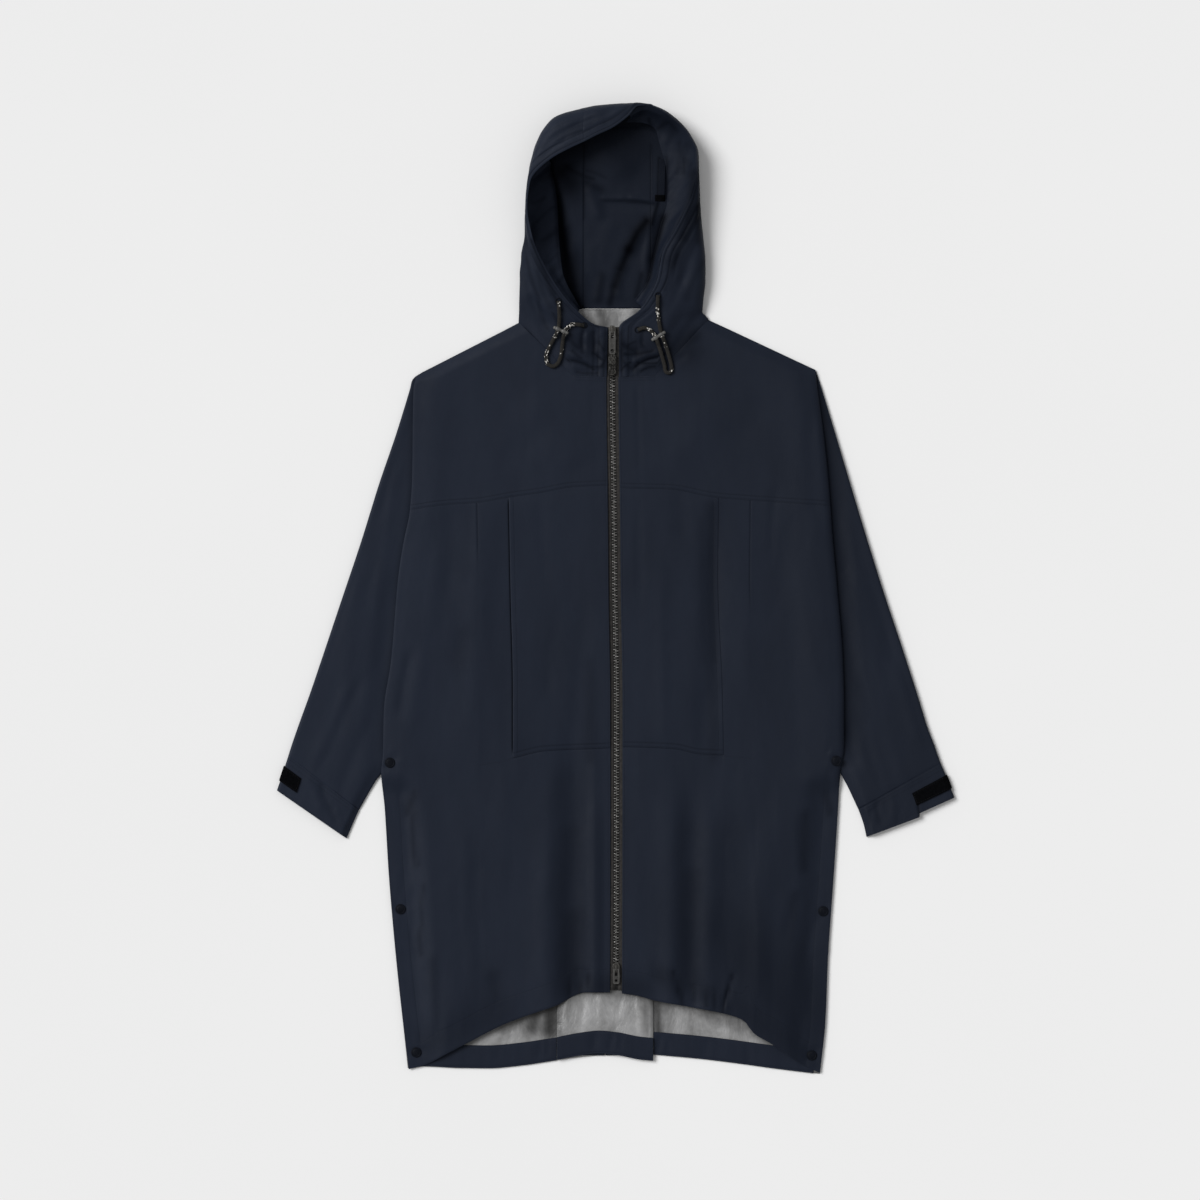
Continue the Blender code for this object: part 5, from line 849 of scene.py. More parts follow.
def mesh_object(name, points, faces, finishes, which=None, uv=None, marks=None, smooth=True, sharp=None):
    """A mesh in metres from points in mm and faces with equal numbers of corners."""
    points, faces = np.asarray(points, float), np.asarray(faces, int)
    mesh = bpy.data.meshes.new(name)
    corners = faces.shape[1]
    mesh.vertices.add(len(points))
    mesh.vertices.foreach_set("co", (points * MM).astype(np.float32).ravel())
    mesh.loops.add(faces.size)
    mesh.loops.foreach_set("vertex_index", faces.astype(np.int32).ravel())
    mesh.polygons.add(len(faces))
    mesh.polygons.foreach_set("loop_start", np.arange(0, faces.size, corners, dtype=np.int32))
    for finish in finishes:
        mesh.materials.append(finish)
    if which is not None:
        mesh.polygons.foreach_set("material_index", np.asarray(which, np.int32))
    if uv is not None:
        layer = mesh.uv_layers.new(name="cloth")
        layer.data.foreach_set("uv", (np.asarray(uv, float) * MM)[faces.ravel()].astype(np.float32).ravel())
    for key, values in (marks or {}).items():
        mesh.attributes.new(key, "FLOAT", "POINT").data.foreach_set("value", np.asarray(values, np.float32).ravel())
    mesh.update(calc_edges=True)
    mesh.validate()
    if smooth:
        mesh.shade_smooth()
    if sharp:
        mesh.set_sharp_from_angle(angle=math.radians(sharp))
    obj = bpy.data.objects.new(name, mesh)
    bpy.context.scene.collection.objects.link(obj)
    return obj


def shell(name, grid, wall, finishes, uv=None, wear=None, shade=None, body="garment", ease=(0.3, 0.3, 0.3, 0.3), rub=0.25):
    """A thin closed wall round a grid of middle points whose normals face outward, with its first and last rows and columns rounded by ease. The first finish is outside, the last inside."""
    rows, columns = grid.shape[:2]
    wall = np.broadcast_to(np.asarray(wall, float), (rows, columns)).copy()
    normal = normals_of(grid)
    edge = np.zeros_like(grid)
    pull = lambda a, b: (b - a) / np.maximum(np.linalg.norm(b - a, axis=-1, keepdims=True), 1e-9)
    edge[0] += pull(grid[0], grid[1]) * ease[0]
    edge[-1] += pull(grid[-1], grid[-2]) * ease[1]
    edge[:, 0] += pull(grid[:, 0], grid[:, 1]) * ease[2]
    edge[:, -1] += pull(grid[:, -1], grid[:, -2]) * ease[3]
    inner = grid + edge * wall[..., None]
    top, under = inner + normal * wall[..., None] / 2, inner - normal * wall[..., None] / 2
    count = rows * columns
    rim = [i for i in range(columns)] + [j * columns + columns - 1 for j in range(1, rows)]
    rim += [(rows - 1) * columns + i for i in range(columns - 2, -1, -1)] + [j * columns for j in range(rows - 2, 0, -1)]
    rim = np.array(rim)
    points = np.concatenate([top.reshape(-1, 3), under.reshape(-1, 3), grid.reshape(-1, 3)[rim]])
    a = (np.arange(rows - 1)[:, None] * columns + np.arange(columns - 1)).ravel()
    quads = np.stack([a, a + 1, a + columns + 1, a + columns], axis=1)
    nxt = np.roll(rim, -1)
    mid = 2 * count + np.arange(len(rim))
    mid_next = np.roll(mid, -1)
    sides = np.concatenate([np.stack([nxt, rim, mid, mid_next], axis=1), np.stack([mid_next, mid, rim + count, nxt + count], axis=1)])
    faces = np.concatenate([quads, quads[:, ::-1] + count, sides])
    which = np.concatenate([np.zeros(len(quads)), np.full(len(quads), len(finishes) - 1), np.zeros(len(sides))])
    if uv is None:
        u, v = arc_lengths(grid)
    else:
        u, v = uv
    flat = np.stack([u.ravel(), v.ravel()], axis=1)
    marks = {}
    for key, values in (("wear", wear), ("shade", shade)):
        values = np.zeros((rows, columns)) if values is None else np.broadcast_to(values, (rows, columns))
        if key == "wear":
            values = values.copy()
            for line in (values[0], values[-1], values[:, 0], values[:, -1]):
                np.maximum(line, rub, out=line)
        values = values.ravel()
        marks[key] = np.concatenate([values, values, values[rim]])
    obj = mesh_object(name, points, faces, finishes, which, np.concatenate([flat, flat, flat[rim]]), marks, sharp=75)
    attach(obj, body)
    made[name] = obj
    forms[name] = grid
    trees[name] = BVHTree.FromPolygons([tuple(p) for p in points], [tuple(int(i) for i in q) for q in quads])
    return obj


made, forms, trees = {}, {}, {}

# what shows of each piece laid flat, in metres, and its area in square metres
CUTS = {
    "cloth_front_left": (0.312, 0.760, 0.2105),
    "cloth_pocket_left": (0.135, 0.354, 0.0465),
    "cloth_yoke_left": (0.309, 0.235, 0.0508),
    "cloth_front_right": (0.320, 0.768, 0.2075),
    "cloth_pocket_right": (0.137, 0.352, 0.0464),
    "cloth_yoke_right": (0.316, 0.240, 0.0545),
    "cloth_back_yoke": (0.529, 0.267, 0.1217),
    "cloth_back_left": (0.363, 0.766, 0.2534),
    "cloth_back_right": (0.378, 0.770, 0.2702),
    "cloth_back_pleat": (0.132, 0.747, 0.0966),
    "cloth_hem_facing_left": (0.193, 0.031, 0.0059),
    "cloth_hem_facing_pleat": (0.132, 0.031, 0.0040),
    "cloth_hem_facing_right": (0.218, 0.031, 0.0067),
    "cloth_sleeve_left": (0.278, 0.608, 0.1017),
    "cloth_cuff_left": (0.244, 0.049, 0.0104),
    "cloth_sleeve_right": (0.286, 0.604, 0.0969),
    "cloth_cuff_right": (0.265, 0.051, 0.0116),
    "cloth_hood_left": (0.239, 0.400, 0.0424),
    "cloth_hood_right": (0.234, 0.424, 0.0397),
    "cloth_hood_middle": (0.339, 0.111, 0.0306),
    "cloth_casing_left": (0.046, 0.234, 0.0068),
    "cloth_casing_right": (0.050, 0.350, 0.0096),
    "cuff_strap_left": (0.034, 0.021, 0.0007),
    "cuff_strap_right": (0.058, 0.020, 0.0011),
    "tape_left": (0.014, 0.895, 0.0125),
    "tape_right": (0.014, 0.895, 0.0125),
}


def declare(name, held, rests_on, nodes, with_pieces=()):
    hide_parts(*nodes)
    pending.append((name, held, rests_on, with_pieces))


pending = []

SEWN = (0.5, 1.1, 1.7, 2.4, 3.4, 4.8, 6.3, 7.3, 8.2, 9.4, 10.6)
PLAIN = (0.6, 1.4, 3.0)
HEM = (0.6, 1.8, 5, 10)
SIDE = (0.5, 1.2, 2.2, 3.4, 5.0, 7.0, 9.0, 11.5, 15.0, 18.0, 19.2, 20.0, 20.8, 22.5)
ZIP_EDGE = (0.5, 1.2, 1.9, 2.5, 3.1, 4.2, 6.0, 8.0)
PITCH = 5.0
BESIDE = 12.0  # width of the bands of close rows along a seam
TUCK_AWAY = 43.0  # from the pocket's opening to the tuck outside it


def zip_edge(side, more=0.0):
    return lambda y: read(ZIP_LINE, np.clip(y, -545, 352)) + side * (ZIP_OPENING + more)


def zip_side(x, y, side):
    """Along the zip the front is turned in and stitched down: a firm rounded edge and one row of stitches."""
    d = np.maximum(side * (x - zip_edge(side)(y)), 0)
    return 0.12 * step((3.8 - d) / 1.4) + groove(d - 2.5, 0.7, 0.2) - 0.35 * np.exp(-((d / 0.7) ** 2)) + 0.13 * noise(y, d, 8, 20, 11) * np.exp(-((d / 7) ** 2))


for side, label in ((-1, "left"), (1, "right")):
    outer, hem = (SIDE_LEFT, HEM_LEFT) if side < 0 else (SIDE_RIGHT, HEM_RIGHT)
    opening = POCKET_LEFT if side < 0 else POCKET_RIGHT
    # front, from the hem to the yoke seam
    lines = [by(outer), by(outer, -side * 25), by(opening, side * 47), by(opening, side * 39), by(opening), zip_edge(side, 9), zip_edge(side)]
    parts = [stations(25, 4.5, SIDE), stations(90, PITCH), stations(8, 1.0), stations(39, PITCH, (), (0.4, 0.9, 1.5, 2.2, 3.2, 5)), stations(118, PITCH, (0.5, 1.2, 2.5)), stations(9, 3, (), ZIP_EDGE)]
    us = in_bands(*parts)
    if side > 0:
        lines, us = lines[::-1], len(parts) - us[::-1]
    stitched = hem_line(hem, HEM_TALL)
    over_line, under_line = (lambda x: stitched(x) + 3.0), (lambda x: stitched(x) - 3.0)
    edges = [by(hem), under_line, over_line, by(POCKET_SEAM, -BESIDE), by(POCKET_SEAM), by(POCKET_SEAM, BESIDE), by(YOKE_SEAM, -BESIDE), by(YOKE_SEAM, -0.05)]
    vs = in_bands(stations(28, 3.6, HEM), stations(6, 0.75), stations(310, PITCH), stations(BESIDE, 4, (), PLAIN), stations(BESIDE, 4, SEWN), stations(322, PITCH), stations(BESIDE, 4, (), PLAIN))
    x, y = two_way(lines, edges, us, vs)
    from_hem = from_line(by(hem), x, y)
    to_stitch = from_line(stitched, x, y)
    in_hem = step((0.8 - to_stitch) / 1.6)
    z = body_z(x, y)
    z = z + groove(to_stitch, 0.8, 0.1) - 0.1 * in_hem - 0.3 * np.exp(-((from_hem / 0.8) ** 2))
    z = z + 0.3 * noise(x, y, 6.5, 60, 21 + side) * np.exp(-((to_stitch / 13) ** 2)) + 0.22 * noise(x, y, 11, 70, 23 + side) * in_hem
    lower, upper = from_line(by(POCKET_SEAM), x, y), from_line(by(YOKE_SEAM, -0.05), x, y)
    outside_pocket = (x < by(opening)(y)) if side < 0 else (x > by(opening)(y))
    z = z + seam_flat(-upper, x, 31 + side) + zip_side(x, y, side)
    lower_seam = np.where(lower >= 0, 0.5 * groove(lower - 1.7, 0.7) + 0.5 * groove(lower - 7.3, 0.75) - 0.35 * np.exp(-((lower / 0.8) ** 2)) + 0.25 * step((10.2 - lower) / 2.4), -0.25 * np.exp(-((lower / 1.0) ** 2)))
    z = z + np.where(outside_pocket, 0.0, lower_seam) + np.where(outside_pocket, 0, 0.16 * noise(x, lower, 8, 30, 33) * np.exp(-((lower / 9) ** 2)))
    tuck = x - read(opening, y) - side * TUCK_AWAY  # the upright tuck outside the pocket, which dies out below
    z = z + (groove(tuck, 1.0, 0.3) + 0.1 * np.exp(-(((tuck - side * 2.5) / 2) ** 2))) * step((y - (20 if side < 0 else -40)) / 50)
    worn = 0.5 * np.exp(-((from_hem / 1.5) ** 2))
    inward = side * (read(outer, y) - x)
    worn = np.maximum(worn, 0.5 * np.exp(-((inward / 1.5) ** 2)))
    wall = FINE + 0.3 * in_hem
    shade = 1 - (1 - shading(BODY_SHADES, x, y)) * (1 - 0.35 * np.exp(-((tuck / 1.0) ** 2)) * step((y - (20 if side < 0 else -40)) / 50))
    slit = side * (x - read(opening, y))  # the pocket's mouth
    slit = np.where(slit > 0, slit, np.maximum(-slit - 5, 0))
    # painted shadow in the left pocket's open mouth, just outside its opening
    shade = 1 - (1 - shade) * (1 - (0.98 if side < 0 else 0.0) * np.exp(-((slit / (1.7 if side < 0 else 1.2)) ** 2)) * step((y + 224) / 12) * step((124 - y) / 8))
    shell("cloth_front_" + label, level(x, y, z), wall, (NAVY, SILVER), (x, y), worn, shade, ease=(0.3, SHUT, 0.3, 0.3))
    declare("cloth_front_" + label, "laid", ["cloth_back_" + label, "cloth_sleeve_" + label], ["front_" + label])

    # pocket panel, from the lower seam to the yoke seam, its outer edge standing open a little
    lines = [by(opening), by(opening, -side * 12), zip_edge(side, 9), zip_edge(side, 0.5)]
    parts = [stations(12, 3, (0.5, 1.1, 1.8, 2.6, 4.0, 5.6, 6.4, 7.2)), stations(106, PITCH), stations(9, 3, (), ZIP_EDGE)]
    us = in_bands(*parts)
    if side > 0:
        lines, us = lines[::-1], len(parts) - us[::-1]
    edges = [by(POCKET_SEAM, 0.3), by(POCKET_SEAM, BESIDE), by(YOKE_SEAM, -BESIDE), by(YOKE_SEAM, -0.1)]
    vs = in_bands(stations(BESIDE, 4, SEWN), stations(322, PITCH), stations(BESIDE, 4, (), PLAIN))
    x, y = two_way(lines, edges, us, vs)
    lower, upper = from_line(by(POCKET_SEAM, 0.3), x, y), -from_line(by(YOKE_SEAM, -0.1), x, y)
    open_side = np.maximum(side * (read(opening, y) - x), 0)
    held_down = np.minimum(step(lower / 26), step(upper / 26))
    free = 1.0 if side < 0 else step(open_side / 30)
    lift = 0.62 + 0.4 * step(np.minimum(lower, upper) / 12) * free + (0.25 * free + (1.0 if side < 0 else 0.1) * np.exp(-((open_side / 22) ** 2))) * held_down
    base = level(x, y, body_z(x, y) + zip_side(x, y, side) * 0.5)
    z = base[..., 2] + lift + seam_sewn(lower, x, 41 + side) * 0.8 + seam_flat(upper, x, 31 + side) * 0.8
    z = z + (0.08 if side < 0 else 0.04) * step((7.6 - open_side) / 1.8) + groove(open_side - 6.4, 0.7, 0.1) - (0.4 if side < 0 else 0.2) * np.exp(-((open_side / 0.8) ** 2)) + 0.16 * noise(y, open_side, 9, 30, 43 + side) * np.exp(-((open_side / 9) ** 2))
    z = z + 0.5 * zip_side(x, y, side)
    worn = 0.1 * np.exp(-((open_side / 1.2) ** 2))
    shade = 1 - (1 - shading(BODY_SHADES, x, y)) * (1 - 0.2 * np.exp(-(((lower - 6.6) / 0.9) ** 2))) * (1 - 0.16 * np.exp(-((lower / 1.6) ** 2)))
    shell("cloth_pocket_" + label, level(x, y, z), FINE, (NAVY,), (x, y), worn, shade, ease=(0.3, SHUT, 0.3, 0.3))
    declare("cloth_pocket_" + label, "laid", ["cloth_front_" + label], ["pocket_" + label])

    # yoke, from the yoke seam to the shoulder and the neck seam
    neck, chest = (NECK_LEFT[0], CHEST_LEFT) if side < 0 else (NECK_RIGHT[0], CHEST_RIGHT)
    tops = by_straight(TOP_FRONT, 0.15)
    lines = [by(outer), by(outer, -side * 25), fixed(neck), fixed(chest), zip_edge(side, 9), zip_edge(side)]
    parts = [stations(25, 4.5, SIDE[:9]), stations(120, PITCH), stations(73, 2.1), stations(38, 1.6), stations(9, 2, (), ZIP_EDGE)]
    us = in_bands(*parts)
    if side > 0:
        lines, us = lines[::-1], len(parts) - us[::-1]
    edges = [by(YOKE_SEAM, -0.05), by(YOKE_SEAM, BESIDE), by_straight(TOP_FRONT, -12.4), tops]
    upper_close = np.concatenate([np.linspace(0, 0.5, 19)[:-1], np.linspace(0.5, 1, 50)])
    vs = in_bands(stations(BESIDE, 4, SEWN), upper_close, stations(BESIDE, 2.0, (), PLAIN))
    x, y = two_way(lines, edges, us, vs)
    lower, upper = from_line(by(YOKE_SEAM, -0.05), x, y), np.maximum(tops(x) - y, 0)
    at_neck = step((131 - np.abs(x + 3)) / 4)
    z = body_z(x, y) + seam_sewn(lower, x, 51 + side) + zip_side(x, y, side)
    z = z + at_neck * (-0.1 * np.exp(-((upper / 1.0) ** 2)) + 0.25 * noise(x, y, 9, 9, 53 + side) * np.exp(-((upper / 12) ** 2)))
    worn = 0.3 * np.exp(-((shoulder_distance(x, y) / 4) ** 2)) * (1 - at_neck)
    shade = 1 - (1 - shading(both(BODY_SHADES, HOOD_SHADES), x, y)) * (1 - 0.12 * np.exp(-(((lower - 6.6) / 0.9) ** 2))) * (1 - 0.16 * np.exp(-((lower / 1.4) ** 2)))
    shell("cloth_yoke_" + label, level(x, y, z), FINE, (NAVY, SILVER), (x, y), worn, shade, ease=(SHUT, SHUT, 0.3, 0.3))
    declare("cloth_yoke_" + label, "laid", ["cloth_back_yoke", "cloth_sleeve_" + label], ["yoke_" + label])


# ---------------------------------------------------------------- back: its inside shows at the neck and between the hems
def silver_z(x, y, seed):
    """Crushed, satiny unevenness of the coated inside."""
    return 0.55 * noise(x, y, 26, 30, seed) + 0.35 * noise(x, y, 11, 13, seed + 1) + 0.15 * noise(x, y, 5.5, 6, seed + 2)


SILVER_SHADES = table(SHADE_COLUMNS, [
    (-85, -534, -90, -594, 0, 15, 0.99), (-100, -542, -112, -590, 0, 14, 0.92), (-118, -566, -134, -582, 0, 9, 0.5), (-80, -566, -84, -600, 0, 5, 0.5), (55, -540, 58, -608, 0, 9, 0.92), (68, -566, 72, -600, 0, 11, 0.35), (40, -562, 43, -600, 0, 4, 0.35), (-150, -594, -110, -574, 0, 9, 0.55),
    (-20, -560, -16, -596, 0, 5, 0.12), (20, -566, 24, -598, 0, 5, 0.12), (120, -572, 170, -592, 0, 8, 0.4), (-50, -556, -54, -598, 0, 4, 0.12), (100, -570, 104, -600, 0, 7, 0.15)])


NECK_SHADES = table(SHADE_COLUMNS, [
    (-21, 380, -16, 358, 0, 8, 0.72), (-8, 376, -12, 362, 0, 4, 0.4), (-43, 368, -38, 361, 0, 3.6, 0.6), (27, 375, 31, 366, 0, 4.6, 0.66), (-37, 374, -34, 362, 0, 5, 0.45),
    (-31, 358, -24, 352, 0, 4, 0.35), (-2, 370, 2, 354, 0, 4, 0.3), (8, 362, 14, 352, 0, 3.4, 0.25)])


def under_hem(x, y):
    """Shade on the inside of the back: soft under the front's hem, and in its own folds."""
    hem = np.where(x < 0, read(HEM_LEFT, np.minimum(x, -4)), read(HEM_RIGHT, np.maximum(x, 4)))
    near = 0.62 * np.exp(-((np.maximum(hem - y, 0) / 8.0) ** 1.5))
    return 1 - (1 - near) * (1 - shading(SILVER_SHADES, x, y))


lines = [by_straight(YOKE_SIDE_LEFT, 0.7), fixed(NECK_LEFT[0]), fixed(HOOD_SEAM_LEFT), fixed(HOOD_SEAM_RIGHT), fixed(NECK_RIGHT[0]), by_straight(YOKE_SIDE_RIGHT, -0.7)]
us = in_bands(stations(125, 12), stations(88, 6), stations(90, 3.2), stations(77, 6), stations(130, 12))
edges = [fixed(BACK_YOKE_SEAM), fixed(270.0), by_straight(TOP_BACK, -0.4)]
x, y = two_way(lines, edges, us, in_bands(stations(158, 14), stations(108, 3.2)))
near = step((y - 300) / 20) * step((TOP_BACK["y"].max() - y) / 4) * step((60 - np.abs(x)) / 12)
z = FLOOR_MID + 0.1 + (0.6 + 1.5 * silver_z(x, y, 61)) * near * 0.9
shade = np.clip(0.25 * step((y - 374) / 6) + 0.3 * step((-34 - x) / 10) + 0.45 * step((x - 26) / 8), 0, 1)
shade = 1 - (1 - shade) * (1 - shading(NECK_SHADES, x, y)) * (1 - 0.2 * np.clip(noise(x, y, 5, 7, 65), 0, 1))
shell("cloth_back_yoke", level(x, y, z), PLAIN_WALL, (SILVER, NAVY), (x, y), None, shade)
declare("cloth_back_yoke", "laid", [], ["back_yoke"])

for side, label in ((-1, "left"), (1, "right")):
    edge = BACK_SIDE_LEFT if side < 0 else BACK_SIDE_RIGHT
    end = PLEAT_LEFT + 1.2 if side < 0 else PLEAT_RIGHT - 1.2
    fold = PLEAT_MIDDLE + side * (LAYER / 2 + 0.9)
    low, high = edge["y"][0], edge["y"][-1]
    us = in_bands(stations(260, 4.5, (0.6, 1.8)))
    edges = [by(BACK_HEM), by(BACK_HEM, 34), fixed(-520.0), fixed(BACK_YOKE_SEAM - GAP)]
    vs = in_bands(stations(34, 5, (0.6, 1.6, 3)), stations(80, 3.2), stations(620, 16))
    lines = [by_straight(edge), fixed(fold)]
    if side > 0:
        lines, us = lines[::-1], 1 - us[::-1]
    x, y = two_way(lines, edges, us, vs)
    seen = step((-505 - y) / 20) * step((y - by(BACK_HEM)(x) - 34) / 6)
    flat = level(x, y, FLOOR_MID + (0.35 + 0.7 * silver_z(x, y, 71 + side)) * seen * step(np.abs(x - fold) / 12))
    column = flat[:, -1:] if side < 0 else flat[:, :1]
    turn = []
    for a in np.linspace(-math.pi / 2, math.pi / 2, 8)[1:]:
        turn.append(level(column[..., 0] - side * (LAYER / 2) * math.cos(a), column[..., 1], FLOOR_MID + LAYER / 2 * (1 + math.sin(a))))
    for t in np.linspace(0, 1, 12)[1:]:
        at = column[..., 0] + (end - column[..., 0]) * t
        rest = 0.3 * step((-505 - column[..., 1]) / 20) * noise(at, column[..., 1], 20, 26, 77)
        turn.append(level(at, column[..., 1], FLOOR_MID + LAYER + rest * t))
    grid = np.concatenate([flat, *turn], axis=1) if side < 0 else np.concatenate([*turn[::-1], flat], axis=1)
    shell("cloth_back_" + label, grid, PLAIN_WALL, (SILVER, NAVY), None, None, under_hem(grid[..., 0], grid[..., 1]))
    declare("cloth_back_" + label, "folded", [], ["back_" + label])

us, vs = stations(130, 3.4, (0.5, 1.5), (0.5, 1.5)), in_bands(stations(34, 5, (0.6, 1.6)), stations(80, 3.6), stations(620, 18))
x, y = two_way([fixed(PLEAT_LEFT), fixed(PLEAT_RIGHT)], [by(PLEAT_HEM), by(PLEAT_HEM, 34), fixed(-515.0), fixed(BACK_YOKE_SEAM - GAP)], us, vs)
seen = step((-500 - y) / 20)
edge_roll = np.minimum(x - PLEAT_LEFT, PLEAT_RIGHT - x)
PLEAT_FOLDS = table(CREASE_COLUMNS, [(-62, -540, -66, -600, 2, 5, 1.4), (-44, -548, -50, -604, -2, 4, -0.9), (-20, -545, -14, -604, 2, 6, 1.2), (8, -548, 0, -600, 1, 4, -0.8), (30, -550, 34, -604, -2, 5, 1.2), (44, -560, 46, -606, 0, 3, -0.8)])
z = FLOOR_MID + 2 * LAYER + 0.2 + (0.4 + 0.9 * silver_z(x, y, 81) + crease(PLEAT_FOLDS, x, y)) * seen * step(edge_roll / 10) * step((y - read(PLEAT_HEM, x) - 30) / 8) - 0.7 * np.exp(-((edge_roll / 1.2) ** 2))
shell("cloth_back_pleat", level(x, y, z), PLAIN_WALL, (SILVER, NAVY), (x, y), None, under_hem(x, y))
declare("cloth_back_pleat", "folded", ["cloth_back_left", "cloth_back_right"], ["back_pleat"])

BAND_LIFT = WALL / 2 + GAP + BAND_WALL / 2
BAND_PUCKERS = table(CREASE_COLUMNS, [(-104, -634, -100, -606, 0, 4, -0.7), (-92, -632, -90, -604, 0, 3, -0.8), (-30, -622, -28, -598, 0, 4, -0.7), (-8, -622, -4, -598, 0, 4, -0.9), (6, -622, 8, -598, 0, 3, -0.7), (56, -628, 62, -600, 0, 4, -1.0), (70, -628, 72, -604, 0, 3, -0.6), (-160, -640, -156, -612, 0, 5, -0.5), (120, -632, 124, -606, 0, 5, -0.5), (180, -640, 178, -612, 0, 5, -0.5)])
for name, hem, low, high, start, end in (
    ("left", BACK_HEM, -0.3, FLOOR_MID, -271.0, PLEAT_LEFT - 0.3), ("pleat", PLEAT_HEM, -0.3, FLOOR_MID + 2 * LAYER + 0.2, PLEAT_LEFT + 0.1, PLEAT_RIGHT - 0.1), ("right", BACK_HEM, -0.3, FLOOR_MID, PLEAT_RIGHT + 0.3, 267.0)):
    us, vs = stations(end - start, 3.6, (0.5, 1.5), (0.5, 1.5)), stations(BAND_TALL, 3.6, (0.5, 1.2, 2.0, 2.8, 4), (0.5, 1.2, 2.0, 2.8, 4))
    x, v = np.meshgrid(start + (end - start) * us, vs)
    y = read(hem, x) + low + v * BAND_TALL
    d0, d1 = v * BAND_TALL, (1 - v) * BAND_TALL
    z = high + BAND_LIFT + groove(d0 - 2, 0.7, 0.25) + groove(d1 - 2, 0.7, 0.25) - 0.35 * np.exp(-((d0 / 0.8) ** 2)) - 0.35 * np.exp(-((d1 / 0.8) ** 2))
    z = z + 0.28 * noise(x, y, 7, 50, 91) + crease(BAND_PUCKERS, x, y) + 0.2 * noise(x, y, 22, 60, 92) + 0.3
    worn = 0.5 * np.exp(-((d1 / 1.2) ** 2)) + 0.4 * np.exp(-((d0 / 1.2) ** 2))
    shell("cloth_hem_facing_" + name, level(x, y, z), 0.8, (BAND,), (x, y), worn)
    declare("cloth_hem_facing_" + name, "laid", ["cloth_back_" + name], ["hem_facing_" + name])


# ---------------------------------------------------------------- sleeves and cuffs
CUFF_SHADES = table(SHADE_COLUMNS, [(408, -291, 411.5, -310, 0, 1.7, 0.6), (-398, -262, -372, -318, 2, 5, 0.1), (352, -286, 360, -318, 2, 5, 0.1)])
RIGHT_VALLEY = 4.2  # height of the right sleeve's top where the body's fold stands over it


def tube(rows, pitch, bottom, arc, columns, valley=None, place=None):
    """Middle surface of a flat tube in fine sections. Gives the grid, the distance in from the outer fold, and 1 on the top layer."""
    count = len(rows["ox"])
    length = np.concatenate([[0], np.cumsum(np.hypot(np.diff(rows["ox"]), np.diff(rows["oy"])))])
    at = np.interp(place if place is not None else np.arange(0, length[-1] + pitch * 0.5, length[-1] / round(length[-1] / pitch)), length, np.arange(count))
    index = np.arange(count)
    r = {name: (smooth(index, column, at) if name in ("ox", "oy", "ix", "iy") else np.interp(at, index, column)) for name, column in rows.items()}
    end = r["end"].copy()
    if valley is not None:
        end = np.where(r["under"] > 5, np.minimum(end, valley), end)
    outer, inner = np.stack([r["ox"], r["oy"]], axis=1), np.stack([r["ix"], r["iy"]], axis=1)
    width = np.linalg.norm(inner - outer, axis=1)
    inward = (inner - outer) / width[:, None]
    fold = np.minimum(6.6, r["top"])
    radius = (fold - FLOOR_MID) / 2
    n_top = columns
    grids, qs, tops = [], [], []
    for n in range(len(at)):
        w, R = width[n], radius[n]
        q = list(np.linspace(w, R, bottom))
        z = [FLOOR_MID] * bottom
        for a in np.linspace(-math.pi / 2, math.pi / 2, arc + 2)[1:-1]:
            q.append(R - R * math.cos(a))
            z.append(FLOOR_MID + R * (1 + math.sin(a)))
        above = np.linspace(R, w, n_top)
        crown = r["top"][n] - (r["top"][n] - fold[n]) * (1 - step((above - R) / (0.4 * w)))
        crown = end[n] + (crown - end[n]) * step((w - above - r["under"][n]) / (r["rise"][n] * (1.35 if valley is not None else 1)))
        q += list(above)
        z += list(crown)
        q, z = np.array(q), np.array(z)
        plan = outer[n] + inward[n] * q[:, None]
        grids.append(np.concatenate([plan, z[:, None]], axis=1))
        qs.append(q)
        tops.append(np.concatenate([np.zeros(bottom + arc), np.ones(n_top)]))
    return np.array(grids), np.array(qs), np.array(tops), length[-1], r


def before(more, rows):
    """The same sections with more in front, where the sleeve runs out under the shoulder point."""
    first = table(SLEEVE_COLUMNS, more)
    return {name: np.concatenate([first[name], column]) for name, column in rows.items()}


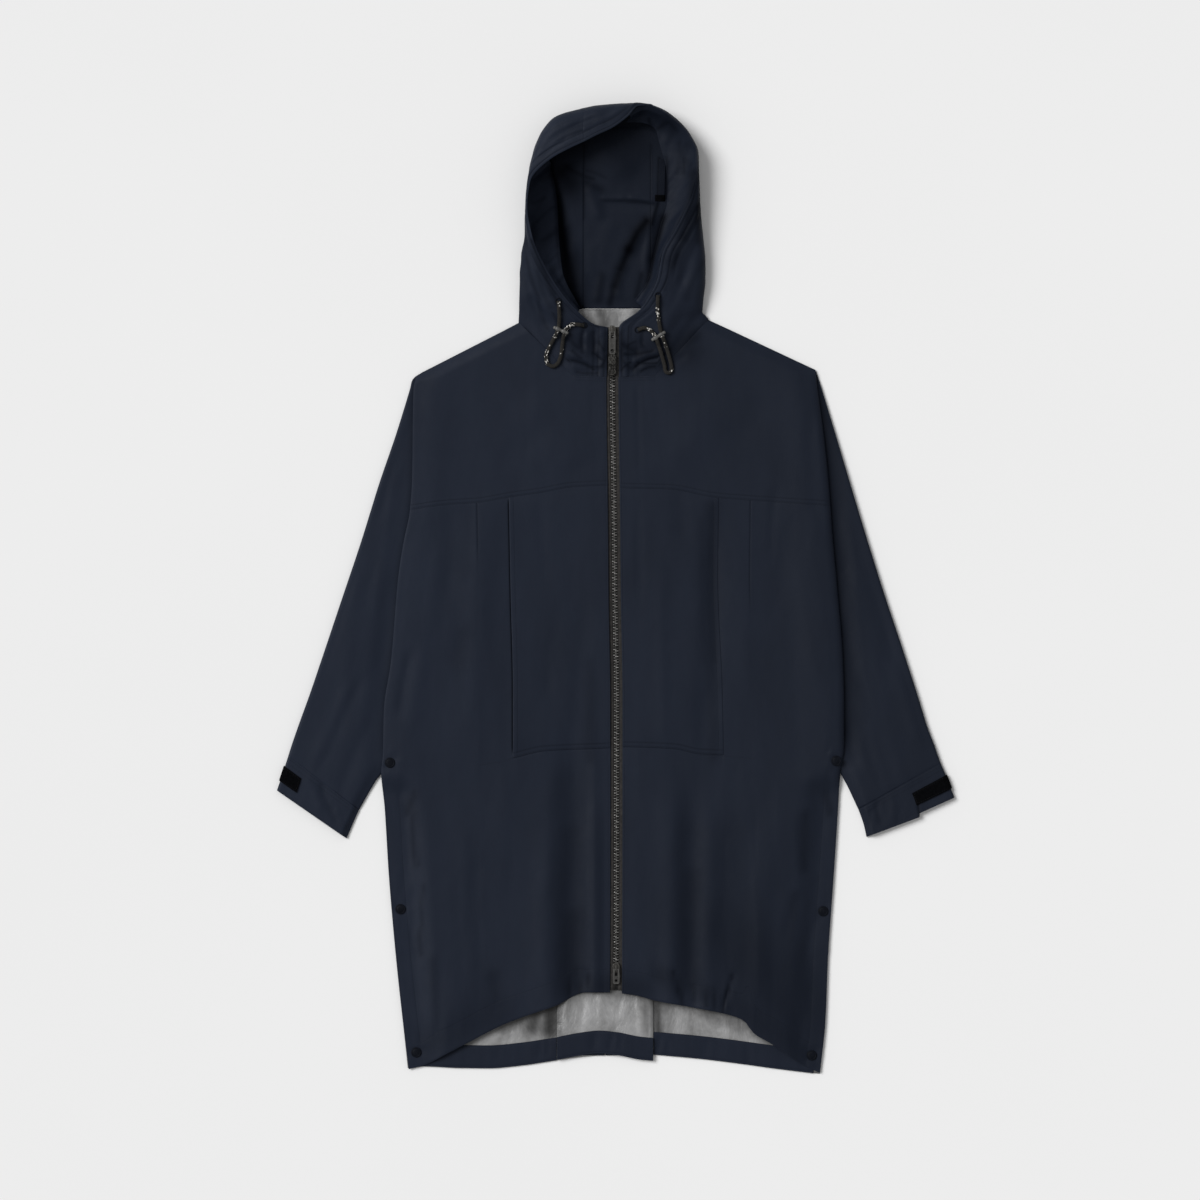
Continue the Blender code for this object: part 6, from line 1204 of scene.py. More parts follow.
for side, label, rows, cuff_rows in ((-1, "left", before([(-264.6, 290.4, -250.2, 290.4, 1.7, 1.6, 4, 4), (-270.6, 286.4, -250.2, 286.6, 1.7, 1.6, 4, 4), (-274.4, 281.4, -250.4, 282, 1.9, 1.8, 4, 4)], SLEEVE_LEFT), CUFF_LEFT), (1, "right", before([(270.6, 294, 250, 294, 1.7, 1.6, 4, 4), (273.8, 284, 250.1, 285, 2.6, 2.5, 4, 4)], SLEEVE_RIGHT), CUFF_RIGHT)):
    total = float(np.hypot(np.diff(rows["ox"]), np.diff(rows["oy"])).sum())
    place = stations(total, 4.8, (0.6, 1.8), (0.6, 1.4, 3, 6)) * total
    grid, q, top, _, r = tube(rows, 4.8, 10, 9, 34, RIGHT_VALLEY if side > 0 else 5.6, place)
    x, y = grid[..., 0], grid[..., 1]
    u = x * side * 0.976 + y * 0.217
    v = y * 0.976 - x * side * 0.217
    width = q.max(1, keepdims=True)
    inside = step((q - 3) / 14) * step((width - q - 12) / 20)
    to_end = (total - place)[:, None]
    lively = 0.5 * noise(u, v, 30, 130, 101 + side) + 0.3 * noise(u, v, 14, 60, 103 + side) + 0.13 * noise(u, v, 8, 26, 105 + side)
    ticks = groove((y - (4 + 0.55 * (-x * side - 300)) if side < 0 else y - (38 + 0.75 * (x - 325))), 1.4, 0.4) * step((width - q - 22) / 6) * step((46 - (width - q)) / 8)
    z = top * inside * (crease(SLEEVE_CREASES, x, y) + lively + 0.8 * 0) + top * ticks * (np.abs(y - 20) < 40)
    z = z - top * 0.4 * np.exp(-((to_end / 1.0) ** 2)) + top * 0.2 * noise(q, v, 8, 30, 107) * np.exp(-((to_end / 12) ** 2)) * inside
    grid[..., 2] += z
    if side < 0:
        grid, q, top = grid[:, ::-1], q[:, ::-1], top[:, ::-1]
        x, y = grid[..., 0], grid[..., 1]
        width = q.max(1, keepdims=True)
    beside = side * (x - (read(SIDE_RIGHT, y) if side > 0 else read(SIDE_LEFT, y)))
    # painted shadow that the body's raised fold casts on the sleeve's top: strong and wide on the right sleeve, faint
    # on the left
    near, wide = (0.72, 0.3) if side > 0 else (0.3, 0.0)
    reach = np.maximum(beside, 0)
    shade = top * step((y + 250) / 60) * (1 - (1 - near * np.exp(-((reach / 5.0) ** 1.3))) * (1 - wide * np.exp(-((reach / 26) ** 3))))
    worn = 0.2 * np.exp(-(((q - 3) / 3) ** 2))
    shell("cloth_sleeve_" + label, grid, PLAIN_WALL, (NAVY, SILVER), None, worn, shade)
    declare("cloth_sleeve_" + label, "laid", [], ["sleeve_" + label])

    cuff_rows = {name: column.copy() for name, column in cuff_rows.items()}
    for name in ("ox", "oy", "ix", "iy"):  # drawn up to the sleeve's end, so that the seam is shut
        cuff_rows[name][0] = rows[name][-1] - 0.008 * (cuff_rows[name][-1] - rows[name][-1])
    total = float(np.hypot(np.diff(cuff_rows["ox"]), np.diff(cuff_rows["oy"])).sum())
    place = stations(total, 3.2, SEWN, (0.5, 1.2, 2.0, 2.6, 3.2, 4.5, 6.5)) * total
    grid, q, top, _, r = tube(cuff_rows, 3.2, 10, 9, 64, None, place)
    x, y = grid[..., 0], grid[..., 1]
    d0, d1 = place[:, None], (total - place)[:, None]
    width = q.max(1, keepdims=True)
    inside = step((q - 1) / 8)
    z = seam_sewn(d0, q, 111 + side) - 0.4 * np.exp(-((d1 / 0.8) ** 2)) + groove(d1 - 2.6, 0.7, 0.3) + 0.3 * step((5 - d1) / 2)
    z = z + 0.4 * noise(q, d0, 24, 22, 113 + side) * inside + 0.22 * noise(q, d0, 9, 16, 114 + side) * inside
    z = z + crease(table(CREASE_COLUMNS, [(-398, -262, -372, -318, 2, 5, -0.9), (-378, -296, -366, -322, 1, 4, 0.7), (-420, -250, -396, -300, -2, 6, 0.6), (352, -286, 360, -318, 2, 5, -0.9), (372, -276, 372, -318, -2, 6, 0.7), (346, -296, 342, -322, 1, 4, -0.6), (407.5, -290, 411.5, -310, 0, 1.6, -0.9), (410.5, -290, 414.5, -310, 0, 1.8, 0.6)]), x, y)
    grid[..., 2] += z * top * inside
    if side > 0:  # the flap past the strap hangs a little lower
        longer = 4.8 * step((q - 51.2) / 2.0) * np.clip(1 - (q - 52) / 76, 0, 1) * (d0 / total) ** 2 * top
        grid[..., 0] += 0.31 * longer
        grid[..., 1] -= 0.95 * longer
    if side < 0:
        grid, q, top = grid[:, ::-1], q[:, ::-1], top[:, ::-1]
    worn = 0.5 * np.exp(-((d1 / 1.6) ** 2)) + 0.2 * np.exp(-(((q - 3) / 3) ** 2))
    shell("cloth_cuff_" + label, grid, PLAIN_WALL + 0.3 * np.exp(-((d1 / 6) ** 2)), (NAVY, SILVER), None, worn, top * shading(CUFF_SHADES, grid[..., 0], grid[..., 1]), ease=(SHUT, 0.3, 0.3, 0.3))
    declare("cloth_cuff_" + label, "laid", [], ["cuff_" + label])

# ---------------------------------------------------------------- hook-and-loop tabs, round the outer fold of each cuff
TAB_WALL = 1.4
for side, label, cuff_rows, length, start, end in ((-1, "left", CUFF_LEFT, 27.0, 0.28, 0.72), (1, "right", CUFF_RIGHT, 51.5, 0.335, 0.735)):
    lift = WALL / 2 + GAP + TAB_WALL / 2
    grid = []
    tall = float(np.hypot(cuff_rows["ox"][2] - cuff_rows["ox"][0], cuff_rows["oy"][2] - cuff_rows["oy"][0])) * (end - start)
    places = stations(tall, 1.5, (0.4, 0.9), (0.4, 0.9))
    for t in start + (end - start) * places:
        r = {name: np.interp(t * 2, np.arange(3), column) for name, column in cuff_rows.items()}
        o, i = np.array([r["ox"], r["oy"]]), np.array([r["ix"], r["iy"]])
        inward = (i - o) / np.linalg.norm(i - o)
        radius = (6.6 - BACK_Z) / 2
        line = []
        for a in np.linspace(-0.55, math.pi / 2, 12):
            reach = radius + lift
            line.append((*(o + inward * (radius - reach * math.cos(a))), BACK_Z + radius + reach * math.sin(a)))
        for s in radius + (length - radius) * stations(length - radius, 1.7, (), (0.4, 0.9))[1:]:
            line.append((*(o + inward * s), 7.4 + lift + 0.1))
        grid.append(line)
    grid = np.array(grid)
    d = np.minimum(places * tall, (1 - places) * tall)[:, None]
    to_tip = np.linalg.norm(grid[:, -1:, :2] - grid[..., :2], axis=2)
    rim = np.minimum(d, to_tip)
    corner = np.hypot(np.maximum(2.2 - d, 0), np.maximum(2.2 - to_tip, 0))
    grid[..., 2] += 0.5 * noise(grid[..., 0], grid[..., 1], 16, 14, 121) * step(to_tip / 6) * 0.6 + groove(rim - 2.0, 0.6, 0.22) - 0.25 * np.exp(-((rim / 0.7) ** 2))
    if side < 0:
        grid = grid[::-1]
    shell("cuff_strap_" + label, grid, TAB_WALL - 0.2, (HOOK,), None, 0.5 * np.exp(-((rim / 1.2) ** 2))[::-1] if side < 0 else 0.5 * np.exp(-((rim / 1.2) ** 2)))
    declare("cuff_strap_" + label, "folded", ["cloth_cuff_" + label], ["cuff_tab_" + label])


# ---------------------------------------------------------------- hood
def fine_rib(r, counts):
    """One rib: face edge, over the crest, round the widest point and in along the floor. Also the part of the way that each point has gone."""
    rim, crest, widest = (np.array(r[n : n + 3]) for n in (0, 3, 6))
    foot, end = np.array([r[9], r[10], FLOOR_MID]), np.array([r[12], r[11], FLOOR_MID])
    points, parts = [], []
    for t in np.linspace(0, 1, counts[0] + 1)[:-1] ** 1.25:
        points.append(rim + (crest - rim) * t)
        parts.append(t)
    for t in np.linspace(0, 1, counts[1] + 1)[:-1]:
        a = t * math.pi / 2
        flat = widest + (crest - widest) * (1 - math.sin(a))
        points.append(np.array([flat[0], flat[1], widest[2] + (crest[2] - widest[2]) * math.cos(a)]))
        parts.append(1 + t)
    for t in np.linspace(0, 1, counts[2] + 1)[:-1]:
        a = t * math.pi / 2
        points.append(np.array([*(widest + (foot - widest) * (1 - math.cos(a)))[:2], foot[2] + (widest[2] - foot[2]) * (1 - math.sin(a))]))
        parts.append(2 + t)
    for t in np.linspace(0, 1, counts[3] + 1):
        points.append(foot + (end - foot) * t)
        parts.append(3 + t)
    return np.array(points), np.array(parts)


HOOD_COUNTS = (26, 20, 9, 20)


def fine_ribs(rows, seam, count, ends=()):
    at = np.arange(len(rows["rx"]))
    places = stations(at[-1], at[-1] / count, *ends) * at[-1]
    columns = [smooth(at, rows[name], places) for name in RIB_COLUMNS.split()]
    last = columns[0] if seam is None else np.full(len(places), seam)
    made_ribs = [fine_rib([*(c[n] for c in columns), last[n]], HOOD_COUNTS) for n in range(len(places))]
    return np.array([m[0] for m in made_ribs]), np.array([m[1] for m in made_ribs]), places


def hood_relief(grid, parts, seed, out):
    """Stitched brim, creases on the outside and on the floor of the hood, moved along the outward normal."""
    normal = normals_of(grid) * out
    x, y = grid[..., 0], grid[..., 1]
    from_rim = np.concatenate([np.zeros((grid.shape[0], 1)), np.cumsum(np.linalg.norm(np.diff(grid, axis=1), axis=2), axis=1)], axis=1)
    along = np.concatenate([np.zeros((1, grid.shape[1])), np.cumsum(np.linalg.norm(np.diff(grid, axis=0), axis=2), axis=0)], axis=0)
    along = np.broadcast_to(along[:, :1], x.shape)
    outside = step((2.4 - parts) / 0.4)
    brim = groove(from_rim - 12.5, 0.9, 0.45) + groove(from_rim - 4.0, 0.8, 0.3) + 0.3 * step((13.5 - from_rim) / 2)
    brim = brim + 0.3 * noise(along + 0.7 * from_rim, from_rim, 6.5, 22, seed) * np.exp(-(((from_rim - 7) / 9) ** 2))
    brim = brim + 0.95 * noise(from_rim, along, 5.0, 46, seed + 5) * np.exp(-(((from_rim - 16) / 14) ** 2)) * step(from_rim / 4)
    roll = -0.5 * np.exp(-((from_rim / 0.9) ** 2))
    crumple = 0.6 * noise(x, y, 22, 30, 201) + 0.4 * noise(x + 0.5 * y, y, 11, 18, 202)
    shown = crease(HOOD_CREASES, x, y) + crease(COLLAR_CREASES, x, y) * step((420 - y) / 20) + crumple * step(from_rim / 10)
    grid = grid + normal * ((brim + roll + shown * step((from_rim - 3) / 10)) * outside)[..., None]
    floor_part = step((parts - 2.8) / 0.5)
    lift = (crease(NAPE_CREASES, x, y) + 0.9 + 0.7 * noise(x, y, 30, 40, 203) + 0.3 * noise(x, y, 13, 17, 204)) * floor_part
    grid[..., 2] = grid[..., 2] + np.maximum(lift, 0) * step((y - 384) / 14)
    return grid, from_rim, along


strips = []
for label, rows, seam, count in (("left", HOOD_LEFT, HOOD_SEAM_LEFT + 0.1, 176), ("right", HOOD_RIGHT, HOOD_SEAM_RIGHT - 0.1, 176), ("middle", HOOD_MIDDLE, None, 40)):
    grid, parts, places = fine_ribs(rows, seam, count, ((0.03, 0.08), (0.03, 0.08)))
    if label == "middle":
        nape = grid[:, -1:].copy()
        floor_rows = []
        for t in np.linspace(0, 1, 90)[1:]:
            row = nape.copy()
            row[..., 1] = nape[..., 1] * (1 - t) + 379.3 * t
            floor_rows.append(row)
        grid = np.concatenate([grid, *floor_rows], axis=1)
        parts = np.concatenate([parts, np.full((len(grid), 89), 4.0)], axis=1)
    toward = normals_of(grid)
    out = 1.0 if toward[len(grid) // 2, HOOD_COUNTS[0]][2] > 0 else -1.0
    grid, from_rim, along = hood_relief(grid, parts, {"left": 131, "right": 141, "middle": 151}[label], out)
    if label == "middle":
        ends = np.minimum(places, places[-1] - places) * 18
    else:
        ends = (places[-1] - places if label == "left" else places) * 16
    sewn = -0.2 * np.exp(-((ends / 0.9) ** 2)) + groove(ends - 2.4, 0.8, 0.2)
    grid = grid + (normals_of(grid) * out) * (sewn[:, None] * step((2.6 - parts) / 0.4))[..., None]
    worn = 0.5 * np.exp(-((from_rim / 2.2) ** 2)) * step((2.4 - parts) / 0.4)
    floor_part = step((parts - 2.2) / 0.5)
    shade = floor_part * (1 - (1 - shading(FLOOR_SHADES, grid[..., 0], grid[..., 1])) * 0.74) + (1 - floor_part) * shading(both(BODY_SHADES, HOOD_SHADES), grid[..., 0], grid[..., 1])
    # painted shade on the brim: dark lines along its two stitch rows, and dark streaks across it
    shade = 1 - (1 - shade) * (1 - 0.28 * (np.exp(-(((from_rim - 12.5) / 1.1) ** 2)) + np.exp(-(((from_rim - 4.0) / 0.9) ** 2))) * (1 - floor_part))
    brim_shade_streaks = np.clip(noise(from_rim, along, 3.4, 44, 171 + len(label)), 0, 1) * np.exp(-(((from_rim - 15) / 17) ** 2))
    shade = 1 - (1 - shade) * (1 - 0.42 * brim_shade_streaks * (1 - floor_part))
    if label == "middle":  # its seam allowance lies under the side panels
        tuck_under = (grid - 0.7 * normals_of(grid) * np.where(parts < 2.8, out, 1.0)[..., None])[[0, -1]]
        tuck_under[..., 0] += np.array([[-2.2], [2.2]])
        tuck_under[..., 2] = np.maximum(tuck_under[..., 2], 0.5)
        grid = np.concatenate([tuck_under[:1], grid, tuck_under[1:]])
        floor_grid = grid
        worn, shade = (np.concatenate([v[:1], v, v[-1:]]) for v in (worn, shade))
    if out < 0:
        grid, worn, shade = grid[::-1], worn[::-1], shade[::-1]
    shell("cloth_hood_" + label, grid, PLAIN_WALL, (NAVY,), None, worn, shade, ease=(SHUT, SHUT, 0.3, 0.3), rub=0.0)
    declare("cloth_hood_" + label, "laid", [], ["hood_" + label], strips if label == "right" else ())

def drop_floor(x, y):
    """Height of the hood's inside at a place in plan."""
    found = [0.5]
    for name in ("cloth_hood_right", "cloth_hood_middle"):
        hit, _, _, _ = trees[name].ray_cast(Vector((x, y, 12.0)), Vector((0, 0, -1)))
        if hit is not None:
            found.append(hit.z)
    return max(found)


# a flat strip inside the hood, sewn down beside the casing, with a dark keeper at its end
strip_x, strip_y = np.meshgrid(np.linspace(-1, 1, 9), stations(49, 2.0, (0.5, 1.2), (0.5, 1.2)))
strip_x, strip_y = 63.0 + strip_x * 5.2 - 1.2 * strip_y, 581 - 49 * strip_y
strip = level(strip_x, strip_y, np.array([[(drop_floor(a, b) + 1.0) for a, b in zip(r, s)] for r, s in zip(strip_x, strip_y)]))
# painted shade over the strip, darker along its two long edges
shell("hood_strip", strip[::-1], 0.9, (BAND,), None, None, np.full(strip_x.shape, 0.5) + 0.3 * (np.abs(np.linspace(-1, 1, 9)) > 0.8)[None, :])
strips.append(made["hood_strip"])
keeper_x, keeper_y = np.meshgrid(np.linspace(-1, 1, 9), np.linspace(0, 1, 7))
keeper_x, keeper_y = 59.8 + keeper_x * 6.6, 532.5 - 8.6 * keeper_y
keeper = level(keeper_x, keeper_y, strip[..., 2].max() * 0 + drop_floor(61.0, 529.0) + 2.2 - 0.5 * ((keeper_x - 59.8) / 6.6) ** 4)
shell("hood_keeper", keeper[::-1], 1.2, (HOOK,), None)
strips.append(made["hood_keeper"])

# the casing turned in along the face edge, from just under that edge to its free inner edge
LEFT_SHOWN = table(CASING_COLUMNS, [
    (-49, 376.5, 15, -47.5, 378.5, 12), (-62, 391, 18, -54, 391, 12), (-88.5, 430, 24, -71, 428, 15), (-109, 476, 29, -76, 476, 16),
    (-115.5, 515, 31, -78, 519, 15), (-111.5, 546, 33, -83, 553, 14), (-87, 574, 38, -87, 569, 15)])
LEFT_CASING_SHADES = table(SHADE_COLUMNS, [(-107, 494, -86, 515, 0, 3, 0.35), (-112, 520, -96, 528, 1, 3, 0.3), (-100, 470, -84, 480, 1, 3, 0.3), (-92, 440, -80, 452, 1, 2.6, 0.3), (-80, 412, -70, 424, 1, 2.6, 0.3), (-112, 500, -106, 470, 0, 6, 0.3)])
RIGHT_SHOWN = both(table(CASING_COLUMNS, [(20, 636, 34, 14, 629, 24), (40, 645, 32, 32, 629, 19)]), CASING_RIGHT)
for label, rows in (("left", LEFT_SHOWN), ("right", RIGHT_SHOWN)):
    at = np.arange(len(rows["ox"]))
    fine = stations(at[-1], at[-1] / 110) * at[-1]
    c = [smooth(at, column, fine) for column in rows.values()]
    outer, inner = np.stack(c[:3], axis=1), np.stack(c[3:], axis=1)
    source = HOOD_LEFT if label == "left" else both(HOOD_MIDDLE, HOOD_RIGHT)
    k = np.linspace(0, len(source["rx"]) - 1, 600)
    face = np.stack([smooth(np.arange(len(source["rx"])), source[n], k) for n in ("rx", "ry", "rz")], axis=1)
    near = np.array([face[np.argmin(np.linalg.norm(face - p, axis=1))] for p in outer])
    for _ in range(6):
        near[1:-1] = (near[:-2] + near[1:-1] * 2 + near[2:]) / 4
    near[:, 2] -= 1.3
    grid = []
    for t in np.linspace(0, 1, 7)[:-1]:
        grid.append(near + (outer - near) * t)
    for t in stations(34, 2.6, (), (0.5, 1.2, 2.0, 2.8, 4)):
        line = outer + (inner - outer) * t
        line[:, 2] -= 3.0 * math.sin(math.pi * t)
        grid.append(line)
    grid = np.stack(grid, axis=1)
    x, y = grid[..., 0], grid[..., 1]
    from_in = np.linalg.norm(grid[:, -1:] - grid, axis=2)
    along = np.concatenate([[0], np.cumsum(np.linalg.norm(np.diff(outer, axis=0), axis=1))])[:, None] + 0 * x
    normal = normals_of(grid)
    out = 1.0 if normal[len(grid) // 2, -4][2] > 0 else -1.0
    relief = groove(from_in - 2.4, 0.7, 0.3) - 0.35 * np.exp(-((from_in / 0.8) ** 2)) + 1.1 * noise(along + 0.6 * from_in, from_in, 15, 26, 161) * step(from_in / 12) + 0.6 * noise(along + 0.8 * from_in, from_in, 7, 18, 162) + 0.3 * noise(along - 0.5 * from_in, from_in, 4.5, 12, 163)
    grid = grid + normal * out * relief[..., None]
    worn = 0.3 * np.exp(-((from_in / 1.6) ** 2))
    # painted shade on the turned-in casing, deeper on the left one's upper part and near its inner edge
    base = 0.12 + 0.5 * step((y - 425) / 60) if label == "left" else 0.22
    own = shading(HOOD_SHADES, x, y) if label == "right" else shading(LEFT_CASING_SHADES, x, y)
    shade = 1 - (1 - base) * (1 - 0.85 * shading(FLOOR_SHADES, x, y) * step((10 - from_in) / 9)) * (1 - own)
    if out < 0:
        grid, worn, shade = grid[::-1], worn[::-1], shade[::-1]
    shell("cloth_casing_" + label, grid, 0.8, (NAVY,), None, worn, shade)
    declare("cloth_casing_" + label, "laid", ["cloth_hood_" + label], ["hood_casing_" + label])


# ---------------------------------------------------------------- finding the cloth's surface from above
def drop(x, y, names):
    """Highest point of the named cloth pieces at a place in plan, in mm, and its normal."""
    best, normal = None, None
    for name in names:
        hit, n, _, _ = trees[name].ray_cast(Vector((x, y, 200)), Vector((0, 0, -1)))
        if hit is not None and (best is None or hit.z > best):
            best, normal = hit.z, n
    if best is None:
        return None, Vector((0, 0, 1))
    return best, (normal if normal.z > 0 else -normal)


# ---------------------------------------------------------------- stitches
STITCH, STITCH_GAP, STITCH_RADIUS = 2.3, 0.8, 0.21


def resample(line, pitch):
    line = np.asarray(line, float)
    gone = np.concatenate([[0], np.cumsum(np.linalg.norm(np.diff(line, axis=0), axis=1))])
    count = max(2, int(gone[-1] / pitch))
    at = np.linspace(0, gone[-1], count + 1)
    return np.stack([np.interp(at, gone, line[:, k]) for k in range(line.shape[1])], axis=1)


def sew(name, lines, finish=None, radius=STITCH_RADIUS):
    """Rows of separate stitches on the cloth. Each line is its points in plan, in mm, and the names of the cloth that it is sewn to."""
    around = 5
    rings = np.array([(-0.5, 0.15, -0.25), (-0.28, 0.95, 0.02), (0.28, 0.95, 0.02), (0.5, 0.15, -0.25)])
    angle = np.arange(around) * 2 * math.pi / around
    points, faces, uv = [], [], []
    for line, names in lines:
        stops = resample(line, STITCH + STITCH_GAP)
        for a, b in zip(stops, stops[1:]):
            start, end = a + (b - a) * 0.13, a + (b - a) * 0.87
            za, na = drop(start[0], start[1], names)
            zb, nb = drop(end[0], end[1], names)
            if za is None or zb is None:
                continue
            p, q = np.array([*start, za]), np.array([*end, zb])
            length = np.linalg.norm(q - p)
            if length > 6 or length < 0.5:
                continue
            ahead = (q - p) / length
            up = np.array((na + nb).normalized())
            beside = np.cross(ahead, up)
            beside /= np.linalg.norm(beside)
            base = len(points)
            for t, size, sink in rings:
                centre = (p + q) / 2 + ahead * t * length + up * (sink + 0.06)
                for c, s in zip(np.cos(angle), np.sin(angle)):
                    points.append(centre + beside * c * radius * size + up * s * radius * size * 0.8)
                    uv.append((c, t * length))
            for r in range(len(rings) - 1):
                for n in range(around):
                    m = (n + 1) % around
                    faces.append((base + r * around + n, base + r * around + m, base + (r + 1) * around + m, base + (r + 1) * around + n))
    obj = mesh_object(name, points, faces, (finish or THREAD,), None, uv)
    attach(obj, "garment")
    return obj


def along_x(line, start, end, offset=0.0, count=80):
    """Points of a line y(x), moved to its upper side by an offset."""
    x = np.linspace(start, end, count)
    y = line(x)
    s = slope_of(line, x)
    size = np.sqrt(1 + s**2)
    return np.stack([x - offset * s / size, y + offset / size], axis=1)


def along_y(line, start, end, offset=0.0, count=80):
    y = np.linspace(start, end, count)
    return np.stack([line(y) + offset, y], axis=1)


seams, hems = [], []
for side, label in ((-1, "left"), (1, "right")):
    outer, hem = (SIDE_LEFT, HEM_LEFT) if side < 0 else (SIDE_RIGHT, HEM_RIGHT)
    opening = POCKET_LEFT if side < 0 else POCKET_RIGHT
    front, pocket, yoke = ["cloth_front_" + label], ["cloth_pocket_" + label], ["cloth_yoke_" + label]
    far, near = (-288, -13) if side < 0 else (10, 285)
    for row in (1.7, 6.6):
        seams.append((along_x(by(YOKE_SEAM), far, near, row), yoke))
        a, b = (-137, -12) if side < 0 else (11, 143)
        seams.append((along_x(by(POCKET_SEAM, 0.3), a, b, row), pocket))
    for row in (6.4,):
        seams.append((along_y(by(opening), -220 if side < 0 else -216, 118, -side * row), pocket))
    seams.append((along_y(zip_edge(side), -541, -236, side * 2.5), front))
    seams.append((along_y(zip_edge(side), -226, 130, side * 2.5), pocket))
    seams.append((along_y(zip_edge(side), 142, 284, side * 2.5), yoke))
    stitched = hem_line(hem, HEM_TALL)
    far, near = (-264, -11) if side < 0 else (8, 262)
    hems.append((along_x(stitched, far, near), front))
    hems.append((along_x(by(hem), far + 4, near - 4, 1.8), front))
    side_line = by(outer, -side * SIDE_HEM)
    hems.append((along_y(side_line, -606, -284), front))
    hems.append((along_y(by(outer, -side * 1.9), -640, -250), front))
for name, hem, high in (("left", BACK_HEM, 0), ("pleat", PLEAT_HEM, 0), ("right", BACK_HEM, 0)):
    start, end = {"left": (-268, -82), "pleat": (-77, 49), "right": (53, 264)}[name]
    for row in (3.0, BAND_TALL - 1.0):
        hems.append((along_x(by(hem), start, end, row), ["cloth_hem_facing_" + name]))
seams.append((np.array([(-184, -237), (-165, -234), (-149, -231.5), (-137, -226.5)]), ["cloth_front_left"]))
seams.append((np.array([(112, -223.4), (150, -225), (188, -228)]), ["cloth_front_right"]))
sew("stitches_seams", seams)
sew("stitches_hems", hems)

cuff_lines = []
for side, label, rows in ((-1, "left", CUFF_LEFT), (1, "right", CUFF_RIGHT)):
    o = np.stack([rows["ox"], rows["oy"]], axis=1)
    i = np.stack([rows["ix"], rows["iy"]], axis=1)
    length = np.linalg.norm(o[2] - o[0])
    for distance in (1.7, 7.3, length - 2.6):
        t = distance / length * 2
        a = np.array([np.interp(t, range(3), o[:, k]) for k in range(2)])
        b = np.array([np.interp(t, range(3), i[:, k]) for k in range(2)])
        inward = (b - a) / np.linalg.norm(b - a)
        cuff_lines.append((np.array([a + inward * 2.5, b - inward * 2]), ["cloth_cuff_" + label]))
sew("stitches_cuffs", cuff_lines)

tab_lines = []
for side, label, rows, length, start, end in ((-1, "left", CUFF_LEFT, 27.0, 0.28, 0.72), (1, "right", CUFF_RIGHT, 51.5, 0.335, 0.735)):
    corner = lambda t, s: (np.array([np.interp(t * 2, range(3), rows[k]) for k in ("ox", "oy")]) + (lambda o, i: (i - o) / np.linalg.norm(i - o))(np.array([np.interp(t * 2, range(3), rows[k]) for k in ("ox", "oy")]), np.array([np.interp(t * 2, range(3), rows[k]) for k in ("ix", "iy")])) * s)
    inset = 2.0 / np.linalg.norm(corner(0, 0) - corner(1, 0))
    tab_lines.append((np.array([corner(start + inset, 4), corner(start + inset, length - 2), corner(end - inset, length - 2), corner(end - inset, 4)]), ["cuff_strap_" + label]))
sew("stitches_straps", tab_lines, THREAD_DARK, 0.26)

hood_lines = []
for label, source, names in (("left", HOOD_LEFT, ["cloth_hood_left"]), ("right", HOOD_RIGHT, ["cloth_hood_right"]), ("middle", HOOD_MIDDLE, ["cloth_hood_middle"])):
    k = np.linspace(0, len(source["rx"]) - 1, 160)
    face = np.stack([smooth(np.arange(len(source["rx"])), source[n], k) for n in ("rx", "ry", "rz")], axis=1)
    crest = np.stack([smooth(np.arange(len(source["rx"])), source[n], k) for n in ("cx", "cy", "cz")], axis=1)
    way = crest - face
    long = np.linalg.norm(way, axis=1)
    for distance in (4.0, 12.5):
        ok = long > distance * 1.02
        line = face + way / long[:, None] * distance
        runs = np.split(np.arange(len(ok)), np.where(np.diff(ok.astype(int)) != 0)[0] + 1)
        for run in runs:
            if ok[run[0]] and len(run) > 4:
                hood_lines.append((line[run][:, :2], names))
for x0 in (HOOD_SEAM_LEFT - 2.5, HOOD_SEAM_RIGHT + 2.5):
    names = ["cloth_hood_left", "cloth_hood_middle"] if x0 < 0 else ["cloth_hood_right", "cloth_hood_middle"]
    hood_lines.append((np.array([(x0, 384.0), (x0, 560.0)]), names))
sew("stitches_hood", hood_lines)

neck_lines = []
for side, label in ((-1, "left"), (1, "right")):
    names = ["cloth_yoke_" + label]
    tops = by_straight(TOP_FRONT, 0.0)
    a, b = (-56, -13) if side < 0 else (6, 54)
    for row in (-1.9, -5.6):
        x = np.linspace(a, b, 30)
        neck_lines.append((np.stack([x, tops(x) + row], axis=1), names))
sew("stitches_neck", neck_lines)


# ---------------------------------------------------------------- round parts
def turned_part(name, profile, finish, at, normal, node, around=40, ripple=0.0):
    """A part turned from its profile of radius and height, standing on the cloth."""
    frame_of = Vector((0, 0, 1)).rotation_difference(Vector(normal)).to_matrix()
    points, faces, uv = [], [], []
    closed = profile[0][0] > 1e-6
    for radius, height in profile:
        for n in range(around):
            a = 2 * math.pi * n / around
            r = max(radius, 0.02) * (1 + ripple * math.cos(a * 12))
            points.append(np.array(at) + np.array(frame_of @ Vector((r * math.cos(a), r * math.sin(a), height))))
            uv.append((r * math.cos(a), r * math.sin(a)))
    rows = len(profile)
    for r in range(rows if closed else rows - 1):
        for n in range(around):
            m = (n + 1) % around
            s = (r + 1) % rows
            faces.append((r * around + n, r * around + m, s * around + m, s * around + n))
    obj = mesh_object(name, points, faces, (finish,), None, uv, sharp=38)
    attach(obj, "garment")
    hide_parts(node)
    return obj


def curve_profile(rows, each=3):
    """A profile with its corners eased."""
    rows = np.array(rows, float)
    for _ in range(each - 1):
        fine = [rows[0]]
        for a, b in zip(rows, rows[1:]):
            fine += [a * 0.75 + b * 0.25, a * 0.25 + b * 0.75]
        rows = np.array(fine + [rows[-1]])
    return rows


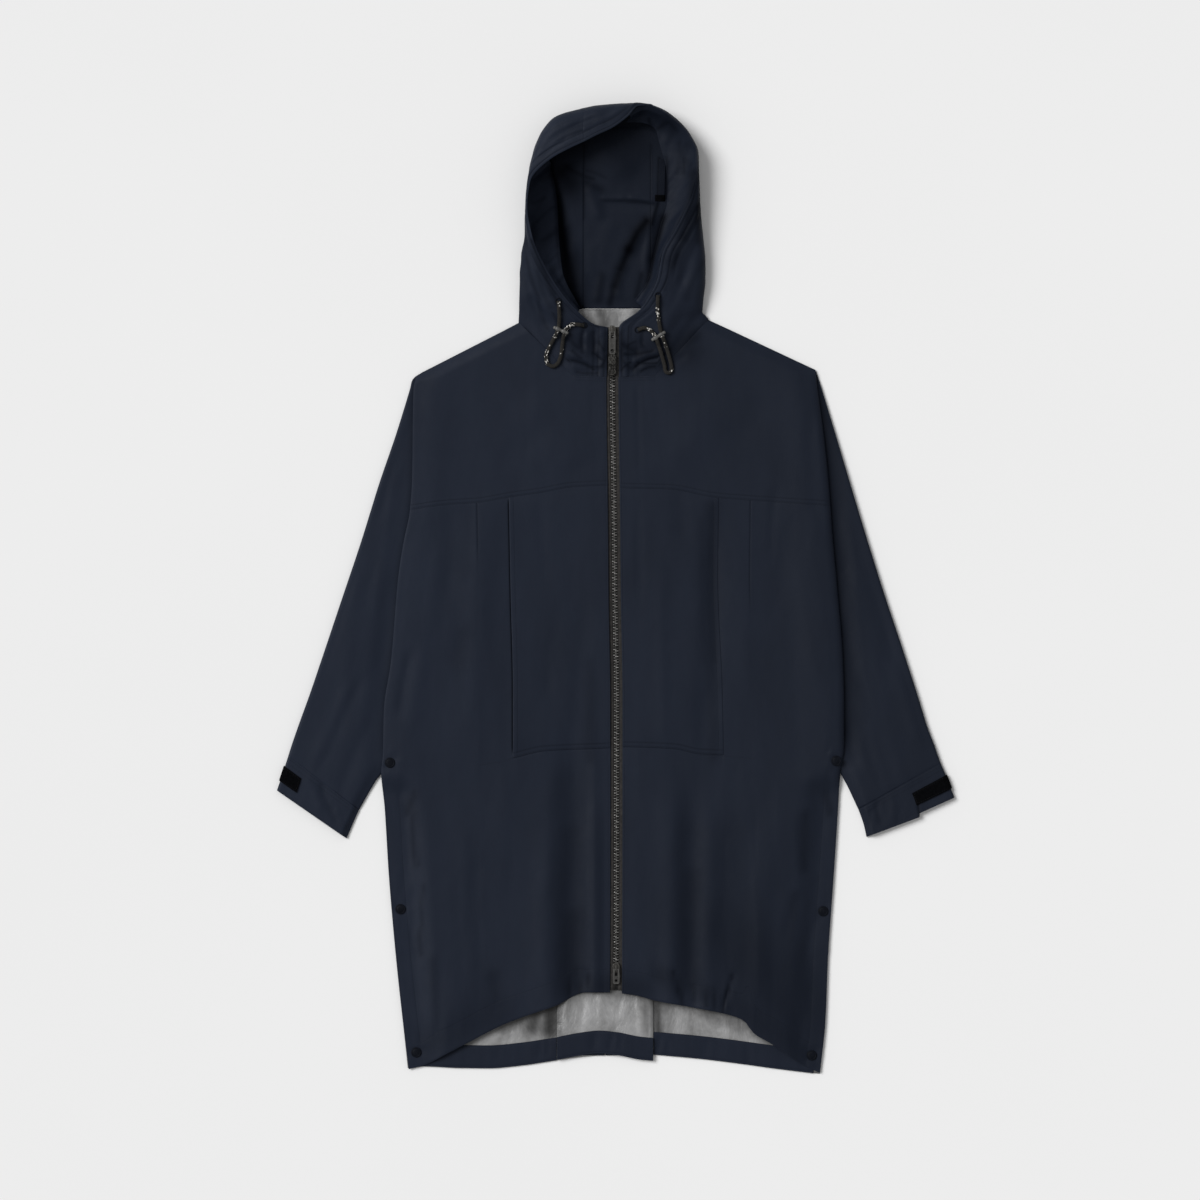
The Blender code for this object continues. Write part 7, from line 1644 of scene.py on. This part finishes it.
SNAP_SHAPE = curve_profile([(0, 0), (6.3, 0), (6.9, 0.35), (6.9, 1.1), (6.3, 1.75), (5.6, 1.95), (5.1, 1.6), (4.7, 1.75), (3.7, 2.2), (1.8, 2.4), (0, 2.4)])
for n in range(6):
    name = f"snap_{('left', 'right')[n // 3]}_{n % 3 + 1}"
    low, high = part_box(name)
    centre = (low + high) / 2
    side = "left" if n < 3 else "right"
    top = max(drop(centre.x / MM + dx, centre.y / MM + dy, ["cloth_front_" + side])[0] or 0 for dx in (-5, 0, 5) for dy in (-5, 0, 5))
    turned_part("cap_" + name, SNAP_SHAPE, SNAP, (centre.x / MM, centre.y / MM, top + 0.05), (0, 0, 1), name)

EYELET_SHAPE = curve_profile([(2.9, 0.0), (4.5, 0.0), (4.6, 0.25), (4.3, 0.6), (3.8, 0.7), (3.2, 0.6), (2.8, 0.35), (2.8, 0.1), (2.9, 0.0)])
UPPER = ["cloth_yoke_left", "cloth_yoke_right", "cloth_hood_left", "cloth_hood_right"]
eyelet_top = []
EYELET_SHIFTS = ((0, 0), (1.0, 3.4), (-3.2, 0), (1.0, 3.4))
for n, (x, y) in enumerate(zip(*EYELETS.values())):
    x, y = x + EYELET_SHIFTS[n][0], y + EYELET_SHIFTS[n][1]
    name = f"eyelet_{('left', 'right')[n // 2]}_{('upper', 'lower')[n % 2]}"
    total, ring = Vector((0, 0, 0)), []
    for a in np.linspace(0, 2 * math.pi, 13)[:-1]:
        z, normal = drop(x + 4.5 * math.cos(a), y + 4.5 * math.sin(a), UPPER)
        if z is not None:
            total += normal
            ring.append((x + 4.5 * math.cos(a), y + 4.5 * math.sin(a), z))
    normal = total.normalized()
    z = drop(x, y, UPPER)[0]
    lift = max([0.0] + [p[2] - (z - (normal.x * (p[0] - x) + normal.y * (p[1] - y)) / normal.z) for p in ring])
    z += min(lift, 1.2) * 0.8
    turned_part("ring_" + name, EYELET_SHAPE, SNAP, (x, y, z), normal, name, 32)
    eyelet_top.append((x, y, z, normal))


# ---------------------------------------------------------------- drawcords and their bar locks
def route(rows, lock, ends):
    """The cord's centreline on one smooth curve that lies on the cloth, comes out of one eyelet, passes its lock twice and goes into the other."""
    radius = CORD_DIAMETER / 2
    plan = np.stack(list(rows.values()), axis=1)
    chord = np.concatenate([[0], np.cumsum(np.linalg.norm(np.diff(plan, axis=0), axis=1))])
    fine = np.linspace(0, chord[-1], 141)
    xs, ys = smooth(chord, plan[:, 0], fine), smooth(chord, plan[:, 1], fine)
    ground = []
    for x, y in zip(xs, ys):
        ring = [(x, y)] + [(x + 1.7 * math.cos(a), y + 1.7 * math.sin(a)) for a in np.linspace(0, 2 * math.pi, 7)[:-1]]
        ground.append(max(drop(px, py, UPPER)[0] or 0 for px, py in ring))
    ground = np.array(ground) + radius + 0.15
    eased = ground.copy()
    for _ in range(60):
        eased = np.maximum(ground, np.convolve(np.pad(eased, 1, mode="edge"), [0.25, 0.5, 0.25], mode="valid"))
    near = np.hypot(xs - lock[0], ys - lock[1])
    low = eased[np.argmin(near)]
    hold = np.where(near < 14, 1 - step((near - 7) / 7), 0)
    eased = np.maximum(eased, eased * (1 - hold) + (low + 1.3) * hold)
    gone = np.concatenate([[0], np.cumsum(np.hypot(np.diff(xs), np.diff(ys)))])
    for (ex, ey, ez, normal), from_end in zip(ends, (gone, gone[-1] - gone)):
        rise = ez + 0.4 + 2.6 * step(from_end / 7)
        near_end = np.where(from_end < 16, 1 - step((from_end - 5) / 11), 0)
        eased = eased * (1 - near_end) + rise * near_end
        eased = np.where(from_end > 5, np.maximum(eased, ground), eased)
    return np.stack([xs, ys, eased], axis=1), low + 1.3


def braided(name, points, diameter, fleck, node):
    line = resample(points, 1.1)
    ahead = np.gradient(line, axis=0)
    ahead /= np.linalg.norm(ahead, axis=1, keepdims=True)
    beside = np.cross(ahead, (0, 0, 1.0))
    beside /= np.maximum(np.linalg.norm(beside, axis=1, keepdims=True), 1e-9)
    up = np.cross(beside, ahead)
    gone = np.concatenate([[0], np.cumsum(np.linalg.norm(np.diff(line, axis=0), axis=1))])
    around = 16
    verts, uv, marks, faces = [], [], [], []
    for n, (p, b, u) in enumerate(zip(line, beside, up)):
        for k in range(around + 1):
            a = 2 * math.pi * k / around
            swell = 1 + 0.035 * math.sin(2 * math.pi * gone[n] / 1.9 + a * 4) + 0.02 * math.sin(gone[n] * 0.9)
            r = diameter / 2 * swell
            verts.append(p + b * r * math.cos(a) * 1.04 + u * r * math.sin(a) * 0.94)
            uv.append((a * diameter / 2, gone[n]))
            marks.append(fleck(gone[n] / gone[-1], a))
    columns = around + 1
    for n in range(len(line) - 1):
        for k in range(around):
            faces.append((n * columns + k, (n + 1) * columns + k, (n + 1) * columns + k + 1, n * columns + k + 1))
    obj = mesh_object(name, verts, faces, (CORD,), None, uv, {"fleck": marks})
    bm = bmesh.new()
    bm.from_mesh(obj.data)
    bmesh.ops.remove_doubles(bm, verts=bm.verts, dist=1e-6)
    bmesh.ops.holes_fill(bm, edges=[e for e in bm.edges if e.is_boundary], sides=40)
    bmesh.ops.recalc_face_normals(bm, faces=bm.faces)
    bm.to_mesh(obj.data)
    bm.free()
    obj.data.shade_smooth()
    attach(obj, "garment")
    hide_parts(node)
    return obj, line


def bar_lock(name, at, turn, node):
    """A moulded bar lock: a rounded bar with a waist, end caps and a flat top, with the cord's two runs through it."""
    around, stations_x = 28, np.array([-11, -10.8, -10.2, -9.0, -7.8, -7.3, -6.9, -4.5, -2.2, -1.6, -1.0, 0, 1.0, 1.6, 2.2, 4.5, 6.9, 7.3, 7.8, 9.0, 10.2, 10.8, 11])
    size = np.array([0.05, 0.62, 0.86, 0.95, 0.96, 0.9, 0.99, 1.0, 0.99, 0.86, 0.84, 0.84, 0.84, 0.86, 0.99, 1.0, 0.99, 0.9, 0.96, 0.95, 0.86, 0.62, 0.05])
    c, s = math.cos(turn), math.sin(turn)
    points, faces, uv = [], [], []
    for x, k in zip(stations_x, size):
        for n in range(around):
            a = 2 * math.pi * n / around
            u, v = math.cos(a), math.sin(a)
            u, v = math.copysign(abs(u) ** 0.62, u) * 2.4 * k, math.copysign(abs(v) ** 0.62, v) * 3.4 * k
            points.append((at[0] + x * c - u * s, at[1] + x * s + u * c, at[2] + v))
            uv.append((x, a * 3.5))
    for r in range(len(size) - 1):
        for n in range(around):
            m = (n + 1) % around
            faces.append((r * around + n, (r + 1) * around + n, (r + 1) * around + m, r * around + m))
    for hole in (-LOCK_HOLES / 2, LOCK_HOLES / 2):  # raised lips where the cord enters
        for face in (-1, 1):
            base = len(points)
            for radius, out in ((2.9, 0.0), (3.0, 0.25), (2.7, 0.35), (2.5, 0.05)):
                for n in range(18):
                    a = 2 * math.pi * n / 18
                    px, pz, py = hole + radius * math.cos(a), radius * math.sin(a), face * (2.2 + out)
                    points.append((at[0] + px * c - py * s, at[1] + px * s + py * c, at[2] + pz))
                    uv.append((px, pz))
            for r in range(3):
                for n in range(18):
                    m = (n + 1) % 18
                    quad = (base + r * 18 + n, base + r * 18 + m, base + (r + 1) * 18 + m, base + (r + 1) * 18 + n)
                    faces.append(quad if face < 0 else quad[::-1])
    obj = mesh_object(name, points, faces, (LOCK,), None, uv, sharp=45)
    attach(obj, "garment")
    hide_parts(node)
    return obj


FLECKS = {"left": ((0.0, 0.045), (0.22, 0.29), (0.35, 0.50), (0.655, 0.70), (0.80, 0.93)), "right": ((0.077, 0.18), (0.266, 0.377), (0.53, 0.56), (0.84, 0.937))}
CORD_LEFT = table("x y", [(-76.7, 388.5), (-76.2, 379), (-75.6, 367), (-76.4, 356), (-78.6, 347.2), (-84, 336.5), (-90, 325), (-93.6, 314), (-92, 305), (-84.5, 300.8), (-77.4, 305.6), (-73.6, 316), (-71.8, 329), (-70, 341), (-66, 351), (-56.5, 357.4), (-42.5, 355.9)])
CORD_RIGHT = table("x y", [(57.3, 396), (56.8, 388), (56.8, 379), (57.8, 366.5), (59.6, 354), (62.2, 343.5), (66.6, 332), (70.2, 321), (73.6, 309), (75.4, 301), (75.6, 296.6), (74.1, 293.3), (71.2, 292.1), (68.3, 293.2), (66.7, 296.4), (66.3, 301), (64.2, 309), (61, 320), (57.6, 330), (54.2, 339.4), (47.5, 348.4), (39, 352.6), (30, 349.9)])
LOCK_SHIFTS = ((0.0, 0.0), (0.4, -3.2))
for n, (label, rows) in enumerate((("left", CORD_LEFT), ("right", CORD_RIGHT))):
    lock = [LOCKS["x"][n] + LOCK_SHIFTS[n][0], LOCKS["y"][n] + LOCK_SHIFTS[n][1], LOCKS["dx"][n], LOCKS["dy"][n]]
    path, lock_z = route(rows, lock, eyelet_top[2 * n : 2 * n + 2])
    spans = FLECKS[label]
    amount = lambda t, a: max((step(min(t - lo, hi - t) / 0.008) if lo < t < hi else 0.0) for lo, hi in spans)
    bar = bar_lock("bar_lock_" + label, (lock[0], lock[1], lock_z), math.atan2(lock[3], lock[2]), "cord_lock_" + label)
    cord, line = braided("drawcord_" + label, path, CORD_DIAMETER, amount, "cord_" + label)
    length = float(np.linalg.norm(np.diff(line, axis=0), axis=1).sum()) * MM
    print("cord", label, round(length, 4))

# ---------------------------------------------------------------- zip
ZIP_TOP, ZIP_BOTTOM = 354.0, -540.5
TAPE_DROP = WALL / 2 + GAP + 0.2 + BAND_WALL / 2
for side, label in ((-1, "left"), (1, "right")):
    ys = np.linspace(ZIP_BOTTOM, ZIP_TOP, 180)
    xs = np.array([0.3, 0.9, 2.0, 3.2, TAPE_INNER, TAPE_INNER + 0.5, 4.6, 5.6, 6.8, 8.4, 10.5, 13.2, TAPE_OUTER])
    line = read(ZIP_LINE, ys)
    grid = np.array([[(c + side * v, y, zip_z(y) - TAPE_DROP - 0.9 * max(0.0, min(1.0, (4.6 - v) / 1.4)) + 0.15 * math.exp(-(((v - 5.2) / 0.8) ** 2))) for v in xs] for c, y in zip(line, ys)])
    if side < 0:
        grid = grid[:, ::-1]
    # painted shade on the tape's middle, between and under the teeth
    painted_tape_shade = np.broadcast_to(0.85 * step((3.6 - xs) / 1.0), grid.shape[:2])
    shell("tape_" + label, grid, 0.8, (TAPE,), None, None, painted_tape_shade[:, ::-1] if side < 0 else painted_tape_shade)
    declare("tape_" + label, "laid", ["cloth_front_" + label], ["zip_tape_" + label])

TOOTH_PITCH = 3.72
tooth = []
SECTION = ((0.55, -0.32, 0.75), (0.95, -0.5, 0.9), (1.55, -0.42, 0.95), (2.5, -0.55, 1.0), (3.2, -0.5, 0.9), (3.35, -0.35, 0.7))
points, faces = [], []
SLIDER_TOP_Y, SLIDER_BOTTOM_Y = 349.5, -510.0
ys = np.arange(SLIDER_BOTTOM_Y + 3.0, SLIDER_TOP_Y - 3.0, TOOTH_PITCH / 2)
# painted shade: every other pair of teeth is darkened so that the rest read as glints, and the teeth under the top tab
# and its grip carry its painted shadow
painted_dark_teeth = np.where(np.arange(len(ys)) % 4 < 2, 0.06, 0.62) + np.random.default_rng(17).uniform(-0.05, 0.12, len(ys))
tooth_shade = []
for n, y in enumerate(ys):
    side = -1 if n % 2 else 1
    painted_shade_under_tab = step((y - 280) / 4)  # under the top tab and its grip
    tooth_shade += [1 - (1 - 0.95 * painted_dark_teeth[n]) * (1 - 0.6 * painted_shade_under_tab)] * 64
    c, z = float(read(ZIP_LINE, y)), float(zip_z(y)) - 0.5
    lean = (float(read(ZIP_LINE, y + 1)) - float(read(ZIP_LINE, y - 1))) / 2
    base = len(points)
    for x, half, tall in ((-0.95, 0.32, 0.62), (-0.7, 0.54, 0.85), (0.05, 0.58, 0.98), (0.5, 0.46, 0.9), (1.1, 0.56, 1.0), (2.4, 0.7, 1.1), (3.1, 0.66, 0.95), (3.3, 0.42, 0.7)):
        for dy, dz in ((-1, -0.55), (-0.55, -1), (0.55, -1), (1, -0.55), (1, 0.55), (0.55, 1), (-0.55, 1), (-1, 0.55)):
            points.append((c + side * x + lean * dy * half, y + dy * half - lean * side * x, z + 0.35 + dz * tall * 1.15))
    rings = 8
    for r in range(rings - 1):
        for k in range(8):
            m = (k + 1) % 8
            quad = (base + r * 8 + k, base + r * 8 + m, base + (r + 1) * 8 + m, base + (r + 1) * 8 + k)
            faces.append(quad[::-1] if side > 0 else quad)
    for r in (0, rings - 1):
        b = base + r * 8
        for quad in ((b, b + 1, b + 2, b + 3), (b, b + 3, b + 4, b + 7), (b + 4, b + 5, b + 6, b + 7)):
            faces.append(quad if (side > 0) == (r == 0) else quad[::-1])
teeth = mesh_object("zip_teeth", points, faces, (TEETH,), marks={"shade": tooth_shade}, sharp=50)
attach(teeth, "garment")
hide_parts("zip_chain")


def refined(name, node, finish, body, width=0.22):
    """A hard node's own form with its edges rounded, as a new piece."""
    source = bpy.data.objects[frame["nodes"][node].name if hasattr(frame["nodes"], "keys") else node]
    mesh = source.data.copy()
    mesh.materials.clear()
    mesh.materials.append(finish)
    obj = bpy.data.objects.new(name, mesh)
    bpy.context.scene.collection.objects.link(obj)
    bm = bmesh.new()
    bm.from_mesh(mesh)
    bmesh.ops.remove_doubles(bm, verts=bm.verts, dist=2e-5)
    bmesh.ops.dissolve_limit(bm, angle_limit=math.radians(4), verts=bm.verts, edges=bm.edges)
    bm.to_mesh(mesh)
    bm.free()
    mod = obj.modifiers.new("edge", "BEVEL")
    mod.width = width * MM
    mod.segments = 3
    mod.limit_method = "ANGLE"
    mod.angle_limit = math.radians(32)
    mod.harden_normals = False
    mesh.shade_smooth()
    mesh.set_sharp_from_angle(angle=math.radians(45))
    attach(obj, body)
    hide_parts(node)
    return obj


refined("slider_top", "zip_slider_top", DARK_METAL, "garment")
refined("slider_bottom", "zip_slider_bottom", DARK_METAL, "garment")
refined("pull_top", "zip_pull_top", METAL, "top_pull", 0.28)
refined("pull_bottom", "zip_pull_bottom", METAL, "bottom_pull", 0.28)
refined("grip_top", "zip_grip_top", GRIP, "top_pull", 0.3)

# ---------------------------------------------------------------- each piece's size laid flat, from its form, or as cut where listed
for name, held, rests_on, with_pieces in pending:
    width, long, area = flat_size(forms[name])
    print("sheet", name, round(width, 3), round(long, 3), round(area, 4))
    if name in CUTS:
        width, long, area = CUTS[name]
